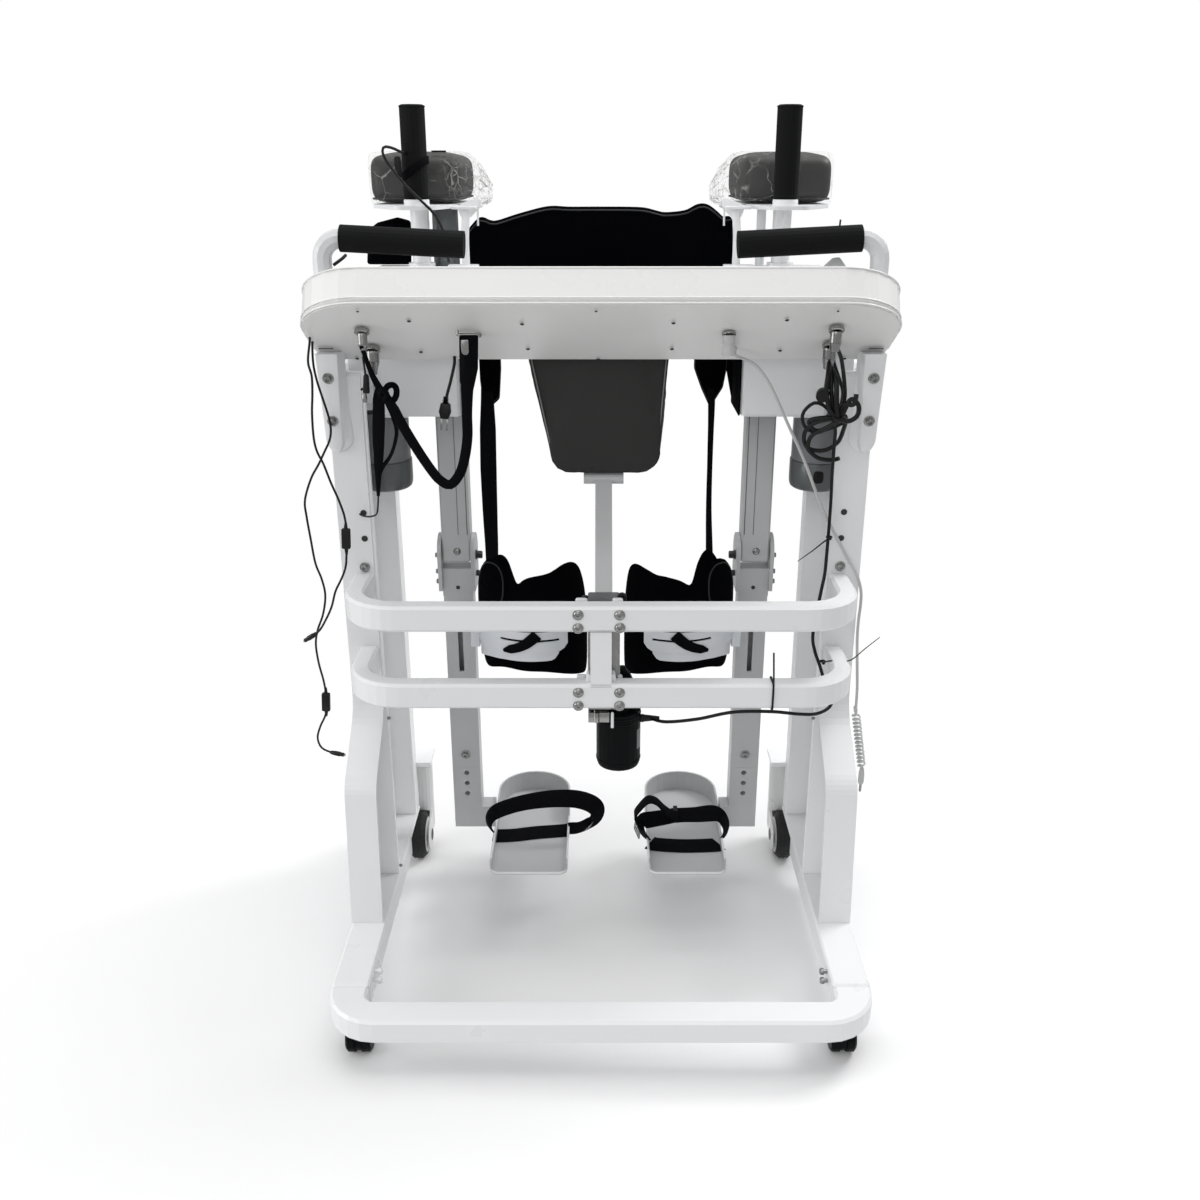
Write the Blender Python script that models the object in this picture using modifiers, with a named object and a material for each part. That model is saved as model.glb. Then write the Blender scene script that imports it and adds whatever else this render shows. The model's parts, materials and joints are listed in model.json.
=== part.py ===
"""Exoskeleton gait trainer: a wheeled frame with a tray, guard bars, a folding saddle and two leg units.

Metres, +Z up. The walker faces -Y, and the origin lies on the floor at the middle of the plan.
Every left-hand piece is the right-hand one mirrored in X = 0, so shapes are written for side = +1 and -1.
"""

import math

import bmesh
import bpy
from mathutils import Matrix, Vector

# Gaps and shared small sizes
SEAT_GAP = 0.0003  # between pieces that touch
SHEET = 0.004  # folded steel of the side frames and covers

# Base
BASE_HALF_WIDTH = 0.388
BASE_FRONT = -0.325
BASE_FRONT_DEPTH = 0.046
RAIL_WIDTH = 0.054
RAIL_HEIGHT = 0.038
RAIL_TOP = 0.096
BASE_OUTER_RADIUS = 0.072
BASE_INNER_RADIUS = 0.014
BEND_LENGTH = 0.078  # from the front face to the seam with the side rails
TUBE_EDGE = 0.004
RAIL_BOX_END = 0.150
RAIL_PLATE_THICKNESS = 0.008

# Side frames: a folded sheet with a front flange that bows forward to the foot
FLANGE_WIDTH = 0.048
FOOT_FRONT = -0.102
KNEE_FRONT = -0.077
KNEE_HEIGHT = 0.322
HIP_FRONT = 0.028
HIP_HEIGHT = 0.404
BOW_RADIUS = 0.060
FRAME_REAR = 0.255
FRAME_TOP = 0.930

# Lift columns inside the side frames
COLUMN_FRONT_WALL = 0.008
COLUMN_WEB = 0.008
COLUMN_REAR_DEPTH = 0.035
COLUMN_DEPTH_IN = 0.0475

# Guard bars
GUARD_HALF_WIDTH = BASE_HALF_WIDTH - 0.019
GUARD_DEPTH = 0.028
GUARD_HEIGHT = 0.038
GUARD_FRONT = -0.118
GUARD_RADIUS = 0.078
GUARD_HEIGHTS = (0.473, 0.591)  # undersides, lower and upper
PLATE_WIDTH = 0.030
PLATE_SETBACK = 0.001
PLATE_THICKNESS = 0.012

# Tray console, tilted towards the walker
CONSOLE_HALF_WIDTH = 0.397
CONSOLE_DEPTH = 0.184
CONSOLE_HEIGHT = 0.054
CONSOLE_CORNER = 0.087
CONSOLE_WALL = 0.0035
CONSOLE_TILT = math.radians(30.4)
CONSOLE_FRONT = (-0.115, 1.036)  # Y and Z of the underside's front edge
CONSOLE_PLATE = 0.003

# Brackets between the side frames and the console
BRACKET_WIDTH = 0.036
BRACKET_THICKNESS = 0.010
BRACKET_DROP = 0.150

# Handlebars on the console
BAR_RADIUS = 0.0125
BAR_BEND = 0.026
BAR_FOOT_RADIUS = 0.0145
BAR_HEIGHT = 1.112
BAR_END_HEIGHT = 1.104  # the bars droop a little towards their inner ends
BAR_Y = -0.045
BAR_OUTER = CONSOLE_HALF_WIDTH - 0.0345
BAR_INNER = CONSOLE_HALF_WIDTH - 0.220
GRIP_RADIUS = 0.0172
GRIP_LENGTH = 0.160
GRIP_END = 0.004  # foam over the tube's end

# Saddle, its post and its actuator
ACTUATOR_X = 0.004
ACTUATOR_WIDTH = 0.046
ACTUATOR_DEPTH = 0.060
ACTUATOR_LOW = 0.456
ACTUATOR_HIGH = 0.620
MOTOR_RADIUS = 0.033
MOTOR_LENGTH = 0.100
MOTOR_X = 0.026
POST_WIDTH = 0.025
POST_THICKNESS = 0.012
POST_FOOT = (-0.055, 0.596)
SEAT_TOP_WIDTH = 0.196
SEAT_NOSE_WIDTH = 0.148
SEAT_LENGTH = 0.260
SEAT_THICKNESS = 0.034
SEAT_FORK_RADIUS = 0.009
SEAT_FORK_HALF = 0.030
SEAT_HINGE = (0.092, 0.758)

# Lift carriage with the hip drives
CARRIAGE_HALF_INNER = 0.286
HIP_COVER_INNER = 0.2055
HIP_COVER_OUTER = BASE_HALF_WIDTH - 0.053
HIP_COVER_FRONT = 0.085
HIP_COVER_REAR = 0.205
HIP_COVER_LOW = 0.850
HIP_COVER_HIGH = 1.060
SHROUD_HALF_WIDTH = 0.0395
SHROUD_HALF_DEPTH = 0.045
SHROUD_CLEARANCE = 0.0012
SHROUD_LENGTH = 0.122

# Forearm supports
FOREARM_X = 0.262
FOREARM_POST_X = 0.256
FOREARM_POST_RADIUS = 0.013
FOREARM_POST_Y = 0.111
FOREARM_STAY = (0.2305, 0.140)
FOREARM_STAY_RADIUS = 0.0065
FOREARM_INSERT = 0.072  # length of the posts inside the hip cover, which sets how far they can rise
FOREARM_COLLAR_RADIUS = 0.019
FOREARM_COLLAR_HEIGHT = 0.010
FOREARM_PLATE_HEIGHT = 1.144
FOREARM_PLATE_THICKNESS = 0.005
ARM_GRIP_RADIUS = 0.017
ARM_GRIP_LENGTH = 0.118
ARM_GRIP_X = 0.250
ARM_GRIP_Y = 0.050
ARM_GRIP_BOSS = 0.008
ARM_PAD_WIDTH = 0.138
ARM_PAD_LENGTH = 0.222
ARM_PAD_THICKNESS = 0.068
ARM_PAD_FRONT = 0.103

# Leg units
LEG_X = 0.241
LEG_SHIFT = 0.0075  # both leg units sit a little towards +X in their side adjustment
LEG_Y = 0.182
HIP_AXIS = 1.000
KNEE_AXIS = 0.613
ANKLE_AXIS = 0.126
ANKLE_BOSS = 0.004
THIGH_WIDTH = 0.046
THIGH_DEPTH = 0.040
SHANK_WIDTH = 0.048
SHANK_DEPTH = 0.034
SHANK_END = 0.222
SHANK_BORE = 0.290
SHANK_SLOT = (0.405, 0.500)
CHEEK_THICKNESS = 0.005
CHEEK_RADIUS = 0.030
CHEEK_DROP = 0.061
CHEEK_SINK = 0.001
KNEE_REACH = 0.014  # from the knee axis to the thigh's lower end
KNEE_CLEAR = 0.0255  # from the knee axis to the shank's upper end
JOINT_CLEARANCE = 0.0008
BRACKET_LOW = 0.104
BRACKET_INSERT = 0.100  # length of the foot bracket inside the shank
BRACKET_FIRST_HOLE = 0.0105
BRACKET_HOLE_PITCH = 0.0202
BRACKET_HOLE_RADIUS = 0.0045

# Foot plates
FOOT_X = 0.130
FOOT_SHIFT = 0.0115
FOOT_WIDTH = 0.127
FOOT_LENGTH = 0.274
FOOT_FRONT_Y = -0.004
FOOT_SOLE = 0.118
FOOT_WALL = 0.039
FOOT_SHEET = 0.003
FOOT_CORNER = 0.015
FOOT_FLANGE = 0.016  # height of the side flanges before they rise to the heel cup

# Calf cuffs
CUFF_X = 0.113
CUFF_RADIUS = 0.081
CUFF_PAD = 0.014
CUFF_Y = 0.140
# Heights along a cuff, by the angle in degrees round it from the shank: a lobe, a dip and an inner peak
CUFF_TOP = (
    (0, 0.580), (25, 0.612), (52, 0.642), (73, 0.600), (100, 0.611), (130, 0.626), (150, 0.612), (168, 0.572),
)
CUFF_FOOT = ((0, 0.440), (50, 0.4535), (110, 0.450), (168, 0.430))
CUFF_SECTION = ((1, -0.94), (1, 0.94), (0.5, 1), (-0.5, 1), (-1, 0.94), (-1, -0.94), (-0.5, -1), (0.5, -1))
CUFF_PLATE_HEIGHTS = (0.468, 0.508)
CUFF_PLATE_SPAN = (8, 124)  # degrees round the cuff from the shank
CUFF_PLATE_GAP = 0.0008

# Body belt, arched over the saddle in its middle
HARNESS_Y = 0.230
HARNESS_BOW = 0.054
HARNESS_LOW = 1.060
HARNESS_DROP = 0.050
HARNESS_HIGH = 1.143

# Casters
FRONT_CASTER = (BASE_HALF_WIDTH - 0.040, -0.277)
FRONT_WHEEL_RADIUS = 0.024
FRONT_WHEEL_WIDTH = 0.036
FRONT_TRAIL = 0.012
FRONT_WEB = 0.008
FRONT_AXLE_RADIUS = 0.0035
AXLE_CLEARANCE = 0.0005
REAR_CASTER = (BASE_HALF_WIDTH - 0.053, 0.284)
REAR_WHEEL_RADIUS = 0.043
REAR_WHEEL_WIDTH = 0.030
REAR_TRAIL = 0.047
REAR_AXLE_RADIUS = 0.004
REAR_FORK_GAP = 0.001
REAR_FORK_SHEET = 0.004
REAR_STEM_TOP = 0.176
REAR_HOUSING_RADIUS = 0.023

# Cords
HANDSET_CORD_RADIUS = 0.0022
CURL_CORD_RADIUS = 0.0016
CURL_RADIUS = 0.0055
CURL_TURNS = 14
CURL_TOP = (BASE_HALF_WIDTH + 0.0105, 0.022, 0.402)
CURL_END = (BASE_HALF_WIDTH + 0.0285, 0.022, 0.298)  # it leans out a little as it hangs
LEAD_RADIUS = 0.0016
MOTOR_CABLE_RADIUS = 0.0025
POWER_CORD_RADIUS = 0.0022

COLLECTION = "exoskeleton_gait_trainer"

# Scene and materials


def clear_scene():
    for thing in list(bpy.data.objects):
        bpy.data.objects.remove(thing, do_unlink=True)


def new_collection(name):
    group = bpy.data.collections.new(name)
    bpy.context.scene.collection.children.link(group)
    return group


def finish(name, colour, roughness, metallic=0.0):
    material = bpy.data.materials.new(name)
    material.use_nodes = True
    shader = material.node_tree.nodes["Principled BSDF"]
    shader.inputs["Base Color"].default_value = (*colour, 1.0)
    shader.inputs["Roughness"].default_value = roughness
    shader.inputs["Metallic"].default_value = metallic
    return material


clear_scene()
PARTS = new_collection(COLLECTION)
CUTTERS = new_collection(COLLECTION + "_cutters")
POWDER_COAT = ("white_powder_coat", (0.86, 0.87, 0.88), 0.35, 0.0)
TRAY_PLASTIC = ("white_tray_plastic", (0.88, 0.88, 0.88), 0.30, 0.0)
FOAM = ("black_foam_grip", (0.035, 0.035, 0.037), 0.85, 0.0)
LEATHERETTE = ("dark_grey_leatherette", (0.055, 0.055, 0.055), 0.55, 0.0)
PAD_GREY = ("grey_pad_cover", (0.10, 0.10, 0.10), 0.45, 0.0)
NEOPRENE = ("black_neoprene", (0.010, 0.010, 0.014), 0.90, 0.0)
STEEL = ("zinc_steel", (0.55, 0.55, 0.54), 0.30, 1.0)
MOTOR_BLACK = ("black_motor_can", (0.015, 0.015, 0.016), 0.40, 0.0)
DRIVE_GREY = ("grey_drive_shroud", (0.16, 0.17, 0.18), 0.40, 0.0)
TYRE = ("black_tyre", (0.02, 0.02, 0.02), 0.60, 0.0)
HUB_WHITE = ("white_caster_plastic", (0.80, 0.80, 0.80), 0.35, 0.0)
CABLE_BLACK = ("black_cable", (0.012, 0.012, 0.012), 0.50, 0.0)
CABLE_WHITE = ("white_cable", (0.85, 0.85, 0.85), 0.40, 0.0)


# Building blocks


def mesh_object(name, mesh, group=None):
    thing = bpy.data.objects.new(name, mesh)
    (group or PARTS).objects.link(thing)
    return thing


def bm_object(name, bm, group=None):
    mesh = bpy.data.meshes.new(name)
    bmesh.ops.recalc_face_normals(bm, faces=bm.faces)
    bm.to_mesh(mesh)
    bm.free()
    return mesh_object(name, mesh, group)


def box(name, low, high, group=None):
    """An axis-aligned block between two corners."""
    bm = bmesh.new()
    bmesh.ops.create_cube(bm, size=1.0)
    size = Vector(high) - Vector(low)
    middle = (Vector(high) + Vector(low)) / 2
    bmesh.ops.scale(bm, vec=size, verts=bm.verts)
    bmesh.ops.translate(bm, vec=middle, verts=bm.verts)
    return bm_object(name, bm, group)


def rod(name, start, end, radius, sides=16, end_radius=None, group=None):
    """A cylinder or cone between two points."""
    start, end = Vector(start), Vector(end)
    bm = bmesh.new()
    along = end - start
    turn = along.to_track_quat("Z", "Y").to_matrix().to_4x4()
    place = Matrix.Translation((start + end) / 2) @ turn
    last = radius if end_radius is None else end_radius
    bmesh.ops.create_cone(
        bm, cap_ends=True, segments=sides, radius1=radius, radius2=last, depth=along.length, matrix=place
    )
    return bm_object(name, bm, group)


AXES = {"X": (1, 2, 0), "Y": (0, 2, 1), "Z": (0, 1, 2)}


def plate(name, outline, axis, low, high, group=None):
    """A flat outline carried along an axis: points are (Y, Z), (X, Z) or (X, Y) for X, Y or Z."""
    first, second, third = AXES[axis]
    bm = bmesh.new()
    corners = []
    for u, v in outline:
        place = [0.0, 0.0, 0.0]
        place[first], place[second], place[third] = u, v, low
        corners.append(bm.verts.new(place))
    face = bm.faces.new(corners)
    made = bmesh.ops.extrude_face_region(bm, geom=[face])
    moved = [v for v in made["geom"] if isinstance(v, bmesh.types.BMVert)]
    shift = [0.0, 0.0, 0.0]
    shift[third] = high - low
    bmesh.ops.translate(bm, vec=shift, verts=moved)
    return bm_object(name, bm, group)


def arc(centre, radius, start, end, steps):
    """Points on a circle from one angle to another, in degrees."""
    angles = [math.radians(start + (end - start) * i / steps) for i in range(steps + 1)]
    return [(centre[0] + radius * math.cos(a), centre[1] + radius * math.sin(a)) for a in angles]


def rounded(corners, steps=4):
    """An outline whose corners, given as (u, v, radius), are turned into arcs."""
    points = []
    for i, (u, v, radius) in enumerate(corners):
        here = Vector((u, v))
        before = Vector(corners[i - 1][:2]) - here
        after = Vector(corners[(i + 1) % len(corners)][:2]) - here
        if radius <= 0:
            points.append((u, v))
            continue
        half = before.angle(after) / 2
        reach = radius / math.tan(half)
        first = here + before.normalized() * reach
        last = here + after.normalized() * reach
        middle = here + (before.normalized() + after.normalized()).normalized() * radius / math.sin(half)
        start = first - middle
        sweep = start.angle_signed(last - middle)
        for k in range(steps + 1):
            turned = Matrix.Rotation(-sweep * k / steps, 2) @ start
            points.append(tuple(middle + turned))
    return points


def boolean(thing, tool, operation="DIFFERENCE"):
    """Cut or join one object with another, which is then a hidden tool."""
    if tool.name in PARTS.objects:
        PARTS.objects.unlink(tool)
    if tool.name not in CUTTERS.objects:
        CUTTERS.objects.link(tool)
    tool.hide_render = True
    tool.display_type = "WIRE"
    step = thing.modifiers.new(operation.lower(), "BOOLEAN")
    step.operation = operation
    step.object = tool
    step.solver = "EXACT"
    return thing


def join(thing, *others):
    for other in others:
        boolean(thing, other, "UNION")
    return thing


def cut(thing, *others):
    for other in others:
        boolean(thing, other)
    return thing


def soften(thing, width, segments=1, angle=40):
    step = thing.modifiers.new("edges", "BEVEL")
    step.width = width
    step.segments = segments
    step.limit_method = "ANGLE"
    step.angle_limit = math.radians(angle)
    step.use_clamp_overlap = True
    return thing


def dress(thing, look, pivot=None):
    """Give a piece its finish, and put its origin on its joint."""
    name, colour, roughness, metallic = look
    material = bpy.data.materials.get(name) or finish(name, colour, roughness, metallic)
    thing.data.materials.clear()
    thing.data.materials.append(material)
    if pivot is not None:
        thing.data.transform(Matrix.Translation(-Vector(pivot)))
        thing.location = pivot
    return thing


def cord(name, points, radius, resolution=2, radii=None):
    """A tube along points, made a mesh so that its caps can be welded."""
    curve = bpy.data.curves.new(name, "CURVE")
    curve.dimensions = "3D"
    curve.bevel_depth = radius
    curve.bevel_resolution = resolution
    curve.use_fill_caps = True
    spline = curve.splines.new("POLY")
    spline.points.add(len(points) - 1)
    for i, place in enumerate(points):
        spline.points[i].co = (*place, 1.0)
        spline.points[i].radius = radii[i] if radii else 1.0
    guide = bpy.data.objects.new(name + "_path", curve)
    CUTTERS.objects.link(guide)
    view = bpy.context.evaluated_depsgraph_get()
    mesh = bpy.data.meshes.new_from_object(guide.evaluated_get(view))
    bpy.data.objects.remove(guide, do_unlink=True)
    bm = bmesh.new()
    bm.from_mesh(mesh)
    bmesh.ops.remove_doubles(bm, verts=bm.verts, dist=0.00001)
    return bm_object(name, bm)


def smooth_path(points, step):
    """A Catmull-Rom curve through the points, read at even steps."""
    places = [Vector(p) for p in points]
    ends = [places[0] * 2 - places[1]] + places + [places[-1] * 2 - places[-2]]
    fine = []
    for i in range(1, len(ends) - 2):
        a, b, c, d = ends[i - 1 : i + 3]
        for k in range(24):
            t = k / 24
            linear = 2 * b + (c - a) * t
            curved = (2 * a - 5 * b + 4 * c - d) * t * t + (3 * b - a - 3 * c + d) * t * t * t
            fine.append((linear + curved) / 2)
    fine.append(places[-1])
    lengths = [0.0]
    for a, b in zip(fine, fine[1:]):
        lengths.append(lengths[-1] + (b - a).length)
    count = max(2, round(lengths[-1] / step))
    result = []
    j = 0
    for i in range(count + 1):
        goal = lengths[-1] * i / count
        while j < len(lengths) - 2 and lengths[j + 1] < goal:
            j += 1
        span = lengths[j + 1] - lengths[j]
        part = (goal - lengths[j]) / span if span else 0.0
        result.append(fine[j].lerp(fine[j + 1], part))
    return result


def mirrored(points, side):
    return [(x * side, y, z) for x, y, z in points]


def lathe(name, profile, centre, axis, steps=20):
    """A turned shape: the profile is (radius, height) from top to bottom, on an axis through the centre."""
    bm = bmesh.new()
    verts = [bm.verts.new((r, 0.0, h)) for r, h in profile]
    edges = [bm.edges.new(pair) for pair in zip(verts, verts[1:])]
    bmesh.ops.spin(
        bm, geom=verts + edges, cent=(0, 0, 0), axis=(0, 0, 1), angle=math.tau, steps=steps, use_merge=True
    )
    bmesh.ops.remove_doubles(bm, verts=bm.verts, dist=0.00002)
    turn = Vector(axis).to_track_quat("Z", "Y").to_matrix().to_4x4()
    bmesh.ops.transform(bm, matrix=Matrix.Translation(centre) @ turn, verts=bm.verts)
    return bm_object(name, bm)


def sides():
    return (("left", -1.0), ("right", 1.0))


# Base frame


def u_band(half_width, front, rear, depth, side_width, outer_radius, inner_radius, steps=6):
    """A U seen from above, open to the rear: an outer and an inner outline with round corners."""
    outer = half_width - outer_radius
    inner = half_width - side_width - inner_radius
    outer_front = front + outer_radius
    inner_front = front + depth + inner_radius
    points = [(half_width, rear)]
    points += arc((outer, outer_front), outer_radius, 0, -90, steps)
    points += arc((-outer, outer_front), outer_radius, -90, -180, steps)
    points += [(-half_width, rear), (-half_width + side_width, rear)]
    points += arc((-inner, inner_front), inner_radius, -180, -90, steps)
    points += arc((inner, inner_front), inner_radius, -90, 0, steps)
    points += [(half_width - side_width, rear)]
    return points


def base_front_tube():
    rear = BASE_FRONT + BEND_LENGTH
    outline = u_band(
        BASE_HALF_WIDTH, BASE_FRONT, rear, BASE_FRONT_DEPTH, RAIL_WIDTH, BASE_OUTER_RADIUS, BASE_INNER_RADIUS
    )
    tube = plate("base_front_tube", outline, "Z", RAIL_TOP - RAIL_HEIGHT, RAIL_TOP)
    soften(tube, TUBE_EDGE)
    dress(tube, POWDER_COAT)


def base_rail(label, side):
    inner = BASE_HALF_WIDTH - RAIL_WIDTH
    front = BASE_FRONT + BEND_LENGTH + SEAT_GAP
    low = RAIL_TOP - RAIL_HEIGHT
    plate_low = RAIL_TOP - RAIL_PLATE_THICKNESS
    outline = [
        (front, low), (RAIL_BOX_END, low), (RAIL_BOX_END, plate_low),
        (FRAME_REAR, plate_low), (FRAME_REAR, RAIL_TOP), (front, RAIL_TOP),
    ]
    ends = sorted((side * inner, side * BASE_HALF_WIDTH))
    rail = plate("base_rail_" + label, outline, "X", *ends)
    soften(rail, TUBE_EDGE * 0.75)
    dress(rail, POWDER_COAT)


# Side frames and lift columns


def side_outline():
    """The side frame seen from the side, as (Y, Z), with the bowed front edge."""
    return rounded(
        [
            (FOOT_FRONT, RAIL_TOP + SEAT_GAP, 0),
            (FRAME_REAR, RAIL_TOP + SEAT_GAP, 0),
            (FRAME_REAR, FRAME_TOP, 0.012),
            (HIP_FRONT, FRAME_TOP, 0.012),
            (HIP_FRONT, HIP_HEIGHT, BOW_RADIUS),
            (KNEE_FRONT, KNEE_HEIGHT, BOW_RADIUS * 0.8),
        ],
        5,
    )


def side_frame(label, side):
    outline = side_outline()
    pocket = []
    for y, z in outline:
        rear = y > FRAME_REAR - SHEET
        pocket.append((y + (0.05 if rear else SHEET), z))
    pocket = [(y, z - 0.05 if z < RAIL_TOP + SHEET else z) for y, z in pocket]
    pocket = [(y, z + 0.05 if z > FRAME_TOP - 0.013 else z) for y, z in pocket]
    inner = BASE_HALF_WIDTH - FLANGE_WIDTH
    body = plate("side_frame_" + label, outline, "X", *sorted((side * inner, side * BASE_HALF_WIDTH)))
    hollow_ends = sorted((side * (inner - 0.01), side * (BASE_HALF_WIDTH - SHEET)))
    cut(body, plate("side_hollow_" + label, pocket, "X", *hollow_ends))
    dress(body, POWDER_COAT)


def lift_column(label, side):
    outer = BASE_HALF_WIDTH - SHEET - SEAT_GAP
    inner = outer - COLUMN_DEPTH_IN
    front = HIP_FRONT + SHEET + SEAT_GAP
    rear = FRAME_REAR
    pocket_rear = rear - COLUMN_REAR_DEPTH
    corners = [
        (inner, front), (outer, front), (outer, rear), (inner, rear),
        (inner, pocket_rear), (outer - COLUMN_WEB, pocket_rear),
        (outer - COLUMN_WEB, front + COLUMN_FRONT_WALL), (inner, front + COLUMN_FRONT_WALL),
    ]
    outline = [(side * x, y) for x, y in corners]
    column = plate("lift_column_" + label, outline, "Z", RAIL_TOP + SEAT_GAP, FRAME_TOP - 0.002)
    stem_x, stem_y = REAR_CASTER
    shelf_low = REAR_STEM_TOP + SEAT_GAP
    reach = REAR_HOUSING_RADIUS + 0.002
    low = (min(side * (stem_x - reach), side * (stem_x + reach)), rear - 0.004, shelf_low)
    high = (max(side * (stem_x - reach), side * (stem_x + reach)), stem_y + reach, shelf_low + 0.008)
    join(column, box("caster_shelf_" + label, low, high))
    dress(column, POWDER_COAT)


# Guard bars


def guard_bar(name, low):
    rear = HIP_FRONT - SEAT_GAP
    outline = u_band(
        GUARD_HALF_WIDTH, GUARD_FRONT, rear, GUARD_DEPTH, GUARD_DEPTH, GUARD_RADIUS,
        GUARD_RADIUS - GUARD_DEPTH, 8,
    )
    bar = plate(name, outline, "Z", low, low + GUARD_HEIGHT)
    soften(bar, TUBE_EDGE)
    dress(bar, POWDER_COAT)


def guard_plate():
    """The upright between the two guard bars, flush with their front."""
    low = GUARD_HEIGHTS[0] + GUARD_HEIGHT + SEAT_GAP
    high = GUARD_HEIGHTS[1] - SEAT_GAP
    half = PLATE_WIDTH / 2
    front = (-half, GUARD_FRONT + PLATE_SETBACK, low)
    upright = box("guard_bar_plate", front, (half, front[1] + PLATE_THICKNESS, high))
    dress(upright, POWDER_COAT)


# Console


def console_frame():
    """The tray's own axes: X across, U down the underside towards the rear, N square to it and upwards."""
    across = Vector((1, 0, 0))
    down = Vector((0, math.cos(CONSOLE_TILT), -math.sin(CONSOLE_TILT)))
    square = Vector((0, math.sin(CONSOLE_TILT), math.cos(CONSOLE_TILT)))
    place = Matrix((across, down, square)).transposed().to_4x4()
    place.translation = Vector((0, *CONSOLE_FRONT))
    return place


def underside(y):
    """Height of the tray's underside at a given Y."""
    return CONSOLE_FRONT[1] - (y - CONSOLE_FRONT[0]) * math.tan(CONSOLE_TILT)


def below_tray(y):
    """Height of what touches the tray's underside at a given Y."""
    return underside(y) - SEAT_GAP * 2


def tray_outline(inset=0.0):
    half = CONSOLE_HALF_WIDTH - inset
    near, far = inset, CONSOLE_DEPTH - inset
    radius = CONSOLE_CORNER - inset
    low_radius = 0.030
    corners = [(-half, near, radius), (half, near, radius), (half, far, low_radius), (-half, far, low_radius)]
    return rounded(corners, 6)


def console():
    shell = plate("console_shell", tray_outline(), "Z", CONSOLE_PLATE + SEAT_GAP, CONSOLE_HEIGHT)
    hollow = plate("console_hollow", tray_outline(CONSOLE_WALL), "Z", -0.02, CONSOLE_HEIGHT - CONSOLE_WALL)
    place = console_frame()
    hollow.data.transform(place)
    shell.data.transform(place)
    soften(shell, 0.005)
    cut(shell, hollow)
    dress(shell, TRAY_PLASTIC)
    cover = plate("console_base_plate", tray_outline(0.001), "Z", 0.0, CONSOLE_PLATE)
    cover.data.transform(place)
    dress(cover, TRAY_PLASTIC)


def console_bracket(label, side):
    """A cast arm on the side frame's front flange that carries the tray's lower edge."""
    rear = HIP_FRONT - SEAT_GAP
    outer = BASE_HALF_WIDTH + 0.005
    low = FRAME_TOP - BRACKET_DROP + 0.020
    front = rear - BRACKET_THICKNESS
    head_front = rear - BRACKET_WIDTH
    outline = [
        (front, low + 0.014), (front + 0.004, low), (rear, low), (rear, below_tray(rear)),
        (head_front, below_tray(head_front)), (head_front, below_tray(head_front) - 0.006),
        (front, below_tray(front) - 0.030),
    ]
    ends = sorted((side * (outer - BRACKET_WIDTH), side * outer))
    arm = plate("console_bracket_" + label, outline, "X", *ends)
    soften(arm, 0.003)
    dress(arm, POWDER_COAT)


def tray_top(y):
    """Height of the tray's upper face at a given Y."""
    return underside(y) + CONSOLE_HEIGHT / math.cos(CONSOLE_TILT)


def handlebar(label, side):
    """A bar that rises from the tray's corner and bends inwards, with a foam grip on its straight part."""
    foot = tray_top(BAR_Y)
    bend = BAR_BEND
    points = [(BAR_OUTER, BAR_Y, foot + 0.004)]
    for i in range(7):
        a = math.radians(90 * i / 6)
        x = BAR_OUTER - bend * (1 - math.cos(a))
        points.append((x, BAR_Y, BAR_HEIGHT - bend + bend * math.sin(a)))
    end = Vector((BAR_INNER, BAR_Y, BAR_END_HEIGHT))
    along = (Vector(points[-1]) - end).normalized()
    points.append(tuple(end + along * GRIP_END))
    bar = cord("handlebar_" + label, mirrored(points, side), BAR_RADIUS, 3)
    pad = rod(
        "handlebar_foot_" + label, (side * BAR_OUTER, BAR_Y, foot - 0.030),
        (side * BAR_OUTER, BAR_Y, foot + 0.006), BAR_FOOT_RADIUS,
    )
    tray = box("handlebar_seat_" + label, (-0.5, -0.3, -0.3), (0.5, 0.5, CONSOLE_HEIGHT + SEAT_GAP))
    tray.data.transform(console_frame())
    cut(join(bar, pad), tray)
    dress(bar, POWDER_COAT)
    start, blind, open_end = mirrored(
        [end, end + along * (GRIP_END - SEAT_GAP), end + along * (GRIP_LENGTH + 0.010)], side
    )
    grip_end = mirrored([end + along * GRIP_LENGTH], side)[0]
    grip = rod("handlebar_grip_" + label, start, grip_end, GRIP_RADIUS, 20)
    cut(grip, rod("handlebar_bore_" + label, blind, open_end, BAR_RADIUS + SEAT_GAP, 20))
    dress(grip, FOAM)


# Saddle lift


def seat_actuator():
    """The column behind the guard plate, with the slot that the saddle post slides in."""
    half = ACTUATOR_WIDTH / 2
    front = GUARD_FRONT + GUARD_DEPTH + SEAT_GAP
    rear = front + ACTUATOR_DEPTH
    low, high = (ACTUATOR_X - half, front, ACTUATOR_LOW), (ACTUATOR_X + half, rear, ACTUATOR_HIGH)
    body = box("seat_actuator", low, high)
    soften(body, 0.003)
    low, high = post_ends()
    along = (high - low).normalized()
    slot = beam(
        "saddle_slot", low - along * 0.032, high, POST_WIDTH + SEAT_GAP * 2, POST_THICKNESS + SEAT_GAP * 2
    )
    cut(body, slot)
    dress(body, STEEL)


def post_ends():
    low = Vector((ACTUATOR_X, *POST_FOOT))
    high = Vector((ACTUATOR_X, *SEAT_HINGE))
    return low, high


def beam(name, start, end, width, thickness):
    """A flat bar between two points in the middle plane, its width across X."""
    start, end = Vector(start), Vector(end)
    along = (end - start).normalized()
    across = Vector((1, 0, 0))
    square = along.cross(across)
    bm = bmesh.new()
    bmesh.ops.create_cube(bm, size=1.0)
    bmesh.ops.scale(bm, vec=(width, thickness, (end - start).length), verts=bm.verts)
    place = Matrix((across, square, along)).transposed().to_4x4()
    place.translation = (start + end) / 2
    bmesh.ops.transform(bm, matrix=place, verts=bm.verts)
    return bm_object(name, bm)


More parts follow.
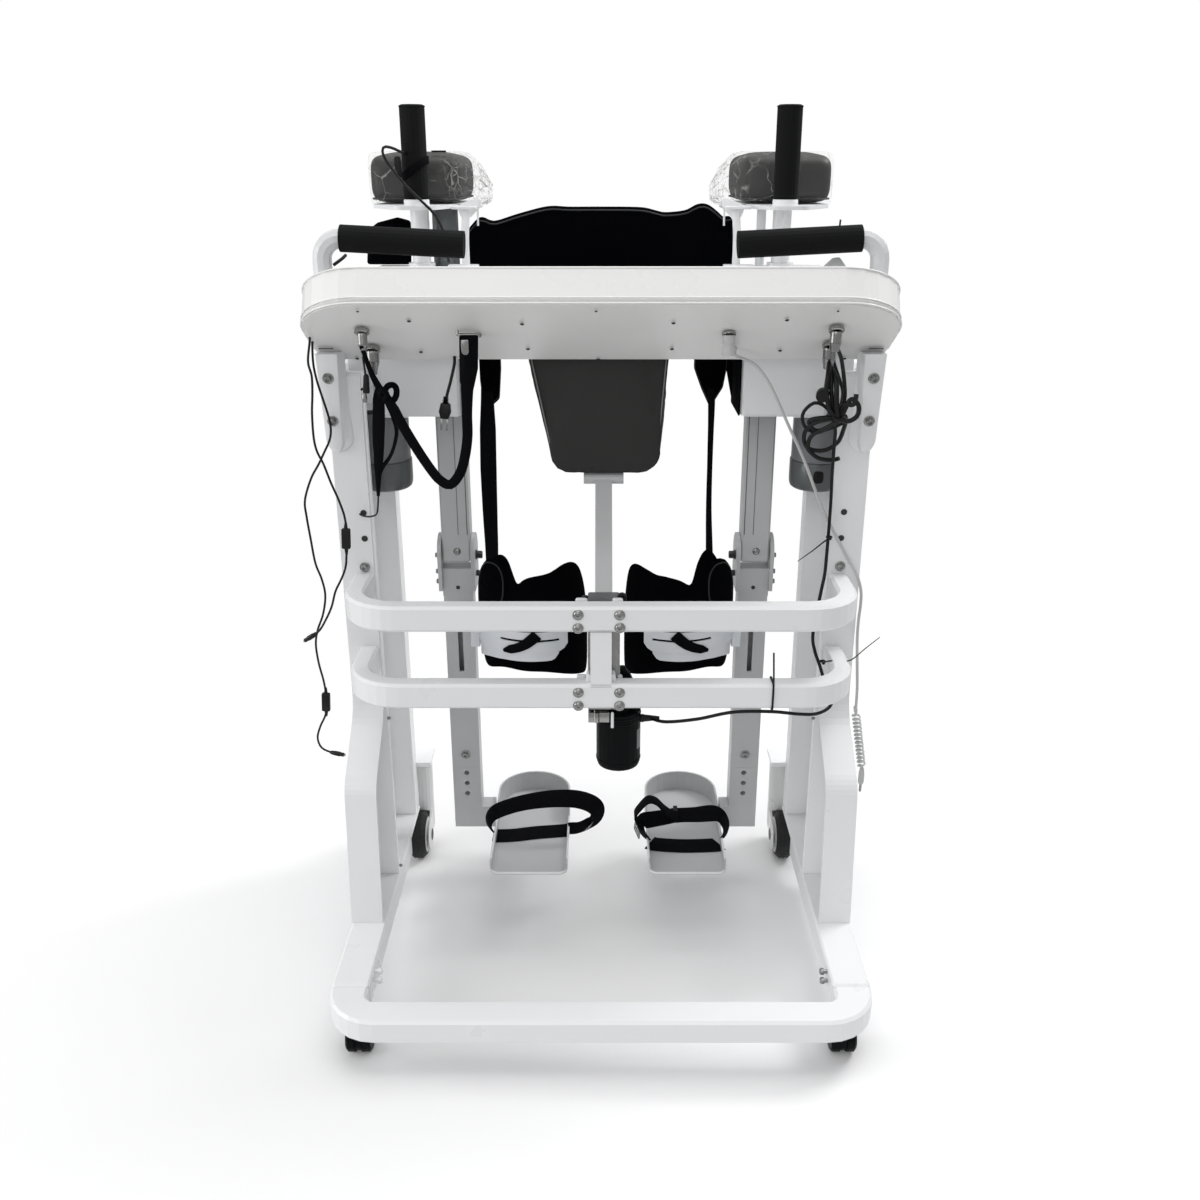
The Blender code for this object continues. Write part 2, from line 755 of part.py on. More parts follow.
def seat_motor():
    top = ACTUATOR_LOW - SEAT_GAP
    low = top - MOTOR_LENGTH
    y = GUARD_FRONT + GUARD_DEPTH + SEAT_GAP + ACTUATOR_DEPTH / 2
    radius = MOTOR_RADIUS
    profile = [(0, top), (radius * 0.72, top), (radius * 0.72, top - 0.006), (radius, top - 0.008)]
    profile += [(radius, low + 0.008), (radius * 0.94, low + 0.002), (radius * 0.8, low), (0, low)]
    motor = lathe("seat_motor", profile, (MOTOR_X, y, 0), (0, 0, 1), 24)
    dress(motor, MOTOR_BLACK)


def seat_post():
    low, high = post_ends()
    along = (high - low).normalized()
    post = beam("seat_post", low - along * 0.030, high, POST_WIDTH, POST_THICKNESS)
    y, z = SEAT_HINGE
    half = SEAT_FORK_HALF
    fork = rod("seat_fork", (ACTUATOR_X - half, y, z), (ACTUATOR_X + half, y, z), SEAT_FORK_RADIUS, 16)
    join(post, fork)
    dress(post, POWDER_COAT)


def seat_pad():
    """The folded-up saddle: a cushion with a crowned face, narrower at the nose by the hinge."""
    y0, z0 = SEAT_HINGE
    low = z0 + SEAT_FORK_RADIUS + SEAT_GAP
    rows, columns = 12, 9
    bm = bmesh.new()

    def half_width(t):
        wide = SEAT_NOSE_WIDTH + (SEAT_TOP_WIDTH - SEAT_NOSE_WIDTH) * min(1.0, t / 0.85)
        nose = math.sqrt(max(0.0, 1 - (1 - min(1.0, t / 0.16)) ** 2))
        crown = math.sqrt(max(0.0, 1 - (max(0.0, t - 0.84) / 0.16) ** 2))
        return wide / 2 * (0.62 + 0.38 * nose) * (0.62 + 0.38 * crown)

    def sheet(front):
        grid = []
        for i in range(rows + 1):
            t = i / rows
            row = []
            for j in range(columns + 1):
                s = 2 * j / columns - 1
                edge = min(1.0, 4.5 * (1 - abs(s))) * min(1.0, 9 * t, 9 * (1 - t))
                swell = SEAT_THICKNESS * (0.30 + 0.20 * math.sin(math.pi / 2 * edge))
                depth = -swell if front else swell * 0.7
                x, z = ACTUATOR_X + s * half_width(t), low + t * SEAT_LENGTH
                row.append(bm.verts.new((x, y0 + depth, z)))
            grid.append(row)
        return grid

    front, back = sheet(True), sheet(False)
    for i in range(rows):
        for j in range(columns):
            bm.faces.new((front[i][j], front[i][j + 1], front[i + 1][j + 1], front[i + 1][j]))
            bm.faces.new((back[i][j], back[i + 1][j], back[i + 1][j + 1], back[i][j + 1]))
        for j, flip in ((0, 1), (columns, 0)):
            quad = (front[i][j], front[i + 1][j], back[i + 1][j], back[i][j])
            bm.faces.new(quad[::-1] if flip else quad)
    for i in (0, rows):
        for j in range(columns):
            bm.faces.new((front[i][j], front[i][j + 1], back[i][j + 1], back[i][j]))
    pad = bm_object("seat_pad", bm)
    dress(pad, LEATHERETTE, (ACTUATOR_X, y0, z0))


# Lift carriage


def hip_drive(label, side):
    """The hip motor's cover, open behind and below for the thigh, and the runner in the lift column."""
    ends = sorted((side * HIP_COVER_INNER, side * HIP_COVER_OUTER))
    body = box(
        "hip_drive_" + label, (ends[0], HIP_COVER_FRONT, HIP_COVER_LOW),
        (ends[1], HIP_COVER_REAR, HIP_COVER_HIGH),
    )
    soften(body, 0.006)
    hollow = sorted((side * (HIP_COVER_INNER + SHEET), side * CARRIAGE_HALF_INNER))
    cut(
        body,
        box(
            "hip_hollow_" + label, (hollow[0], HIP_COVER_FRONT + SHEET, HIP_COVER_LOW - 0.05),
            (hollow[1], HIP_COVER_REAR + 0.05, HIP_COVER_HIGH - SHEET),
        ),
    )
    outer = BASE_HALF_WIDTH - SHEET - SEAT_GAP * 2 - COLUMN_WEB
    rear = FRAME_REAR - COLUMN_REAR_DEPTH - SEAT_GAP
    slide = sorted((side * (HIP_COVER_OUTER - 0.02), side * outer))
    runner = box(
        "hip_runner_" + label, (slide[0], HIP_COVER_FRONT + 0.012, HIP_COVER_LOW + 0.010),
        (slide[1], rear, FRAME_TOP - 0.012),
    )
    join(body, runner)
    axle = rod(
        "hip_axle_" + label, (side * (CARRIAGE_HALF_INNER + 0.002), LEG_Y, HIP_AXIS),
        (leg_x(side) + side * (THIGH_WIDTH / 2 + JOINT_CLEARANCE), LEG_Y, HIP_AXIS), 0.016, 18,
    )
    x = side * FOREARM_POST_X
    collar = rod(
        "forearm_collar_" + label, (x, FOREARM_POST_Y, HIP_COVER_HIGH - 0.001),
        (x, FOREARM_POST_Y, HIP_COVER_HIGH + FOREARM_COLLAR_HEIGHT), FOREARM_COLLAR_RADIUS, 20,
    )
    join(body, axle, collar)
    for hole, place, radius in forearm_posts(side):
        low, high = HIP_COVER_HIGH - 0.020, HIP_COVER_HIGH + 0.020
        cut(body, rod(hole + "_socket_" + label, (*place, low), (*place, high), radius + SEAT_GAP, 18))
    dress(body, POWDER_COAT)


def lift_shroud(label, side):
    """The oval gear housing of the lift, below the hip drive, with a band round its foot."""
    top = HIP_COVER_LOW - SEAT_GAP
    low = top - SHROUD_LENGTH
    profile = [(0, top), (0.94, top), (0.96, top - 0.003), (0.96, low + 0.048)]
    profile += [(0.94, low + 0.046), (0.94, low + 0.044), (1, low + 0.042)]
    profile += [(1, low + 0.008), (0.97, low + 0.003), (0.88, low), (0, low)]
    shroud = lathe("lift_shroud_" + label, profile, (0, 0, 0), (0, 0, 1), 24)
    x = BASE_HALF_WIDTH - SHEET - SEAT_GAP - COLUMN_WEB - SHROUD_CLEARANCE - SHROUD_HALF_WIDTH
    y = (HIP_COVER_FRONT + 0.012 + FRAME_REAR - COLUMN_REAR_DEPTH) / 2
    shroud.data.transform(Matrix.Diagonal((SHROUD_HALF_WIDTH, SHROUD_HALF_DEPTH, 1, 1)))
    shroud.data.transform(Matrix.Translation((side * x, y, 0)))
    dress(shroud, DRIVE_GREY)


# Forearm supports


def forearm_posts(side):
    """The main tube and the thinner stay of a forearm support: name, place in plan and radius."""
    stay_x, stay_y = FOREARM_STAY
    return (
        ("forearm_tube", (side * FOREARM_POST_X, FOREARM_POST_Y), FOREARM_POST_RADIUS),
        ("forearm_stay", (side * stay_x, stay_y), FOREARM_STAY_RADIUS),
    )


def forearm_post(label, side):
    """Two posts that slide in the hip drive and the plate that holds the pad and the upright grip."""
    x = side * FOREARM_X
    grip_x = side * ARM_GRIP_X
    foot = HIP_COVER_HIGH - FOREARM_INSERT
    plate_low = FOREARM_PLATE_HEIGHT
    plate_high = plate_low + FOREARM_PLATE_THICKNESS
    half = ARM_PAD_WIDTH / 2 - 0.012
    front = ARM_GRIP_Y - 0.026
    rear = ARM_PAD_FRONT + ARM_PAD_LENGTH - 0.030
    outline = rounded(
        [
            (grip_x - 0.026, front, 0.018), (grip_x + 0.026, front, 0.018), (x + half, ARM_PAD_FRONT, 0.010),
            (x + half, rear, 0.018), (x - half, rear, 0.018), (x - half, ARM_PAD_FRONT, 0.010),
        ],
        4,
    )
    body = plate("forearm_post_" + label, outline, "Z", plate_low, plate_high)
    for name, place, radius in forearm_posts(side):
        join(body, rod(name + "_" + label, (*place, foot), (*place, plate_high - 0.001), radius, 18))
    boss = rod(
        "grip_boss_" + label, (grip_x, ARM_GRIP_Y, plate_high - 0.001),
        (grip_x, ARM_GRIP_Y, plate_high + ARM_GRIP_BOSS), ARM_GRIP_RADIUS, 20,
    )
    spigot = rod(
        "forearm_spigot_" + label, (grip_x, ARM_GRIP_Y, plate_high - 0.001),
        (grip_x, ARM_GRIP_Y, plate_high + ARM_GRIP_LENGTH * 0.8), BAR_RADIUS * 0.8, 12,
    )
    join(body, boss, spigot)
    dress(body, POWDER_COAT)


def forearm_grip(label, side):
    x = side * ARM_GRIP_X
    plate_high = FOREARM_PLATE_HEIGHT + FOREARM_PLATE_THICKNESS
    low = plate_high + ARM_GRIP_BOSS + SEAT_GAP
    high = low + ARM_GRIP_LENGTH
    grip = rod("forearm_grip_" + label, (x, ARM_GRIP_Y, low), (x, ARM_GRIP_Y, high), ARM_GRIP_RADIUS, 20)
    bore_top = plate_high + ARM_GRIP_LENGTH * 0.8 + SEAT_GAP
    bore = rod(
        "grip_bore_" + label, (x, ARM_GRIP_Y, low - 0.01), (x, ARM_GRIP_Y, bore_top),
        BAR_RADIUS * 0.8 + SEAT_GAP, 12,
    )
    soften(grip, 0.003, 2, 60)
    cut(grip, bore)
    dress(grip, FOAM)


def cushion(name, low, high, crown, corner):
    """A crowned pad: a rounded block whose sides draw in towards the underside."""
    low, high = Vector(low), Vector(high)
    across, along = 12, 16
    size = high - low
    bm = bmesh.new()

    def place(u, v, top):
        squeeze = 1.0 if top else 0.93
        ellipse = 1 - abs(u * v) ** 4 * 0.08  # draws the corners in
        x = (low.x + high.x) / 2 + u * size.x / 2 * squeeze * ellipse
        y = (low.y + high.y) / 2 + v * size.y / 2 * squeeze * ellipse
        near_side = min(1.0, (1 - abs(u)) * size.x / 2 / corner)
        near_end = min(1.0, (1 - abs(v)) * size.y / 2 / corner)
        edge = math.sqrt(near_side * near_end)
        if top:
            drop = crown + (1 - edge) * (size.z * 0.55 - crown) - crown * (1 - u * u) * (1 - v * v)
            return (x, y, high.z - drop)
        return (x, y, low.z + (1 - edge) * size.z * 0.15)

    sheets = []
    for top in (True, False):
        grid = [
            [bm.verts.new(place(2 * i / across - 1, 2 * j / along - 1, top)) for j in range(along + 1)]
            for i in range(across + 1)
        ]
        sheets.append(grid)
    upper, lower = sheets
    for i in range(across):
        for j in range(along):
            bm.faces.new((upper[i][j], upper[i + 1][j], upper[i + 1][j + 1], upper[i][j + 1]))
            bm.faces.new((lower[i][j], lower[i][j + 1], lower[i + 1][j + 1], lower[i + 1][j]))
    for i in range(across):
        for j in (0, along):
            bm.faces.new((upper[i][j], upper[i + 1][j], lower[i + 1][j], lower[i][j]))
    for j in range(along):
        for i in (0, across):
            bm.faces.new((upper[i][j], upper[i][j + 1], lower[i][j + 1], lower[i][j]))
    return bm_object(name, bm)


def forearm_pad(label, side):
    x = side * FOREARM_X
    low = FOREARM_PLATE_HEIGHT + FOREARM_PLATE_THICKNESS + SEAT_GAP
    half = ARM_PAD_WIDTH / 2
    pad = cushion(
        "forearm_pad_" + label, (x - half, ARM_PAD_FRONT, low),
        (x + half, ARM_PAD_FRONT + ARM_PAD_LENGTH, low + ARM_PAD_THICKNESS), 0.004, 0.016,
    )
    dress(pad, PAD_GREY)


# Leg units


def leg_x(side):
    return side * LEG_X + LEG_SHIFT


def thigh_link(label, side):
    """The upper leg bar, whose lower end turns between the cheeks of the shank."""
    x = leg_x(side)
    half = THIGH_WIDTH / 2
    low = KNEE_AXIS - KNEE_REACH
    radius = THIGH_DEPTH / 2
    outline = arc((LEG_Y, HIP_AXIS), radius, 0, 180, 8)
    outline += [(LEG_Y - radius, low), (LEG_Y + radius, low)]
    link = plate("thigh_link_" + label, outline, "X", x - half, x + half)
    soften(link, 0.003)
    dress(link, POWDER_COAT, (x, LEG_Y, HIP_AXIS))


def shank_link(label, side):
    """The lower leg tube with two cheeks bolted to its sides, which hold the knee pin."""
    x = leg_x(side)
    half = THIGH_WIDTH / 2 + JOINT_CLEARANCE + CHEEK_SINK
    top = KNEE_AXIS - KNEE_CLEAR
    head_low = KNEE_AXIS - CHEEK_DROP - 0.012
    depth = SHANK_DEPTH / 2
    link = box("shank_link_" + label, (x - half, LEG_Y - depth, head_low), (x + half, LEG_Y + depth, top))
    tube_half = SHANK_WIDTH / 2
    tube_low = (x - tube_half, LEG_Y - depth, SHANK_END)
    join(link, box("shank_tube_" + label, tube_low, (x + tube_half, LEG_Y + depth, head_low + 0.004)))
    for s in (-1, 1):
        inner = x + s * (half - CHEEK_SINK)
        outer = x + s * (half + CHEEK_THICKNESS)
        cheek = arc((LEG_Y, KNEE_AXIS), CHEEK_RADIUS, 0, 180, 12)
        low = KNEE_AXIS - CHEEK_DROP
        cheek += [(LEG_Y - CHEEK_RADIUS * 0.9, low), (LEG_Y + CHEEK_RADIUS * 0.9, low)]
        join(link, plate("knee_cheek_" + label + str(s), cheek, "X", *sorted((inner, outer))))
    bore = box(
        "shank_bore_" + label, (x - tube_half + SHEET, LEG_Y - depth + SHEET, SHANK_END - 0.01),
        (x + tube_half - SHEET, LEG_Y + depth - SHEET, SHANK_END + SHANK_BORE),
    )
    slot_low, slot_high = SHANK_SLOT
    slot = box(
        "shank_slot_" + label, (x - 0.004, LEG_Y - depth - 0.01, slot_low),
        (x + 0.004, LEG_Y - depth + SHEET + 0.001, slot_high),
    )
    cut(link, bore, slot)
    dress(link, POWDER_COAT, (x, LEG_Y, KNEE_AXIS))


def foot_bracket(label, side):
    """The L-shaped leg end: an upright that slides in the shank and an arm in to the foot plate's heel."""
    x = leg_x(side)
    half = SHANK_WIDTH / 2 - SHEET - SEAT_GAP
    depth = SHANK_DEPTH / 2 - SHEET - SEAT_GAP
    upright = box(
        "foot_bracket_" + label, (x - half, LEG_Y - depth, BRACKET_LOW + 0.006),
        (x + half, LEG_Y + depth, SHANK_END + BRACKET_INSERT),
    )
    flare = SHANK_WIDTH / 2
    lower = box(
        "bracket_flare_" + label, (x - flare, LEG_Y - SHANK_DEPTH / 2, BRACKET_LOW),
        (x + flare, LEG_Y + SHANK_DEPTH / 2, SHANK_END - SEAT_GAP),
    )
    reach = sorted((x, foot_x(side) + side * (FOOT_WIDTH / 2 + ANKLE_BOSS + JOINT_CLEARANCE)))
    arm = box(
        "bracket_arm_" + label, (reach[0], LEG_Y - SHANK_DEPTH / 2, BRACKET_LOW),
        (reach[1], LEG_Y + SHANK_DEPTH / 2, BRACKET_LOW + 0.040),
    )
    join(upright, lower, arm)
    hole_depth = SHANK_DEPTH / 2 + 0.002
    for i in range(3):
        z = SHANK_END - BRACKET_FIRST_HOLE - i * BRACKET_HOLE_PITCH
        ends = (x, LEG_Y - hole_depth, z), (x, LEG_Y + hole_depth, z)
        cut(upright, rod("bracket_hole_%s%d" % (label, i), *ends, BRACKET_HOLE_RADIUS, 12))
    dress(upright, POWDER_COAT)


def foot_x(side):
    return side * FOOT_X + FOOT_SHIFT


def foot_plate(label, side):
    """A folded tray for the shoe: a flat sole with side flanges and a round heel cup."""
    x = foot_x(side)
    half = FOOT_WIDTH / 2
    front = FOOT_FRONT_Y
    rear = front + FOOT_LENGTH
    heel = half
    base = [(x + half, rear - heel)]
    base += arc((x, rear - heel), heel, 10, 170, 12)
    base += [(x - half, rear - heel)]
    base += arc((x - half + FOOT_CORNER, front + FOOT_CORNER), FOOT_CORNER, 180, 270, 5)
    base += arc((x + half - FOOT_CORNER, front + FOOT_CORNER), FOOT_CORNER, 270, 360, 5)
    body = plate("foot_plate_" + label, base, "Z", FOOT_SOLE, FOOT_SOLE + FOOT_WALL)
    inner = half - FOOT_SHEET
    hollow = [(x + inner, front - 0.03), (x + inner, rear - heel)]
    hollow += arc((x, rear - heel), inner, 10, 170, 12)
    hollow += [(x - inner, rear - heel), (x - inner, front - 0.03)]
    cut(body, plate("foot_hollow_" + label, hollow, "Z", FOOT_SOLE + FOOT_SHEET, FOOT_SOLE + 0.1))
    flange = FOOT_SOLE + FOOT_FLANGE
    above = FOOT_SOLE + 0.1
    slope = [(front - 0.05, flange), (front + 0.155, flange), (rear - heel, above), (front - 0.05, above)]
    cut(body, plate("foot_slope_" + label, slope, "X", x - half - 0.02, x + half + 0.02))
    pin_x = x + side * (half - 0.002)
    pin_end = x + side * (half + ANKLE_BOSS)
    boss = rod("ankle_boss_" + label, (pin_x, LEG_Y, ANKLE_AXIS), (pin_end, LEG_Y, ANKLE_AXIS), 0.011, 14)
    join(body, boss)
    dress(body, POWDER_COAT, (x, LEG_Y, ANKLE_AXIS))


def eased(heights, angle):
    """Height at an angle, eased from each listed point to the next."""
    for (a, low), (b, high) in zip(heights, heights[1:]):
        if angle <= b:
            t = max(0.0, (angle - a) / (b - a))
            return low + (high - low) * t * t * (3 - 2 * t)
    return heights[-1][1]


def calf_cuff(label, side):
    """A padded half ring before the calf, with the lobes that its strap pulls round."""
    x = side * CUFF_X + LEG_SHIFT
    steps = 21
    last = CUFF_TOP[-1][0]
    bm = bmesh.new()
    grid = []
    for i in range(steps + 1):
        angle = last * i / steps
        high, low = eased(CUFF_TOP, angle), eased(CUFF_FOOT, angle)
        turn = math.radians(angle)
        ring = []
        for thick, tall in CUFF_SECTION:
            radius = CUFF_RADIUS + CUFF_PAD / 2 * thick
            z = (low + high) / 2 + (high - low) / 2 * tall
            place = (x + side * radius * math.cos(turn), CUFF_Y - radius * math.sin(turn), z)
            ring.append(bm.verts.new(place))
        grid.append(ring)
    count = len(CUFF_SECTION)
    for a, b in zip(grid, grid[1:]):
        for k in range(count):
            m = (k + 1) % count
            bm.faces.new((a[k], a[m], b[m], b[k]))
    bm.faces.new(grid[0])
    bm.faces.new(grid[-1][::-1])
    cuff = bm_object("calf_cuff_" + label, bm)
    dress(cuff, NEOPRENE)


def cuff_plate(label, side):
    """The slotted plate that carries the cuff, bent round its front and bolted to the shank."""
    x = side * CUFF_X + LEG_SHIFT
    radius = CUFF_RADIUS + CUFF_PAD / 2 + CUFF_PLATE_GAP
    low, high = CUFF_PLATE_HEIGHTS
    first, last = CUFF_PLATE_SPAN
    start, end = (-last, -first) if side > 0 else (first - 180, last - 180)
    outer = arc((x, CUFF_Y), radius + 0.003, start, end, 12)
    inner = arc((x, CUFF_Y), radius, end, start, 12)
    band = plate("cuff_plate_" + label, outer + inner, "Z", low, high)
    shank_inner = leg_x(side) - side * (SHANK_WIDTH / 2 + SEAT_GAP)
    near = x + side * (radius + 0.0006)
    arm = box(
        "cuff_arm_" + label, (min(shank_inner, near), LEG_Y - 0.060, low),
        (max(shank_inner, near), LEG_Y + 0.010, high),
    )
    join(band, arm)
    dress(band, POWDER_COAT)


# Harness


def harness():
    """The padded body belt between the two hip drives, its ends on their inner covers."""
    steps, rings = 20, 8
    half = HIP_COVER_INNER - SEAT_GAP
    bm = bmesh.new()
    grid = []
    for i in range(steps + 1):
        s = 2 * i / steps - 1
        x = s * half
        y = HARNESS_Y - HARNESS_BOW * s * s
        rise = min(1.0, max(0.0, (abs(s) - 0.5) / 0.3))
        low = HARNESS_LOW - HARNESS_DROP * rise * rise * (3 - 2 * rise) + 0.045 * abs(s) ** 9
        wave = 0.012 * math.cos(3 * math.pi * s) * (1 - s * s)
        high = min(HARNESS_HIGH, HARNESS_HIGH - 0.050 * abs(s) ** 4 - wave)
        ring = []
        for k in range(rings):
            turn = math.tau * k / rings
            thick = 0.011 * math.cos(turn)
            z = (low + high) / 2 + (high - low) / 2 * math.sin(turn)
            ring.append(bm.verts.new((x, y + thick, z)))
        grid.append(ring)
    for a, b in zip(grid, grid[1:]):
        for k in range(rings):
            m = (k + 1) % rings
            bm.faces.new((a[k], b[k], b[m], a[m]))
    bm.faces.new(grid[0][::-1])
    bm.faces.new(grid[-1])
    dress(bm_object("harness_belt", bm), NEOPRENE)


# Casters


def front_caster(label, side):
    x, y = side * FRONT_CASTER[0], FRONT_CASTER[1]
    top = RAIL_TOP - RAIL_HEIGHT - SEAT_GAP
    axle_y = y + FRONT_TRAIL
    radius, width = FRONT_WHEEL_RADIUS, FRONT_WHEEL_WIDTH
    web_half = FRONT_WEB / 2
    axle = FRONT_AXLE_RADIUS
    hood = arc((axle_y, radius), radius * 0.94, -30, 210, 14)
    body = plate("front_caster_hood_" + label, hood, "X", x - web_half, x + web_half)
    crown = rod("front_crown_" + label, (x, y, radius * 2 + 0.0015), (x, y, top), 0.011, 16)
    low, high = (x - web_half, y - 0.010, radius * 1.2), (x + web_half, y + 0.010, top - 0.004)
    join(body, crown, box("front_web_" + label, low, high))
    ends = (x - 0.01, axle_y, radius), (x + 0.01, axle_y, radius)
    cut(body, rod("front_bore_" + label, *ends, axle + AXLE_CLEARANCE, 16))
    dress(body, MOTOR_BLACK, (x, y, top))
    half, edge, slot = width / 2, radius * 0.12, web_half + 0.0008
    outline = [
        (0.00001, half), (radius - edge, half), (radius, half - edge), (radius, slot), (axle, slot),
        (axle, -slot), (radius, -slot), (radius, -half + edge), (radius - edge, -half), (0.00001, -half),
    ]
    turned_wheel("front_caster_wheel_" + label, x, axle_y, radius, outline, MOTOR_BLACK)


def turned_wheel(name, x, y, radius, outline, look):
    """A wheel turned about the X direction: the outline is a closed ring of (radius, offset along X)."""
    bm = bmesh.new()
    steps = 24
    rings = []
    for i in range(steps):
        a = math.tau * i / steps
        places = [(x + w, y + r * math.cos(a), radius + r * math.sin(a)) for r, w in outline]
        rings.append([bm.verts.new(place) for place in places])
    count = len(outline)
    for i in range(steps):
        a, b = rings[i], rings[(i + 1) % steps]
        for k in range(count):
            m = (k + 1) % count
            bm.faces.new((a[k], a[m], b[m], b[k]))
    bmesh.ops.remove_doubles(bm, verts=bm.verts, dist=0.00002)
    wheel = bm_object(name, bm)
    dress(wheel, look, (x, y, radius))


def rear_caster(label, side):
    x, y = side * REAR_CASTER[0], REAR_CASTER[1]
    top = REAR_STEM_TOP
    radius, width = REAR_WHEEL_RADIUS, REAR_WHEEL_WIDTH
    axle_y = y - REAR_TRAIL
    housing = rod(
        "rear_caster_fork_" + label, (x, y, radius * 0.9), (x, y, top), REAR_HOUSING_RADIUS * 0.92, 20,
        REAR_HOUSING_RADIUS,
    )
    inner = width / 2 + REAR_FORK_GAP
    outer = inner + REAR_FORK_SHEET
    arm = rounded(
        [
            (axle_y - 0.012, radius - 0.012, 0.008), (y + 0.012, radius - 0.012, 0.008),
            (y + 0.014, radius + 0.040, 0.008), (axle_y - 0.012, radius + 0.014, 0.008),
        ],
        3,
    )
    for s in (-1, 1):
        ends = sorted((x + s * inner, x + s * outer))
        join(housing, plate("rear_arm_%s%d" % (label, s), arm, "X", *ends))
    clear_ends = (x - inner, axle_y, radius), (x + inner, axle_y, radius)
    cut(housing, rod("rear_clear_" + label, *clear_ends, radius + 0.0015, 24))
    half_axle = inner + REAR_FORK_SHEET / 2
    axle_ends = (x - half_axle, axle_y, radius), (x + half_axle, axle_y, radius)
    join(housing, rod("rear_axle_" + label, *axle_ends, REAR_AXLE_RADIUS, 12))
    dress(housing, HUB_WHITE, (x, y, top))
    half, edge, bore = width / 2, radius * 0.16, REAR_AXLE_RADIUS + AXLE_CLEARANCE
    outline = [
        (bore, half), (radius - edge, half), (radius, half - edge),
        (radius, -half + edge), (radius - edge, -half), (bore, -half),
    ]
    turned_wheel("rear_caster_wheel_" + label, x, axle_y, radius, outline, TYRE)


# Cords


def tray_exit(x, y, radius):
    """Where a lead leaves the tray: a point just clear of the underside and one straight out of it."""
    square = Vector((0, math.sin(CONSOLE_TILT), math.cos(CONSOLE_TILT)))
    start = Vector((x, y, underside(y))) - square * SEAT_GAP
    return [tuple(start), tuple(start - square * 5 * radius)]


def least_gap(points, radius, apart):
    """The least clear distance between stretches of one cord that lie more than some points apart."""
    places = [Vector(p) for p in points]
    fine = []
    for a, b in zip(places, places[1:]):
        fine += [a.lerp(b, k / 4) for k in range(4)]
    skip = apart * 4
    count = len(fine)
    nearest = min((fine[i] - fine[j]).length for i in range(count) for j in range(i + skip, count))
    return nearest - 2 * radius


def beside(points, side=1):
    """A route beside the frame, its X given as the distance out from the base's side."""
    return [(side * (BASE_HALF_WIDTH + out), y, z) for out, y, z in points]


def handset_cord():
    """The white lead from the tray down the right upright, its curly stretch and the plug on its end."""
    points = smooth_path(
        tray_exit(0.185, 0.006, HANDSET_CORD_RADIUS)
        + beside([
            (-0.1910, 0.006, 0.950), (-0.1730, 0.012, 0.940), (-0.1545, 0.016, 0.918),
            (-0.1360, 0.018, 0.884), (-0.1216, 0.020, 0.855), (-0.0955, 0.020, 0.803),
            (-0.0654, 0.020, 0.733), (-0.0329, 0.022, 0.674), (-0.0171, 0.022, 0.647),
            (-0.0052, 0.022, 0.627), (0.0031, 0.024, 0.602), (0.0045, 0.024, 0.581),
            (0.0033, 0.024, 0.552), (0.0039, 0.024, 0.521), (0.0076, 0.024, 0.474),
            (0.0100, 0.023, 0.440),
        ])
        + [CURL_TOP],
        0.010,
    )
    points[-1] = (CURL_TOP[0], CURL_TOP[1], CURL_TOP[2] + SEAT_GAP)
    dress(cord("handset_cord", points, HANDSET_CORD_RADIUS), CABLE_WHITE)
    start, end = Vector(CURL_TOP), Vector(CURL_END)
    lean = (end - start).normalized().to_track_quat("Z", "Y").to_matrix()
    across, along = lean @ Vector((1, 0, 0)), lean @ Vector((0, 1, 0))
    straight = (end - start).normalized() * 2 * HANDSET_CORD_RADIUS
    curl = [start]
    turns, per_turn = CURL_TURNS, 9
    count = turns * per_turn
    for i in range(count + 1):
        t = i / count
        swell = CURL_RADIUS * min(1.0, t * turns * 2, (1 - t) * turns * 2)
        turn = math.tau * turns * t
        middle = (start + straight).lerp(end - straight, t)
        curl.append(middle + across * swell * math.cos(turn) + along * swell * math.sin(turn))
    curl.append(end)
    dress(cord("handset_curl", curl, CURL_CORD_RADIUS, 1), CABLE_WHITE)
    print("least gap of the curl to itself: %.5f" % least_gap(curl, CURL_CORD_RADIUS, per_turn // 2))
    x, y, low = CURL_END
    top = low - SEAT_GAP
    profile = [(0, top), (0.0035, top), (0.0045, top - 0.008), (0.0045, top - 0.024), (0.0022, top - 0.026)]
    profile += [(0.0022, top - 0.040), (0, top - 0.040)]
    dress(lathe("handset_plug", profile, (x, y, 0), (0, 0, 1), 12), CABLE_WHITE)


def reached(points, height):
    """Index of the first point of a lead that lies at or below a height."""
    return next(i for i, place in enumerate(points) if place[2] <= height)


def swollen(points, bulges):
    """Radius factors along a lead: each bulge, (first point, last point, factor), is a box or plug on it."""
    factors = [1.0] * len(points)
    for first, last, factor in bulges:
        for i in range(first, last + 1):
            factors[i] = factor
    return factors


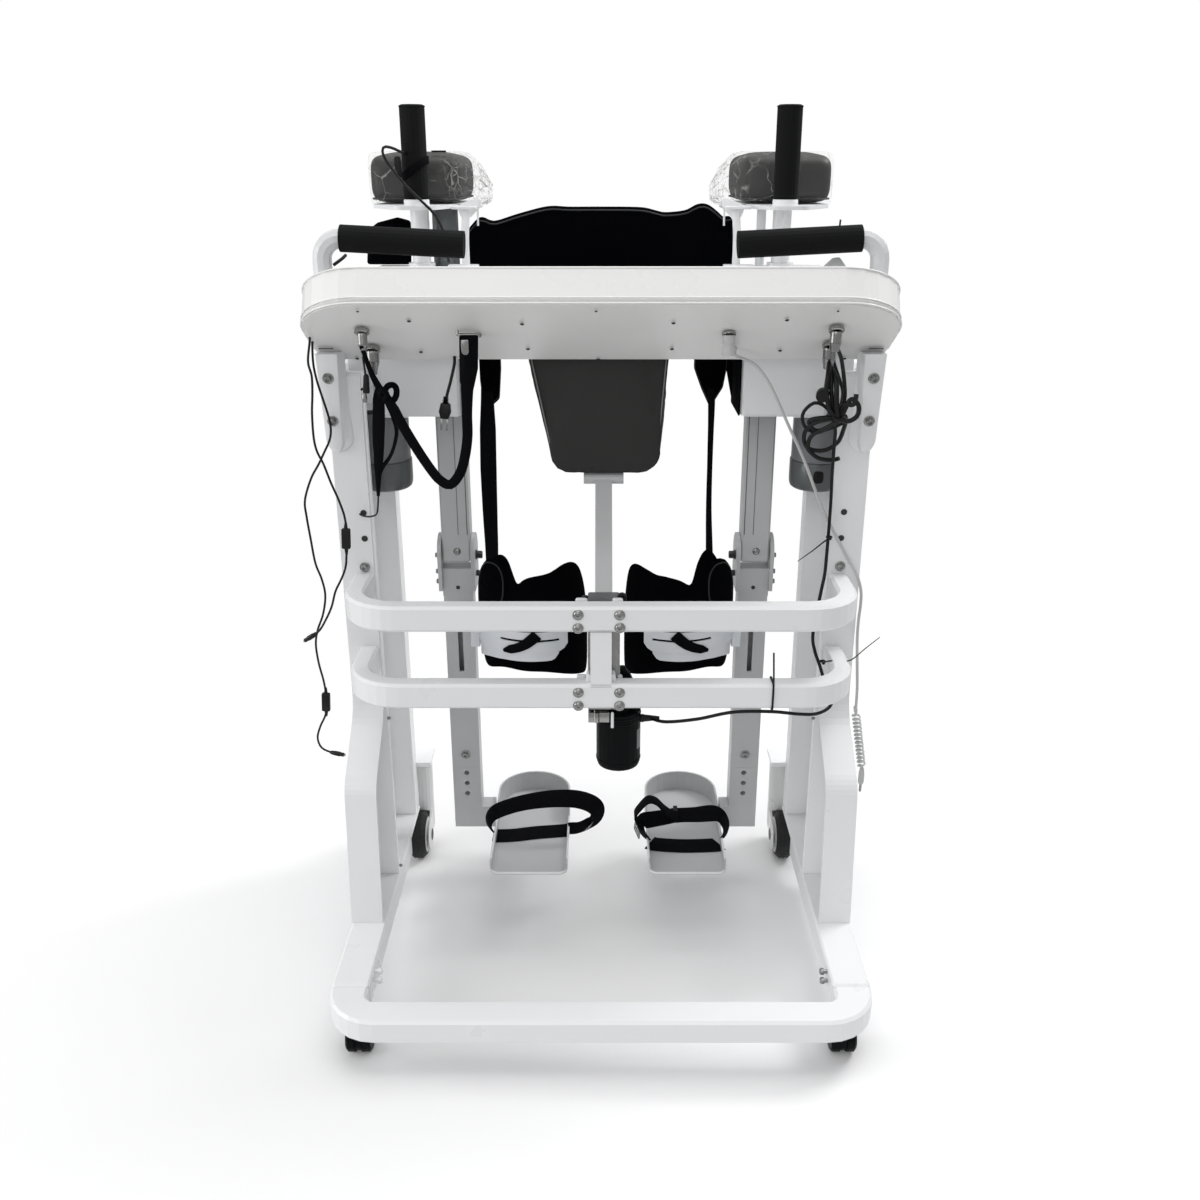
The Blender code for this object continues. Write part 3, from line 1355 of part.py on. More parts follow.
def sensor_leads():
    """Two thin leads with small boxes and plugs on them, which hang beside the left upright."""
    exit_x = CONSOLE_HALF_WIDTH - 0.0045
    long_lead = smooth_path(
        tray_exit(-exit_x, -0.012, LEAD_RADIUS)
        + beside([
            (0.0056, -0.014, 0.945), (0.0027, -0.014, 0.923), (-0.0035, -0.014, 0.897),
            (-0.0094, -0.014, 0.872), (-0.0108, -0.014, 0.854), (-0.0074, -0.014, 0.839),
            (-0.0003, -0.016, 0.825), (0.0100, -0.016, 0.806), (0.0227, -0.016, 0.785),
            (0.0346, -0.014, 0.753), (0.0350, -0.012, 0.728), (0.0328, -0.010, 0.695),
            (0.0296, -0.008, 0.656), (0.0231, -0.006, 0.631), (0.0199, -0.006, 0.605),
            (0.0258, -0.006, 0.575), (0.0362, -0.006, 0.549), (0.0413, -0.004, 0.525),
            (0.0398, -0.003, 0.494), (0.0355, -0.002, 0.466), (0.0338, -0.002, 0.442),
            (0.0367, -0.002, 0.409), (0.0464, -0.002, 0.388), (0.0528, -0.002, 0.368),
            (0.0484, -0.004, 0.352), (0.0351, -0.008, 0.346), (0.0132, -0.014, 0.344),
        ], -1),
        0.0105,
    )
    box, last = reached(long_lead, 0.440), len(long_lead) - 1
    bulges = [(box, box + 2, 2.2), (last - 2, last, 2.4)]
    lead = cord("sensor_lead_long", long_lead, LEAD_RADIUS, 1, swollen(long_lead, bulges))
    dress(lead, CABLE_BLACK)
    short_lead = smooth_path(
        tray_exit(-exit_x, -0.025, LEAD_RADIUS)
        + beside([
            (0.0086, -0.030, 0.951), (0.0053, -0.030, 0.932), (0.0066, -0.030, 0.907),
            (0.0094, -0.030, 0.881), (0.0101, -0.030, 0.848), (0.0073, -0.030, 0.828),
            (-0.0002, -0.030, 0.810), (-0.0084, -0.030, 0.783), (-0.0182, -0.030, 0.755),
            (-0.0241, -0.030, 0.730), (-0.0236, -0.030, 0.706), (-0.0214, -0.030, 0.670),
            (-0.0181, -0.030, 0.654), (-0.0110, -0.030, 0.638), (-0.0015, -0.030, 0.620),
            (0.0061, -0.030, 0.596), (0.0172, -0.030, 0.574), (0.0294, -0.028, 0.556),
            (0.0492, -0.026, 0.542),
        ], -1),
        0.0105,
    )
    box, last = reached(short_lead, 0.715), len(short_lead) - 1
    bulges = [(box, box + 2, 2.2), (last - 1, last, 2.4)]
    lead = cord("sensor_lead_short", short_lead, LEAD_RADIUS, 1, swollen(short_lead, bulges))
    dress(lead, CABLE_BLACK)


def motor_cable():
    """The cable from the tray, looped once, down the right upright and along the guard bar to the motor."""
    motor_y = GUARD_FRONT + GUARD_DEPTH + SEAT_GAP + ACTUATOR_DEPTH / 2
    entry_x = MOTOR_X + MOTOR_RADIUS + SEAT_GAP
    points = smooth_path(
        tray_exit(0.326, 0.028, MOTOR_CABLE_RADIUS)
        + beside([
            (-0.0561, 0.008, 0.922), (-0.0500, 0.006, 0.903), (-0.0535, 0.002, 0.882),
            (-0.0636, -0.002, 0.860), (-0.0831, -0.006, 0.849), (-0.1027, -0.010, 0.858),
            (-0.1074, -0.014, 0.878), (-0.0920, -0.016, 0.893), (-0.0736, -0.018, 0.884),
            (-0.0617, -0.015, 0.859), (-0.0600, -0.010, 0.832), (-0.0586, -0.003, 0.788),
            (-0.0561, 0.004, 0.742), (-0.0557, 0.006, 0.697), (-0.0561, 0.006, 0.662),
            (-0.0577, 0.002, 0.635), (-0.0632, -0.004, 0.605), (-0.0720, -0.014, 0.548),
            (-0.0691, -0.020, 0.523), (-0.0611, -0.026, 0.501), (-0.0550, -0.034, 0.482),
            (-0.0460, -0.045, 0.461), (-0.0479, -0.060, 0.450), (-0.0712, -0.085, 0.450),
            (-0.1001, -0.101, 0.457), (-0.1434, -0.105, 0.463), (-0.1983, -0.105, 0.462),
        ])
        + [(0.140, -0.097, 0.447), (0.095, -0.080, 0.434)]
        + [(0.072, motor_y, 0.430), (entry_x, motor_y, 0.430)],
        0.014,
    )
    dress(cord("motor_cable", points, MOTOR_CABLE_RADIUS), CABLE_BLACK)


def power_plug():
    """A short pigtail under the tray, with a moulded mains plug on its end."""
    points = smooth_path(
        tray_exit(-0.206, 0.034, POWER_CORD_RADIUS)
        + [
            (-0.212, 0.024, 0.915), (-0.219, 0.020, 0.890), (-0.222, 0.018, 0.862),
        ],
        0.008,
    )
    last = len(points) - 1
    factors = swollen(points, [(last - 3, last, 3.6)])
    factors[last - 4] = 1.8
    dress(cord("power_plug", points, POWER_CORD_RADIUS, 2, factors), CABLE_BLACK)


# Whole object


def build():
    base_front_tube()
    guard_bar("lower_guard_bar", GUARD_HEIGHTS[0])
    guard_bar("upper_guard_bar", GUARD_HEIGHTS[1])
    guard_plate()
    console()
    seat_actuator()
    seat_motor()
    seat_post()
    seat_pad()
    harness()
    for label, side in sides():
        base_rail(label, side)
        side_frame(label, side)
        lift_column(label, side)
        console_bracket(label, side)
        handlebar(label, side)
        hip_drive(label, side)
        lift_shroud(label, side)
        forearm_post(label, side)
        forearm_grip(label, side)
        forearm_pad(label, side)
        thigh_link(label, side)
        shank_link(label, side)
        foot_bracket(label, side)
        foot_plate(label, side)
        calf_cuff(label, side)
        cuff_plate(label, side)
        front_caster(label, side)
        rear_caster(label, side)
    handset_cord()
    sensor_leads()
    motor_cable()
    power_plug()


build()
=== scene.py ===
import json
import math

import bmesh
import bpy
import numpy as np
from mathutils import Matrix, Vector


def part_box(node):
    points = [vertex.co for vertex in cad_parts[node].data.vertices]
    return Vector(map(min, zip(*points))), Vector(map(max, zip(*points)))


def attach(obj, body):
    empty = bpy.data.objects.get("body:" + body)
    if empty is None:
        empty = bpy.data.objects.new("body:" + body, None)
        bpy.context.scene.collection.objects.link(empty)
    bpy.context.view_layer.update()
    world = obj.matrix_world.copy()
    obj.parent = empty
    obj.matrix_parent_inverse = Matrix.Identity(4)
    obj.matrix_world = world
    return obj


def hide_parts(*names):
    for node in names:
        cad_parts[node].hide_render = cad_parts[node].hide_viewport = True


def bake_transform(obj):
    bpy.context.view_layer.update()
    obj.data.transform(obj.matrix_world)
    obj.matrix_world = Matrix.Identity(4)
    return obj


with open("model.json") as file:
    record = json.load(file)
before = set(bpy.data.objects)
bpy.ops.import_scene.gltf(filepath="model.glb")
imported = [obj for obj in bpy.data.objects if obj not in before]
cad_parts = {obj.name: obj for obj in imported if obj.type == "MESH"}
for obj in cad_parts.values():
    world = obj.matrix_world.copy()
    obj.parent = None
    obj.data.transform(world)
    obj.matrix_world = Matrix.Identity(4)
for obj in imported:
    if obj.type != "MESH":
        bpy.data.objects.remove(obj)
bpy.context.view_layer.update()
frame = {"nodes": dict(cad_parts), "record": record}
NODES = frame["nodes"]
SIDES = (("left", -1.0), ("right", 1.0))


def new_node(nodes, kind, values=None, **settings):
    """A shader node with its settings, and its input values by socket name or number."""
    node = nodes.new("ShaderNode" + kind)
    for label, value in settings.items():
        setattr(node, label, value)
    for socket, value in (values or {}).items():
        node.inputs[socket].default_value = value
    return node


def join(source, output, target, entry):
    """Links a node's output to another node's input, each by socket name or number."""
    source.id_data.links.new(source.outputs[output], target.inputs[entry])


# Camera, floor and light


def set_view():
    """A lens and place worked out from the photograph: 1.6 m in front of the origin and 1.2 m up."""
    data = bpy.data.cameras.new("camera")
    data.lens = 34.5
    data.sensor_width = 36.0
    data.sensor_fit = "AUTO"
    data.shift_x = -1.0 / 1200
    data.clip_start = 0.05
    camera = bpy.data.objects.new("camera", data)
    bpy.context.scene.collection.objects.link(camera)
    camera.location = (0.0, -1.6, 1.2)
    camera.rotation_euler = (math.radians(69.3), 0.0, 0.0)
    bpy.context.scene.camera = camera
    bpy.context.scene.view_settings.view_transform = "Standard"


def set_floor():
    """A pale floor that keeps the shadows and fades out with distance."""
    bm = bmesh.new()
    bmesh.ops.create_grid(bm, x_segments=1, y_segments=1, size=12.0)
    mesh = bpy.data.meshes.new("floor")
    bm.to_mesh(mesh)
    bm.free()
    floor = bpy.data.objects.new("floor", mesh)
    bpy.context.scene.collection.objects.link(floor)
    floor.location = (0, 4.0, -0.0003)
    material = bpy.data.materials.new("floor_pale")
    material.use_nodes = True
    nodes = material.node_tree.nodes
    shader = nodes["Principled BSDF"]
    shader.inputs["Base Color"].default_value = (0.84, 0.84, 0.845, 1)
    shader.inputs["Roughness"].default_value = 0.9
    shader.inputs["Specular IOR Level"].default_value = 0.1
    shader.inputs["Emission Color"].default_value = (1, 1, 1, 1)
    lift = new_node(nodes, "Math", {1: 0.03}, operation="MULTIPLY")
    seen = new_node(nodes, "LightPath")
    join(seen, "Is Camera Ray", lift, 0)
    join(lift, 0, shader, "Emission Strength")
    clear = new_node(nodes, "BsdfTransparent")
    place = new_node(nodes, "NewGeometry")
    reach = new_node(nodes, "VectorMath", operation="LENGTH")
    join(place, "Position", reach, 0)
    fade = new_node(nodes, "MapRange", {"From Min": 0.62, "From Max": 1.45}, interpolation_type="SMOOTHSTEP")
    join(reach, "Value", fade, "Value")
    blend = new_node(nodes, "MixShader")
    join(fade, "Result", blend, 0)
    join(shader, 0, blend, 1)
    join(clear, 0, blend, 2)
    join(blend, 0, nodes["Material Output"], "Surface")
    mesh.materials.append(material)


def set_world():
    """A white world, half as bright in what it lights as in what the camera sees."""
    world = bpy.data.worlds.new("studio")
    bpy.context.scene.world = world
    world.use_nodes = True
    nodes = world.node_tree.nodes
    background = nodes["Background"]
    path = new_node(nodes, "LightPath")
    seen = new_node(nodes, "Math", operation="MAXIMUM")
    join(path, "Is Camera Ray", seen, 0)
    join(path, "Is Transmission Ray", seen, 1)
    tone = new_node(nodes, "Mix", {"A": 0.5, "B": 1.0}, data_type="FLOAT")
    join(seen, 0, tone, "Factor")
    join(tone, "Result", background, "Strength")
    background.inputs["Color"].default_value = (1, 1, 1, 1)


def lamp(name, place, aim, size, power):
    """A square soft lamp at place, turned towards aim."""
    data = bpy.data.lights.new(name, "AREA")
    data.shape = "RECTANGLE"
    data.size = data.size_y = size
    data.energy = power
    thing = bpy.data.objects.new(name, data)
    bpy.context.scene.collection.objects.link(thing)
    thing.location = place
    thing.rotation_euler = (Vector(aim) - Vector(place)).to_track_quat("-Z", "Y").to_euler()


set_view()
set_floor()
set_world()
lamp("key", (1.9, 0.9, 2.6), (0.0, 0.1, 0.4), 1.0, 40)
lamp("front", (-0.6, -3.0, 2.4), (0.0, 0.1, 0.6), 2.4, 19)
lamp("left", (-2.6, -0.6, 1.2), (0.3, 0.1, 0.4), 1.6, 27)
lamp("top", (0.0, 0.2, 3.4), (0.0, 0.1, 0.4), 2.6, 50)


# Materials


def relief_group(name, detail, depth, strength):
    """A shader node group with a relief's sockets and bump: its tree, its input node and a way to end it."""
    tree = bpy.data.node_groups.new(name, "ShaderNodeTree")
    for label, value in (("Detail", detail), ("Depth", depth), ("Strength", strength)):
        socket = tree.interface.new_socket(label, in_out="INPUT", socket_type="NodeSocketFloat")
        socket.default_value = value
    for label, kind in (("Normal", "NodeSocketVector"), ("Height", "NodeSocketFloat")):
        tree.interface.new_socket(label, in_out="OUTPUT", socket_type=kind)
    start, end = tree.nodes.new("NodeGroupInput"), tree.nodes.new("NodeGroupOutput")

    def finish(height):
        """Sends a height through the bump to the group's outputs."""
        bump = new_node(tree.nodes, "Bump")
        for source, target in (
            (height, bump.inputs["Height"]), (start.outputs["Depth"], bump.inputs["Distance"]),
            (start.outputs["Strength"], bump.inputs["Strength"]),
            (bump.outputs["Normal"], end.inputs["Normal"]), (height, end.inputs["Height"]),
        ):
            tree.links.new(source, target)
        return tree

    return tree, start, finish


def grain_group():
    """Fine random relief on object coordinates: Detail is grains a metre, Depth their height in metres."""
    tree, start, finish = relief_group("grain", 900.0, 0.0001, 0.3)
    coords = new_node(tree.nodes, "TexCoord")
    noise = new_node(tree.nodes, "TexNoise", {"Detail": 2.0})
    join(coords, "Object", noise, "Vector")
    join(start, "Detail", noise, "Scale")
    return finish(noise.outputs["Fac"])


def cells_group():
    """Pebbled leather grain: rounded cells of 1 / Detail metres with creases between them."""
    tree, start, finish = relief_group("pebbles", 700.0, 0.0002, 0.4)
    coords = new_node(tree.nodes, "TexCoord")
    warp = new_node(tree.nodes, "TexNoise", {"Scale": 260.0})
    shift = new_node(tree.nodes, "VectorMath", {1: (0.0012, 0.0012, 0.0012)}, operation="MULTIPLY_ADD")
    cells = new_node(tree.nodes, "TexVoronoi", feature="DISTANCE_TO_EDGE")
    rounded = new_node(tree.nodes, "Math", {1: 0.45}, operation="POWER")
    join(coords, "Object", warp, "Vector")
    join(warp, "Color", shift, 0)
    join(coords, "Object", shift, 2)
    join(shift, "Vector", cells, "Vector")
    join(start, "Detail", cells, "Scale")
    join(cells, "Distance", rounded, 0)
    return finish(rounded.outputs[0])


def weave_group():
    """Webbing: ribs square to each other, Detail ribs a metre, as the product of two sine waves."""
    tree, start, finish = relief_group("weave", 600.0, 0.0003, 0.6)
    coords = new_node(tree.nodes, "TexCoord")
    scaled = new_node(tree.nodes, "VectorMath", operation="SCALE")
    split = new_node(tree.nodes, "SeparateXYZ")
    join(coords, "Object", scaled, 0)
    join(start, "Detail", scaled, "Scale")
    join(scaled, "Vector", split, 0)
    across = new_node(tree.nodes, "Math", operation="ADD")
    join(split, "X", across, 0)
    join(split, "Y", across, 1)
    waves = []
    for source in (across.outputs[0], split.outputs["Z"]):
        turn = new_node(tree.nodes, "Math", {1: math.tau}, operation="MULTIPLY")
        wave = new_node(tree.nodes, "Math", operation="SINE")
        tree.links.new(source, turn.inputs[0])
        join(turn, 0, wave, 0)
        waves.append(wave)
    product = new_node(tree.nodes, "Math", operation="MULTIPLY")
    join(waves[0], 0, product, 0)
    join(waves[1], 0, product, 1)
    return finish(product.outputs[0])


GRAINS = {"grain": grain_group(), "pebbles": cells_group(), "weave": weave_group()}


ROUGH_SPREAD = 0.08


def material(
    name, colour, rough, metal=0.0, grain="grain", detail=900.0, depth=0.0001, strength=0.3, mottle=0.06,
    patches=9.0, height_shade=0.0, specular=0.5,
):
    """A procedural finish: tone and roughness vary in soft patches, and a relief covers it; height_shade
    paints shade into the relief's hollows.
    """
    made = bpy.data.materials.new(name)
    made.use_nodes = True
    nodes, link = made.node_tree.nodes, made.node_tree.links.new
    shader = nodes["Principled BSDF"]
    coords = new_node(nodes, "TexCoord")
    noise = new_node(nodes, "TexNoise", {"Scale": patches, "Detail": 4.0})
    join(coords, "Object", noise, "Vector")
    tone = new_node(nodes, "MapRange", {
        "From Min": 0.3, "From Max": 0.7, "To Min": 1.0 - mottle, "To Max": 1.0,
    })
    join(noise, "Fac", tone, "Value")
    relief = new_node(
        nodes, "Group", {"Detail": detail, "Depth": depth, "Strength": strength}, node_tree=GRAINS[grain],
    )
    join(relief, "Normal", shader, "Normal")
    factor = tone.outputs["Result"]
    # painted shade: the low parts of the relief are darkened by height_shade
    if height_shade:
        shade = new_node(nodes, "MapRange", {
            "From Min": 0.0, "From Max": 0.8, "To Min": 1.0 - height_shade, "To Max": 1.0,
        })
        join(relief, "Height", shade, "Value")
        both = new_node(nodes, "Math", operation="MULTIPLY")
        join(shade, "Result", both, 0)
        link(factor, both.inputs[1])
        factor = both.outputs[0]
    paint = new_node(nodes, "VectorMath", {0: colour}, operation="SCALE")
    link(factor, paint.inputs["Scale"])
    join(paint, "Vector", shader, "Base Color")
    gloss = new_node(nodes, "MapRange", {
        "From Min": 0.3, "From Max": 0.7, "To Min": max(0.02, rough - ROUGH_SPREAD),
        "To Max": min(1.0, rough + ROUGH_SPREAD),
    })
    join(noise, "Fac", gloss, "Value")
    join(gloss, "Result", shader, "Roughness")
    shader.inputs["Metallic"].default_value = metal
    shader.inputs["Specular IOR Level"].default_value = specular
    return made


POWDER_RELIEF = {"detail": 1400, "depth": 0.00006, "strength": 0.25}
POWDER = material("white_powder_coat", (0.8, 0.81, 0.82), 0.34, mottle=0.003, **POWDER_RELIEF)
# Painted light: a lighter copy of the white powder coat, for the lift columns, standing in for the light that
# falls on them.
LIT_POWDER = material("lit_powder_coat_painted_light", (0.93, 0.94, 0.95), 0.36, mottle=0.02, **POWDER_RELIEF)
# Painted shade: a darker copy of the white powder coat, for the seat post, the legs, the foot plates and a
# grip latch, standing in for the shade on them; it also draws the guard bar's seam lines.
SHADED_POWDER = material("shaded_white_powder_coat", (0.52, 0.53, 0.535), 0.36, mottle=0.03, **POWDER_RELIEF)
# Painted shade: a darker, bluer copy of the white powder coat, for the cuff plates and their arms.
SHADE_POWDER = material("painted_shade_powder_coat", (0.74, 0.76, 0.79), 0.36, mottle=0.03, **POWDER_RELIEF)
TRAY = material(
    "white_tray_plastic", (0.79, 0.79, 0.785), 0.28, detail=700, depth=0.00003, strength=0.2, mottle=0.0,
)
# Painted shade: a darker copy of the tray plastic for the tray's underside, which lies in shade.
TRAY_UNDER_SHADE = material(
    "tray_underside_painted_shade", (0.74, 0.74, 0.73), 0.4, detail=900, depth=0.00004, strength=0.25, mottle=0.03,
)
FOAM = material(
    "black_foam", (0.0055, 0.0058, 0.0065), 0.88, grain="pebbles", detail=1100, depth=0.0002, strength=0.4,
    mottle=0.2, height_shade=0.25, specular=0.2,
)
SADDLE = material(
    "dark_leatherette", (0.024, 0.0235, 0.023), 0.5, grain="pebbles", detail=900, depth=0.00012,
    strength=0.35, mottle=0.1, specular=0.3,
)
PIPING = material("grey_piping", (0.2, 0.195, 0.19), 0.45, detail=1500)
PAD = material(
    "grey_pad", (0.017, 0.017, 0.0165), 0.5, grain="pebbles", detail=800, depth=0.00012, mottle=0.12,
    specular=0.25,
)
NEOPRENE = material("black_neoprene", (0.0012, 0.0013, 0.0022), 0.95, detail=2200, mottle=0.25, specular=0.03)
WEBBING = material(
    "black_webbing", (0.003, 0.0032, 0.0045), 0.8, grain="weave", detail=420, depth=0.0003, strength=0.6,
    mottle=0.15, specular=0.06,
)
ZINC = material(
    "zinc_steel", (0.34, 0.34, 0.335), 0.27, metal=1.0, detail=1200, depth=0.00003, strength=0.2, mottle=0.12,
    patches=60,
)
# Dark steel for screw heads and nuts; the same dark finish is painted shade for holes and slots.
DARK_STEEL_AND_HOLE_SHADE = material("dark_steel_and_painted_hole_shade", (0.05, 0.05, 0.05), 0.5, metal=0.6, detail=1200, depth=0.00003)
MOTOR = material(
    "black_motor", (0.004, 0.0045, 0.005), 0.3, detail=1600, depth=0.00005, strength=0.25, mottle=0.15,
    specular=0.06,
)
SHROUD = material(
    "grey_shroud", (0.19, 0.2, 0.21), 0.38, detail=1200, depth=0.00006, strength=0.25, mottle=0.08,
)
TYRE = material(
    "black_tyre", (0.014, 0.014, 0.015), 0.55, detail=1200, strength=0.35, mottle=0.25, specular=0.3,
)
HUB = material("white_caster", (0.74, 0.74, 0.74), 0.34, detail=900, depth=0.00004, strength=0.2, mottle=0.04)
RUBBER = material(
    "black_rubber", (0.004, 0.004, 0.0045), 0.42, detail=1500, depth=0.00004, strength=0.2, mottle=0.2,
    specular=0.3,
)
WHITE_CABLE = material(
    "white_cable", (0.52, 0.52, 0.52), 0.38, detail=1500, depth=0.00003, strength=0.2, mottle=0.04,
)
GREY_CAST = material(
    "light_grey_bar", (0.66, 0.67, 0.68), 0.32, detail=1300, depth=0.00006, strength=0.25, mottle=0.03,
)

BY_SLOT = {
    "white_powder_coat": POWDER, "white_tray_plastic": TRAY, "black_foam_grip": FOAM,
    "dark_grey_leatherette": SADDLE, "grey_pad_cover": PAD, "black_neoprene": NEOPRENE, "zinc_steel": ZINC,
    "black_motor_can": MOTOR, "grey_drive_shroud": SHROUD, "black_tyre": TYRE, "white_caster_plastic": HUB,
    "black_cable": RUBBER, "white_cable": WHITE_CABLE,
}
for part in frame["record"]["subparts"]:
    node = NODES[part["node"]]
    node.data.materials.clear()
    node.data.materials.append(BY_SLOT[part["material_slot"]])
# the underside plate takes the darker copy of the tray plastic: painted shade
NODES["console_base_plate"].data.materials[0] = TRAY_UNDER_SHADE
# the seat post takes the darker copy of the powder coat: painted shade
NODES["seat_post"].data.materials[0] = SHADED_POWDER
for label, side in SIDES:
    NODES["handlebar_" + label].data.materials[0] = GREY_CAST
    # the lift columns take the lighter copy of the powder coat: painted light
    NODES["lift_column_" + label].data.materials[0] = LIT_POWDER
    # the legs and foot plates take the darker copy of the powder coat: painted shade
    for name in ("thigh_link_", "shank_link_", "foot_bracket_", "foot_plate_"):
        NODES[name + label].data.materials[0] = SHADED_POWDER


# Places of the legs and the guard bar, as the part has them


LEG_SHIFT = 0.0075
CALF_X = 0.113
CALF_Y = 0.14
LINK_X = 0.241
FOOT_SHIFT = 0.0115
FOOT_X = 0.13
SOLE = 0.1222
BAR_FRONT = -0.118


# Shapes


def vec(*values):
    """The values as one array of floats."""
    return np.array(values, dtype=float)


def unit(vector):
    """The vector divided by its length."""
    vector = np.asarray(vector, dtype=float)
    return vector / np.linalg.norm(vector)


class Piece:
    """Gathers surfaces, each with its finish, into one object."""

    def __init__(self, name, *looks):
        """Starts an empty piece with its materials."""
        self.name = name
        self.looks = looks
        self.points = []
        self.faces = []
        self.finish = []

    def add(self, surface, look=0):
        """Takes in a surface, (points, faces), in the material numbered look."""
        points, faces = surface
        first = sum(len(p) for p in self.points)
        self.points.append(np.asarray(points, dtype=float))
        self.faces += [tuple(first + i for i in face) for face in faces]
        self.finish += [look] * len(faces)
        return self

    def done(self, body=None, sharp=35, smooth=0):
        """Makes the object: sharp is the angle past which an edge stays hard, smooth the subdivisions."""
        mesh = bpy.data.meshes.new(self.name)
        mesh.from_pydata(np.concatenate(self.points).tolist(), [], self.faces)
        for look in self.looks:
            mesh.materials.append(look)
        mesh.polygons.foreach_set("material_index", self.finish)
        bm = bmesh.new()
        bm.from_mesh(mesh)
        bmesh.ops.remove_doubles(bm, verts=bm.verts, dist=0.00002)
        bmesh.ops.recalc_face_normals(bm, faces=bm.faces)
        bm.to_mesh(mesh)
        bm.free()
        mesh.shade_smooth()
        mesh.set_sharp_from_angle(angle=math.radians(sharp))
        thing = bpy.data.objects.new(self.name, mesh)
        bpy.context.scene.collection.objects.link(thing)
        if smooth:
            step = thing.modifiers.new("smooth", "SUBSURF")
            step.levels = step.render_levels = smooth
        if body:
            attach(thing, body)
        return thing


def skin(rings, caps=True, ring_closed=True):
    """Quads between rings of equal length, point j of ring i being i * count + j, and n-gon ends."""
    rings = np.asarray(rings, dtype=float)
    rows, count = rings.shape[:2]
    i, j = np.meshgrid(np.arange(rows - 1), np.arange(count if ring_closed else count - 1), indexing="ij")
    a, b = i * count + j, i * count + (j + 1) % count
    faces = np.stack([a, b, b + count, a + count], axis=-1).reshape(-1, 4).tolist()
    if caps and ring_closed:
        faces += [list(range(count))[::-1], list(range((rows - 1) * count, rows * count))]
    return rings.reshape(-1, 3), faces


def sheet_of(grid):
    """One open surface from a grid of points."""
    return skin(grid, caps=False, ring_closed=False)


def along(points):
    """Unit tangents of a polyline."""
    points = np.asarray(points, dtype=float)
    steps = np.gradient(points, axis=0)
    return steps / np.linalg.norm(steps, axis=1)[:, None]


def line(points, step=0.008):
    """A Catmull-Rom curve through the points, read at about even steps."""
    places = [vec(*p) for p in points]
    ends = [places[0] * 2 - places[1]] + places + [places[-1] * 2 - places[-2]]
    t = np.linspace(0, 1, 24, endpoint=False)[:, None]
    fine = []
    for a, b, c, d in zip(ends, ends[1:], ends[2:], ends[3:]):
        linear = 2 * b + (c - a) * t
        curved = (2 * a - 5 * b + 4 * c - d) * t * t + (3 * b - a - 3 * c + d) * t**3
        fine.append((linear + curved) / 2)
    fine = np.vstack(fine + [places[-1]])
    reach = np.concatenate([[0], np.cumsum(np.linalg.norm(np.diff(fine, axis=0), axis=1))])
    goals = np.linspace(0, reach[-1], max(2, round(reach[-1] / step)) + 1)
    return np.stack([np.interp(goals, reach, fine[:, k]) for k in range(3)], axis=1)


def carried(path, first):
    """A side vector at each point, carried along the path with the least turning."""
    tangents = along(path)
    side = np.asarray(first, dtype=float)
    result = []
    for tangent in tangents:
        side = unit(side - tangent * side.dot(tangent))
        result.append(side)
    return tangents, np.array(result)


def tube(path, radius, sides=12):
    """A round tube, path + r * (cos t * side + sin t * other) for t in a full turn; r may vary."""
    path = np.asarray(path, dtype=float)
    upright = abs(along(path)[0][2]) < 0.8
    tangents, side = carried(path, (0, 0, 1) if upright else (1, 0, 0))
    other = np.cross(tangents, side)
    radii = np.broadcast_to(radius, (len(path),))[:, None, None]
    turn = np.linspace(0, math.tau, sides, endpoint=False)[None, :, None]
    return skin(path[:, None] + radii * (np.cos(turn) * side[:, None] + np.sin(turn) * other[:, None]))


def hoop(middle, u, v, count):
    """The points middle + u * cos t + v * sin t, for count values of t from 0 to a full turn."""
    t = np.linspace(0, math.tau, count)[:, None]
    return vec(*middle) + np.cos(t) * vec(*u) + np.sin(t) * vec(*v)


def strap(path, width, thick, facing):
    """A flat band with half-round edges: facing is where its flat side looks, once or for each point.

    A ring's point is path + across * x + normal * z. On one edge x = width / 2 - r + r * cos t and
    z = r * sin t, for t from -90 to 90 degrees and r half the thickness. On the other both are negative.
    """
    path = np.asarray(path, dtype=float)
    tangents = along(path)
    normal = np.broadcast_to(np.asarray(facing, dtype=float), path.shape)
    normal = normal - tangents * (normal * tangents).sum(axis=1, keepdims=True)
    normal /= np.linalg.norm(normal, axis=1, keepdims=True)
    across = np.cross(tangents, normal)
    r, turn = thick / 2, np.linspace(-math.pi / 2, math.pi / 2, 5)
    x = np.broadcast_to(width, (len(path),))[:, None] / 2 - r + r * np.cos(turn)
    x = np.concatenate([x, -x], axis=1)[..., None]
    z = np.concatenate([r * np.sin(turn), -r * np.sin(turn)])[:, None]
    return skin(path[:, None] + across[:, None] * x + normal[:, None] * z)


def turned(profile, place, axis=(0, 0, 1), sides=24, twist=0.0):
    """A turned shape: rows of (radius, height), where a third entry "hex" makes that row a hexagon."""
    axis = unit(axis)
    first = vec(1, 0, 0) if abs(axis[0]) < 0.9 else vec(0, 1, 0)
    u = unit(np.cross(axis, first))
    v = np.cross(axis, u)
    turn = np.linspace(0, math.tau, sides, endpoint=False)
    rings = []
    for radius, height, *shape in profile:
        reach = np.full(sides, max(radius, 0.00001))
        if shape:
            reach = reach * math.cos(math.pi / 6) / np.cos((turn % (math.pi / 3)) - math.pi / 6)
        spin = turn + twist
        rings.append(vec(*place) + axis * height + reach[:, None] * (
            np.cos(spin)[:, None] * u + np.sin(spin)[:, None] * v
        ))
    return skin(rings)


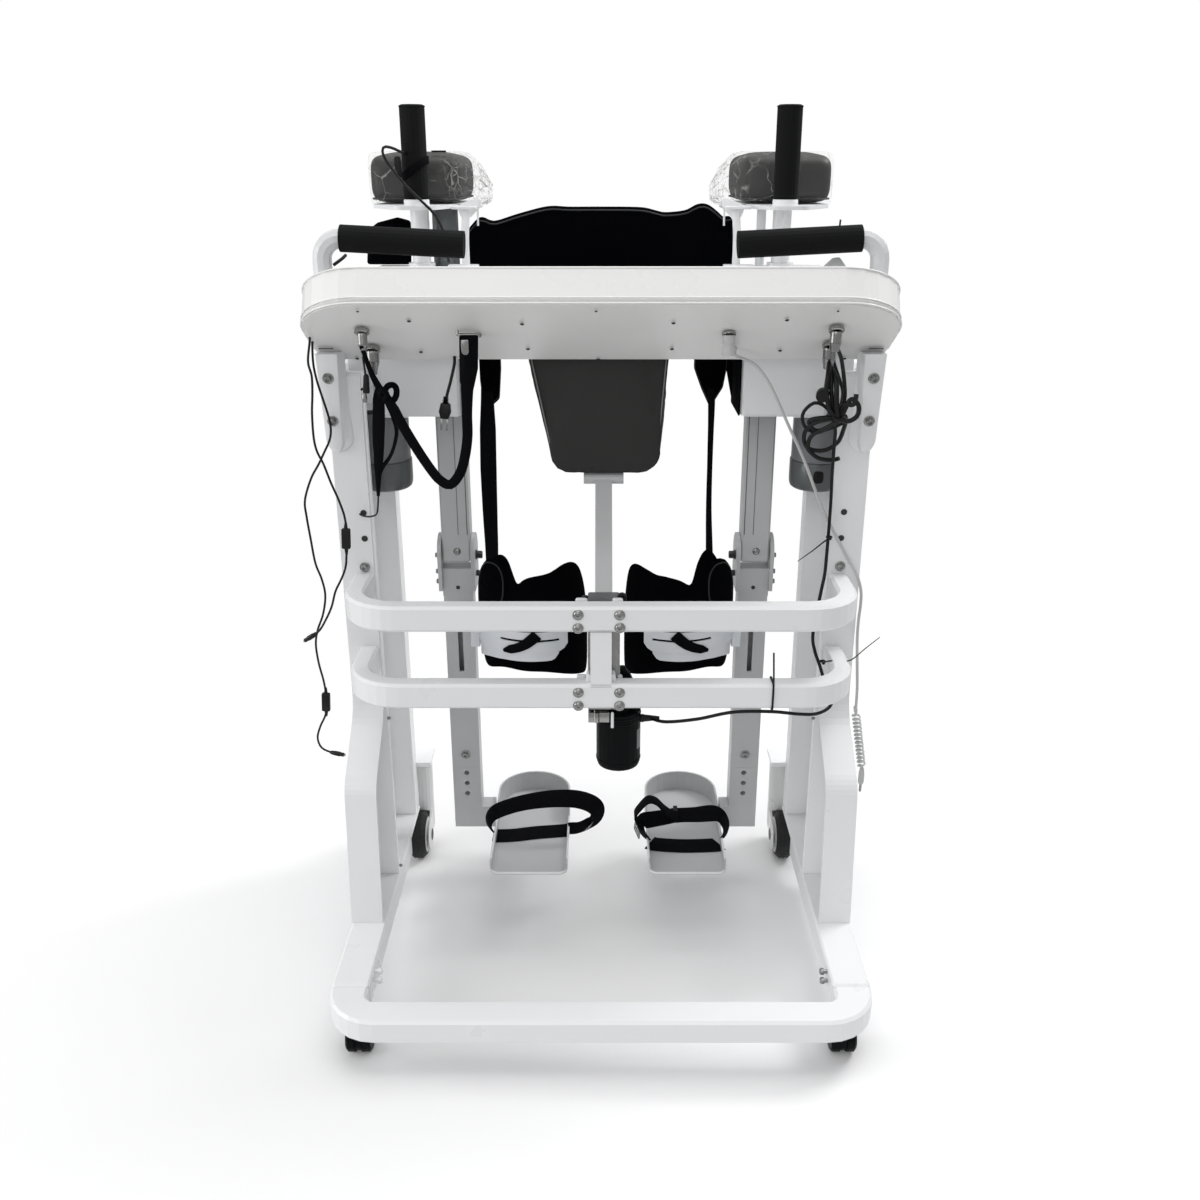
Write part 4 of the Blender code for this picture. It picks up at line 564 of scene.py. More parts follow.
def socket_bolt(place, axis, radius, height=None, twist=0.0):
    """A cap screw's head with its hexagonal socket, on a washer."""
    h = height or radius * 1.1
    lift = radius * 0.28
    rows = [
        (radius * 1.6, 0), (radius * 1.6, lift * 0.8), (radius * 1.5, lift), (radius * 0.97, lift),
        (radius, lift + h * 0.12), (radius, lift + h * 0.86), (radius * 0.88, lift + h),
        (radius * 0.58, lift + h, "hex"), (radius * 0.54, lift + h * 0.94, "hex"),
        (radius * 0.54, lift + h * 0.45, "hex"), (0.0, lift + h * 0.42),
    ]
    return turned(rows, place, axis, 24, twist)


def dome_screw(place, axis, radius, twist=0.0):
    """A low domed screw head with a hexagonal socket."""
    rows = [(radius, 0)]
    rows += [(radius * math.cos(a), radius * 0.55 * math.sin(a)) for a in np.linspace(0.15, 1.05, 5)]
    rows += [(radius * 0.42, radius * 0.5, "hex"), (radius * 0.4, radius * 0.2, "hex"), (0.0, radius * 0.18)]
    return turned(rows, place, axis, 24, twist)


def rounded_outline(corners, steps=5):
    """A closed outline in a plane: corners are (x, y, radius), each rounded by an arc."""
    points = []
    count = len(corners)
    for i, (x, y, radius) in enumerate(corners):
        here = vec(x, y)
        a = unit(vec(*corners[i - 1][:2]) - here)
        b = unit(vec(*corners[(i + 1) % count][:2]) - here)
        half = math.acos(max(-1, min(1, a.dot(b)))) / 2
        if radius <= 0:
            points.append(here)
            continue
        centre = here + unit(a + b) * radius / math.sin(half)
        start = here + a * radius / math.tan(half) - centre
        end = here + b * radius / math.tan(half) - centre
        for t in np.linspace(0, 1, steps + 1):
            points.append(centre + radius * unit(start * (1 - t) + end * t))
    return np.array(points)


def oblong(left, right, low, high, radius, steps=5):
    """The outline of a rectangle with four equal round corners."""
    return rounded_outline([
        (left, low, radius), (right, low, radius), (right, high, radius), (left, high, radius),
    ], steps)


def slab(outline, low, high, edge=0.001, place=None):
    """A plate of a 2D outline from low to high, its edges eased by a small round; place is a 4x4 Matrix."""
    outline = np.asarray(outline, dtype=float)
    middle = outline.mean(axis=0)
    rings = []
    for z, inset in (
        (low, edge), (low + edge * 0.3, edge * 0.3), (low + edge, 0), (high - edge, 0),
        (high - edge * 0.3, edge * 0.3), (high, edge),
    ):
        away = outline - middle
        scale = 1 - inset / np.maximum(np.linalg.norm(away, axis=1), edge * 2)
        flat = middle + away * scale[:, None]
        rings.append(np.column_stack([flat, np.full(len(flat), z)]))
    points, faces = skin(rings)
    if place is not None:
        turn = np.array(place.to_3x3())
        points = points @ turn.T + np.array(place.translation)
    return points, faces


def axes(origin, across, up):
    """A placing matrix with X along across and Z along up."""
    x, z = unit(across), unit(up)
    y = np.cross(z, x)
    made = Matrix(np.column_stack([x, y, z]).tolist()).to_4x4()
    made.translation = Vector(tuple(float(v) for v in origin))
    return made


FACING_FRONT = axes((0, 0, 0), (1, 0, 0), (0, -1, 0))


# Cords, on the routes that the frame's own cords follow

BASE_HALF = 0.388
TRAY_HALF = 0.397
TRAY_TILT = math.radians(30.4)
TRAY_FRONT = (-0.115, 1.036)
SEAT_GAP = 0.0003


def tray_under(y):
    """Height of the tray's underside at a given Y."""
    return TRAY_FRONT[1] - (y - TRAY_FRONT[0]) * math.tan(TRAY_TILT)


def tray_exit(x, y, radius):
    """Two points of a cord that leaves the tray's under side squarely: one there, one 5 radii down."""
    square = vec(0, math.sin(TRAY_TILT), math.cos(TRAY_TILT))
    start = vec(x, y, tray_under(y)) - square * SEAT_GAP
    return [tuple(start), tuple(start - square * 5 * radius)]


def beside(points, side=1):
    """A route beside the frame, its X given as the distance out from the base's side."""
    return [(side * (BASE_HALF + out), y, z) for out, y, z in points]


def free_cord(name, node, path, radius, look, sides=14):
    """A round cord of its own, which takes the place of a node."""
    piece = Piece(name, look).add(tube(path, radius, sides)).done("frame", sharp=60)
    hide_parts(node)
    return piece


def nearest_below(path, height):
    """The number of the path's first point at or under a height."""
    return int(np.argmax(path[:, 2] <= height))


def lead_box(piece, path, at, half_width, half_depth):
    """A small moulded box on a lead, with round ends where the lead runs in."""
    a, b = path[at - 2], path[at + 2]
    axis = unit(b - a)
    middle = (a + b) / 2
    reach = 0.015
    outline = oblong(-half_width, half_width, -reach, reach, 0.002, 4)
    front = unit(vec(0, -1, 0) - axis * vec(0, -1, 0).dot(axis))
    across = np.cross(axis, front)
    piece.add(slab(outline, -half_depth, half_depth, 0.0012, axes(middle, across, np.cross(across, axis))))
    for sign in (-1, 1):
        end = middle + axis * sign * reach
        rows = [(half_depth * 0.8, -0.001), (half_depth * 0.75, 0.002), (0.0022, 0.006), (0.0018, 0.009)]
        piece.add(turned(rows, end, axis * sign, 16))


HANDSET_RADIUS = 0.0022
CURL_RADIUS = 0.0016
LEAD_RADIUS = 0.0016
MOTOR_CABLE_RADIUS = 0.0025
POWER_RADIUS = 0.0022
CURL_TOP = (BASE_HALF + 0.0105, 0.022, 0.402)
CURL_END = (BASE_HALF + 0.0285, 0.022, 0.298)


def handset_lead():
    """The white lead with its curly end, and the small plug that hangs on it."""
    path = line(tray_exit(0.185, 0.006, HANDSET_RADIUS) + beside([
        (-0.191, 0.006, 0.95), (-0.173, 0.012, 0.94), (-0.1545, 0.016, 0.918), (-0.136, 0.018, 0.884),
        (-0.1216, 0.02, 0.855), (-0.0955, 0.02, 0.803), (-0.0654, 0.02, 0.733), (-0.0329, 0.022, 0.674),
        (-0.0171, 0.022, 0.647), (-0.0052, 0.022, 0.627), (0.0031, 0.024, 0.602), (0.0045, 0.024, 0.581),
        (0.0033, 0.024, 0.552), (0.0039, 0.024, 0.521), (0.0076, 0.024, 0.474), (0.01, 0.023, 0.44),
    ]) + [CURL_TOP], 0.005)
    start, end = vec(*CURL_TOP), vec(*CURL_END)
    down = unit(end - start)
    joint = Piece("handset_joint", WHITE_CABLE)
    joint.add(turned([
        (0.0024, -0.008), (0.0031, -0.006), (0.0031, 0.001), (0.0022, 0.004), (0.0017, 0.006),
    ], start, down, 16))
    joint = joint.done("frame")
    free_cord(
        "handset_lead", "handset_cord", path, HANDSET_RADIUS, WHITE_CABLE,
    )
    across = unit(np.cross(down, (0, 1, 0)))
    other = np.cross(down, across)
    straight = down * 2 * HANDSET_RADIUS
    turns, per_turn, swell = 14, 24, 0.0055
    curl = [start]
    for i in range(turns * per_turn + 1):
        t = i / (turns * per_turn)
        reach = swell * min(1.0, t * turns * 2, (1 - t) * turns * 2)
        angle = math.tau * turns * t
        middle = start + straight + (end - start - 2 * straight) * t
        curl.append(middle + across * reach * math.cos(angle) + other * reach * math.sin(angle))
    curl = np.array(curl + [end])
    plug = Piece("handset_connector", WHITE_CABLE, ZINC)
    low = vec(0, 0, -1)
    plug.add(turned([
        (0.0021, -0.004), (0.0036, -0.001), (0.0046, 0.007), (0.0046, 0.022), (0.004, 0.025), (0.0, 0.025),
    ], end, low, 20))
    for rib in range(5):
        plug.add(turned(
            [(0.0045, 0.0), (0.005, 0.0006), (0.0045, 0.0012)], end + low * (0.009 + rib * 0.0024), low, 20,
        ))
    plug.add(turned([(0.0022, 0.024), (0.0022, 0.038), (0.0016, 0.04), (0.0, 0.04)], end, low, 16), 1)
    plug = plug.done("frame")
    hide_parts("handset_plug")
    free_cord(
        "handset_spiral", "handset_curl", curl, CURL_RADIUS, WHITE_CABLE,
        10,
    )


LONG_LEAD = [
    (0.0056, -0.014, 0.945), (0.0027, -0.014, 0.923), (-0.0035, -0.014, 0.897), (-0.0094, -0.014, 0.872),
    (-0.0108, -0.014, 0.854), (-0.0074, -0.014, 0.839), (-0.0003, -0.016, 0.825), (0.01, -0.016, 0.806),
    (0.0227, -0.016, 0.785), (0.0346, -0.014, 0.753), (0.035, -0.012, 0.728), (0.0328, -0.01, 0.695),
    (0.0296, -0.008, 0.656), (0.0231, -0.006, 0.631), (0.0199, -0.006, 0.605), (0.0258, -0.006, 0.575),
    (0.0362, -0.006, 0.549), (0.0413, -0.004, 0.525), (0.0398, -0.003, 0.494), (0.0355, -0.002, 0.466),
    (0.0338, -0.002, 0.442), (0.0367, -0.002, 0.409), (0.0464, -0.002, 0.388), (0.0528, -0.002, 0.368),
    (0.0484, -0.004, 0.352), (0.0351, -0.008, 0.346), (0.0132, -0.014, 0.344),
]
SHORT_LEAD = [
    (0.0086, -0.03, 0.951), (0.0053, -0.03, 0.932), (0.0066, -0.03, 0.907), (0.0094, -0.03, 0.881),
    (0.0101, -0.03, 0.848), (0.0073, -0.03, 0.828), (-0.0002, -0.03, 0.81), (-0.0084, -0.03, 0.783),
    (-0.0182, -0.03, 0.755), (-0.0241, -0.03, 0.73), (-0.0236, -0.03, 0.706), (-0.0214, -0.03, 0.67),
    (-0.0181, -0.03, 0.654), (-0.011, -0.03, 0.638), (-0.0015, -0.03, 0.62), (0.0061, -0.03, 0.596),
    (0.0172, -0.03, 0.574), (0.0294, -0.028, 0.556), (0.0492, -0.026, 0.542),
]


def sensor_leads():
    """The two thin leads beside the left upright, each with its box and the plug on its end."""
    for name, exit_y, route, box_height in (
        ("long", -0.012, LONG_LEAD, 0.44), ("short", -0.025, SHORT_LEAD, 0.715),
    ):
        path = line(tray_exit(-(TRAY_HALF - 0.0045), exit_y, LEAD_RADIUS) + beside(route, -1), 0.0052)
        bits = Piece("lead_fittings_" + name, RUBBER, ZINC)
        lead_box(bits, path, nearest_below(path, box_height) + 2, 0.0062, 0.0036)
        tip = unit(path[-1] - path[-3])
        plug = [
            (0.0016, -0.016), (0.0028, -0.014), (0.0038, -0.006), (0.0038, 0.001), (0.0031, 0.003),
            (0.0031, 0.008), (0.0, 0.008),
        ]
        bits.add(turned([(r, h - 0.006) for r, h in plug], path[-1], tip, 18))
        bits.add(turned([(0.0018, 0.001), (0.0018, 0.0045), (0.0, 0.0045)], path[-1], tip, 12), 1)
        bits = bits.done("frame")
        free_cord(
            "sensor_cable_" + name, "sensor_lead_" + name, path, LEAD_RADIUS, RUBBER,
        )


def motor_lead():
    """The black cable that loops once, runs down the right upright and along the guard bar to the motor."""
    motor_y, entry_x = -0.0597, 0.0593
    path = line(
        tray_exit(0.326, 0.028, MOTOR_CABLE_RADIUS) + beside([
            (-0.0561, 0.008, 0.922), (-0.05, 0.006, 0.903), (-0.0535, 0.002, 0.882), (-0.0636, -0.002, 0.86),
            (-0.0831, -0.006, 0.849), (-0.1027, -0.01, 0.858), (-0.1074, -0.014, 0.878),
            (-0.092, -0.016, 0.893), (-0.0736, -0.018, 0.884), (-0.0617, -0.015, 0.859),
            (-0.06, -0.01, 0.832), (-0.0586, -0.003, 0.788), (-0.0561, 0.004, 0.742), (-0.0557, 0.006, 0.697),
            (-0.0561, 0.006, 0.662), (-0.0577, 0.002, 0.635), (-0.0632, -0.004, 0.605),
            (-0.072, -0.014, 0.548), (-0.0691, -0.02, 0.523), (-0.0611, -0.026, 0.501),
            (-0.055, -0.034, 0.482), (-0.046, -0.045, 0.461), (-0.0479, -0.06, 0.45), (-0.0712, -0.085, 0.45),
            (-0.1001, -0.101, 0.457), (-0.1434, -0.105, 0.463), (-0.1983, -0.105, 0.462),
        ]) + [(0.14, -0.097, 0.447), (0.095, -0.08, 0.434), (0.072, motor_y, 0.43), (entry_x, motor_y, 0.43)],
        0.006,
    )
    gland = Piece("motor_gland", RUBBER)
    rows = [
        (0.0062, 0.0), (0.0062, 0.004), (0.0055, 0.005), (0.0048, 0.012), (0.0036, 0.022), (0.0027, 0.028),
    ]
    gland.add(turned(rows, (entry_x - SEAT_GAP, motor_y, 0.43), (1, 0, 0), 20))
    gland = gland.done("frame")
    free_cord(
        "motor_lead", "motor_cable", path, MOTOR_CABLE_RADIUS, RUBBER,
    )


def mains_pigtail():
    """The short lead under the tray with its black two-pin plug."""
    path = line(tray_exit(-0.206, 0.034, POWER_RADIUS) + [
        (-0.212, 0.024, 0.915), (-0.219, 0.02, 0.89), (-0.222, 0.018, 0.862),
    ], 0.004)
    keep = nearest_below(path, 0.884)
    tip = unit(path[-1] - path[keep])
    start = path[keep]
    plug = Piece("mains_plug", RUBBER, ZINC)
    outline = rounded_outline([
        (-0.0065, 0.0, 0.002), (-0.0085, -0.012, 0.003), (-0.0055, -0.022, 0.002), (0.0055, -0.022, 0.002),
        (0.0085, -0.012, 0.003), (0.0065, 0.0, 0.002),
    ], 3)
    front = unit(vec(0, -1, 0) - tip * vec(0, -1, 0).dot(tip))
    across = np.cross(front, tip)
    plug.add(slab(outline, -0.0055, 0.0055, 0.0015, axes(start - tip * 0.004, across, front)))
    for rib in range(4):
        plug.add(turned([
            (0.003, 0.0), (0.004 + rib * 0.0004, 0.001), (0.003, 0.0022),
        ], start - tip * (0.006 + 0.0024 * (3 - rib)), tip, 16))
    for sign in (-1, 1):
        pin = oblong(-0.0011, 0.0011, -0.017, 0.0, 0)
        plug.add(slab(pin, -0.003, 0.003, 0.0003, axes(
            start + tip * 0.0175 + across * sign * 0.004, across, front,
        )), 1)
    plug = plug.done("frame")
    free_cord(
        "mains_lead", "power_plug", path[: keep + 1], POWER_RADIUS, RUBBER,
    )


handset_lead()
sensor_leads()
motor_lead()
mains_pigtail()


# Cushions, made under pressure as cloth where time allows


def squared(turn, power):
    """The factor (|cos t|^n + |sin t|^n)^(-1/n) that pushes a circle out towards a square."""
    return (np.abs(np.cos(turn)) ** power + np.abs(np.sin(turn)) ** power) ** (-1 / power)


PILLOW_CELLS = (14, 18, 7)


def pillow_block(low, high, crown, power):
    """A closed block with round corners: points of a cube's faces pushed onto a superellipsoid, then crowned.

    A face point (a, b, c), each from -1 to 1, is scaled by (|a|^n + |b|^n + |c|^n)^(-1/n).
    """
    low, high = vec(*low), vec(*high)
    half, middle = (high - low) / 2, (high + low) / 2
    points, faces = [], []
    for axis in range(3):
        u, v = [k for k in range(3) if k != axis]
        nu, nv = PILLOW_CELLS[u], PILLOW_CELLS[v]
        i, j = np.meshgrid(np.arange(nu + 1), np.arange(nv + 1), indexing="ij")
        for sign in (-1, 1):
            first = sum(len(part) for part in points)
            p = np.zeros((nu + 1, nv + 1, 3))
            p[..., axis] = sign
            p[..., u] = np.sin((2 * i / nu - 1) * math.pi / 4) / math.sin(math.pi / 4)
            p[..., v] = np.sin((2 * j / nv - 1) * math.pi / 4) / math.sin(math.pi / 4)
            p *= (np.abs(p) ** power).sum(axis=-1, keepdims=True) ** (-1 / power)
            drop = 1 - crown * (1 - (1 - p[..., 0] ** 2) * (1 - p[..., 1] ** 2)) * 0.5
            p[..., 2] *= np.where(p[..., 2] > 0, drop, 1.0)
            points.append((middle + p * half).reshape(-1, 3))
            a = (first + i * (nv + 1) + j)[:-1, :-1]
            faces += np.stack([a, a + nv + 1, a + nv + 2, a + 1], axis=-1).reshape(-1, 4).tolist()
    return np.concatenate(points), faces


CLOTH_FRAMES = 20


def puff(thing, pressure, cap, pinned_below=None):
    """Lets air into a closed cushion as cloth, keeps each point within cap of its start, and applies it."""
    scene = bpy.context.scene
    mesh = thing.data
    before = np.empty(len(mesh.vertices) * 3)
    mesh.vertices.foreach_get("co", before)
    before = before.reshape(-1, 3)
    cloth = thing.modifiers.new("cloth", "CLOTH")
    settings = {
        "quality": 5, "mass": 0.3, "tension_stiffness": 25, "compression_stiffness": 25, "shear_stiffness": 8,
        "bending_stiffness": 0.8, "use_pressure": True, "uniform_pressure_force": pressure,
    }
    for name, value in settings.items():
        setattr(cloth.settings, name, value)
    cloth.settings.effector_weights.gravity = 0.0
    cloth.point_cache.frame_start = 1
    cloth.point_cache.frame_end = CLOTH_FRAMES
    for frame_number in range(1, CLOTH_FRAMES + 1):
        scene.frame_set(frame_number)
    view = bpy.context.evaluated_depsgraph_get()
    shaped = thing.evaluated_get(view).to_mesh()
    after = np.empty(len(shaped.vertices) * 3)
    shaped.vertices.foreach_get("co", after)
    thing.evaluated_get(view).to_mesh_clear()
    thing.modifiers.remove(cloth)
    scene.frame_set(1)
    move = after.reshape(-1, 3) - before
    reach = np.linalg.norm(move, axis=1)
    move *= np.minimum(1.0, cap / np.maximum(reach, 1e-9))[:, None]
    if pinned_below is not None:
        move[before[:, 2] < pinned_below, 2] *= 0.1
    mesh.vertices.foreach_set("co", (before + move).ravel())
    mesh.update()


def film_material():
    """Thin clear wrap: see-through, with fine creases along warped cell edges, in bunches, raised by a bump;
    the creases are drawn more opaque in the pale film colour, a painted highlight that makes them look white.
    """
    made = bpy.data.materials.new("clear_film")
    made.use_nodes = True
    nodes = made.node_tree.nodes
    shader = nodes["Principled BSDF"]
    coords = new_node(nodes, "TexCoord")
    warp = new_node(nodes, "TexNoise", {"Scale": 45.0})
    join(coords, "Object", warp, "Vector")
    shift = new_node(nodes, "VectorMath", {1: (0.016, 0.016, 0.016)}, operation="MULTIPLY_ADD")
    join(warp, "Color", shift, 0)
    join(coords, "Object", shift, 2)

    def edges(scale, width):
        """A thin ridge along the borders of the cells."""
        cells = new_node(nodes, "TexVoronoi", {"Scale": scale}, feature="DISTANCE_TO_EDGE")
        join(shift, "Vector", cells, "Vector")
        thin = new_node(nodes, "MapRange", {"From Min": width, "From Max": 0.0})
        join(cells, "Distance", thin, "Value")
        return thin

    def patches(scale, low, high):
        """Broad soft patches of noise, read between two levels."""
        noise = new_node(nodes, "TexNoise", {"Scale": scale})
        join(coords, "Object", noise, "Vector")
        ramp = new_node(nodes, "MapRange", {"From Min": low, "From Max": high})
        join(noise, "Fac", ramp, "Value")
        return ramp

    def combined(operation, first, second):
        """A math node on two nodes' first outputs."""
        node = new_node(nodes, "Math", operation=operation)
        join(first, 0, node, 0)
        join(second, 0, node, 1)
        return node

    split = new_node(nodes, "SeparateXYZ")
    join(coords, "Object", split, "Vector")
    size = new_node(nodes, "Math", operation="ABSOLUTE")
    join(split, "X", size, 0)
    inner = new_node(nodes, "MapRange", {"From Min": 0.226, "From Max": 0.196})
    join(size, 0, inner, "Value")
    broad = combined("MULTIPLY", edges(24.0, 0.022), patches(22.0, 0.44, 0.62))
    bunched = combined("MULTIPLY", edges(62.0, 0.085), patches(48.0, 0.42, 0.6))
    fine = combined("MULTIPLY", bunched, inner)
    creases = combined("MAXIMUM", broad, fine)
    # painted highlight: along the creases the film turns more opaque, showing its pale colour as white glints
    alpha = new_node(nodes, "MapRange", {"To Min": 0.06, "To Max": 0.65})
    join(creases, 0, alpha, "Value")
    join(alpha, "Result", shader, "Alpha")
    bump = new_node(nodes, "Bump", {"Strength": 0.9, "Distance": 0.003})
    join(creases, 0, bump, "Height")
    join(bump, "Normal", shader, "Normal")
    shader.inputs["Base Color"].default_value = (0.6, 0.6, 0.585, 1)
    shader.inputs["Roughness"].default_value = 0.22
    shader.inputs["Specular IOR Level"].default_value = 0.35
    return made


FILM = film_material()


def forearm_cushion(label, side):
    """A grey arm pad with round edges and a seam round its foot."""
    low, high = (0.1965, 0.104, 1.1497), (0.3265, 0.324, 1.2165)
    points, faces = pillow_block(low, high, 0.1, power=6.5)
    points = np.array(points) * vec(side, 1, 1)
    pad = Piece("forearm_cushion_" + label, PAD).add((points, faces)).done(
        "forearm_support_" + label, sharp=80,
    )
    puff(pad, 2.5, 0.0025, pinned_below=1.156)
    step = pad.modifiers.new("smooth", "SUBSURF")
    step.levels = step.render_levels = 1
    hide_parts("forearm_pad_" + label)
    turn = np.linspace(0, math.tau, 73)
    scale = squared(turn, 6.5)
    seam = np.stack([
        side * (0.2615 + 0.064 * np.cos(turn) * scale), 0.214 + 0.109 * np.sin(turn) * scale,
        np.full(73, 1.156),
    ], axis=-1)
    Piece("forearm_seam_" + label, PIPING_BLACK).add(tube(seam, 0.0012, 8)).done("forearm_support_" + label)


def pad_film(label, side):
    """The clear film that an arm pad is still wrapped in, bunched at the pad's inner end.

    Round the pad it is a superellipse of power 6, which closes over the outer end by 1 - 0.9 d^2, d being the
    share of the last 8.5 mm, and shrinks and ripples as it is bunched.
    """
    film = Piece("pad_film_" + label, FILM)
    t, a = np.linspace(0, 1, 46)[:, None], np.linspace(0, math.tau, 60, endpoint=False)
    x = 0.3305 - t * 0.167
    bunch = np.maximum(0.0, (0.203 - x) / 0.0395)
    scale = squared(a, 6) * np.where(x > 0.322, 1 - ((x - 0.322) / 0.0085) ** 2 * 0.9, 1.0)
    scale = scale * (1 - bunch * (0.22 + 0.5 * bunch))
    wave = 0.0034 * bunch * np.sin(11 * a + 3 * t) + 0.0024 * bunch * np.sin(23 * a + 17 * t)
    ripple = 0.0007 * np.sin(7 * a + 40 * t) * np.sin(31 * t)
    y = 0.214 + 0.1125 * scale * np.cos(a) + wave + ripple
    z = 1.1825 - 0.019 * bunch + 0.0365 * scale * np.sin(a) + wave * 0.8 + ripple
    film.add(skin(np.stack(np.broadcast_arrays(side * x, y, z), axis=-1)))
    film.done("forearm_support_" + label, sharp=180)


def ovals(outline, middle, rise, power=3.0, steps=9):
    """Rings from an outline in to its middle, each lifted by rise * (1 - f^n)^(1/n); f is its size.

    Each ring is (u, v, height).
    """
    outline = np.asarray(outline, dtype=float)
    middle = vec(*middle)
    rings = []
    for t in np.linspace(0, 1, steps):
        f = max(math.cos(t * math.pi / 2), 0.02)
        height = rise * (1 - f**power) ** (1 / power)
        flat = middle + (outline - middle) * f
        rings.append(np.column_stack([flat, np.full(len(flat), height)]))
    return rings


def saddle():
    """The folding seat, hung from its hinge: a dark cushion with a flat back and a welt round its front."""
    corners = [
        (-0.0715, 0.769, 0.03), (-0.1065, 0.94, 0.03), (-0.096, 1.025, 0.04), (0.096, 1.025, 0.04),
        (0.1, 0.94, 0.03), (0.0865, 0.768, 0.034),
    ]
    coarse = rounded_outline(corners, 8)
    coarse = np.vstack([coarse, coarse[:1]])
    reach = np.concatenate([[0], np.cumsum(np.linalg.norm(np.diff(coarse, axis=0), axis=1))])
    goals = np.linspace(0, reach[-1], 120, endpoint=False)
    outline = np.stack([np.interp(goals, reach, coarse[:, k]) for k in range(2)], axis=1)
    middle = outline.mean(axis=0)
    front, back = 0.08, 0.103
    rings = ovals(outline, middle, 0.007, 2.6, 12)[::-1]
    points = [[(x, front - h, z) for x, z, h in ring] for ring in rings]
    wall = middle + (outline - middle) * 1.004
    for y in np.linspace(front + 0.004, back - 0.003, 4):
        points.append([(x, y, z) for x, z in wall])
    inner = middle + (outline - middle) * 0.985
    points.append([(x, back, z) for x, z in inner])
    cushion = Piece("saddle_cushion", SADDLE).add(skin(points)).done("saddle", sharp=180)
    puff(cushion, 3.0, 0.0025)
    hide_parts("seat_pad")
    edge = middle + (outline - middle) * 0.945
    loop = [(x, front - 0.003, z) for x, z in np.vstack([edge, edge[:1]])]
    Piece("saddle_welt", PIPING).add(tube(loop, 0.0011, 8)).done("saddle")
    board = middle + (outline - middle) * 0.93
    Piece("saddle_board", RUBBER).add(slab(board, -0.1075, -back, place=FACING_FRONT)).done("saddle")


BAND_END = 0.012


def band(columns, thick, power=3.2, sides=28):
    """A padded band: columns are (x, y, outward x, outward y, low, high), the section a superellipse.

    Its two ends close over BAND_END by a quarter ellipse.
    """
    columns = np.asarray(columns, dtype=float)
    walk = np.concatenate([[0], np.cumsum(np.linalg.norm(np.diff(columns[:, :2], axis=0), axis=1))])
    turn = np.linspace(0, math.tau, sides, endpoint=False)
    c, s = np.cos(turn) * squared(turn, power), np.sin(turn) * squared(turn, power)
    rings = []
    for (x, y, nx, ny, low, high), gone in zip(columns, walk):
        near = min(gone, walk[-1] - gone) / BAND_END
        close = math.sqrt(max(0.0, 1 - (1 - min(1.0, near)) ** 2)) * 0.97 + 0.03
        half = thick / 2 * close
        middle, tall = (low + high) / 2, (high - low) / 2 * (0.8 + 0.2 * close)
        rings.append(np.column_stack([x + nx * half * c, y + ny * half * c, middle + tall * s]))
    return skin(rings)


def eased(pairs, at):
    """Heights read from listed (place, height) pairs by a curve through them."""
    pairs = np.array(pairs, dtype=float)
    curve = line(np.column_stack([pairs * vec(0.001, 1), np.zeros(len(pairs))]), 0.0004)
    return np.interp(np.asarray(at) * 0.001, curve[:, 0], curve[:, 1])


CUFF_TOPS = {
    "left": [
        (0, 0.577), (20, 0.607), (32, 0.624), (42, 0.634), (51, 0.641), (58, 0.64), (63, 0.632), (68, 0.613),
        (73, 0.598), (80, 0.605), (88, 0.61), (107, 0.615), (115, 0.6195), (126, 0.6262), (138, 0.6262),
        (148, 0.616), (156, 0.593), (161, 0.566), (168, 0.52),
    ],
    "right": [
        (0, 0.579), (26, 0.607), (43, 0.63), (53, 0.647), (62, 0.65), (70, 0.632), (75, 0.604), (79, 0.597),
        (90, 0.605), (105, 0.61), (116, 0.6115), (128, 0.617), (141, 0.6207), (150, 0.618), (157, 0.606),
        (162, 0.575), (168, 0.53),
    ],
}
CUFF_FOOT = [(0, 0.441), (24, 0.441), (54, 0.4535), (81, 0.4528), (107, 0.4497), (145, 0.433), (168, 0.424)]


def on_cuff(side, angle, z, radius):
    """A point round the calf: the angle in degrees runs from the shank over the front to the inner side."""
    a = math.radians(angle)
    return (side * CALF_X + LEG_SHIFT + side * radius * math.cos(a), CALF_Y - radius * math.sin(a), z)


def cuff_columns(side, angles, lows, highs, radius):
    """The columns of a band round the calf: place, outward direction and two heights at each angle."""
    rows = []
    for angle, low, high in zip(angles, lows, highs):
        a = math.radians(angle)
        x, y = on_cuff(side, angle, 0, radius)[:2]
        rows.append((x, y, side * math.cos(a), -math.sin(a), low, high))
    return rows


def holed(us, rows, keep, place, thick):
    """A thin plate on a grid of cells, of which those not kept are open; place(u, v, height) bends it.

    rows gives the edge heights v for each u; walls close each edge between a kept cell and an open one.
    """
    count = len(rows[0])
    points = [place(u, v, h) for h in (0.0, thick) for u, row in zip(us, rows) for v in row]
    size = len(us) * count
    faces = []

    def at(i, j, k):
        """The number of the point in column i and row j, on face k."""
        return k * size + i * count + j

    kept = {(i, j) for i in range(len(us) - 1) for j in range(count - 1) if keep(i, j)}
    for i, j in sorted(kept):
        faces.append((at(i, j, 1), at(i + 1, j, 1), at(i + 1, j + 1, 1), at(i, j + 1, 1)))
        faces.append((at(i, j, 0), at(i, j + 1, 0), at(i + 1, j + 1, 0), at(i + 1, j, 0)))
        for (di, dj), (a, b) in {
            (-1, 0): ((i, j), (i, j + 1)), (1, 0): ((i + 1, j + 1), (i + 1, j)),
            (0, -1): ((i + 1, j), (i, j)), (0, 1): ((i, j + 1), (i + 1, j + 1)),
        }.items():
            if (i + di, j + dj) not in kept:
                faces.append((at(*a, 0), at(*b, 0), at(*b, 1), at(*a, 1)))
    return points, faces


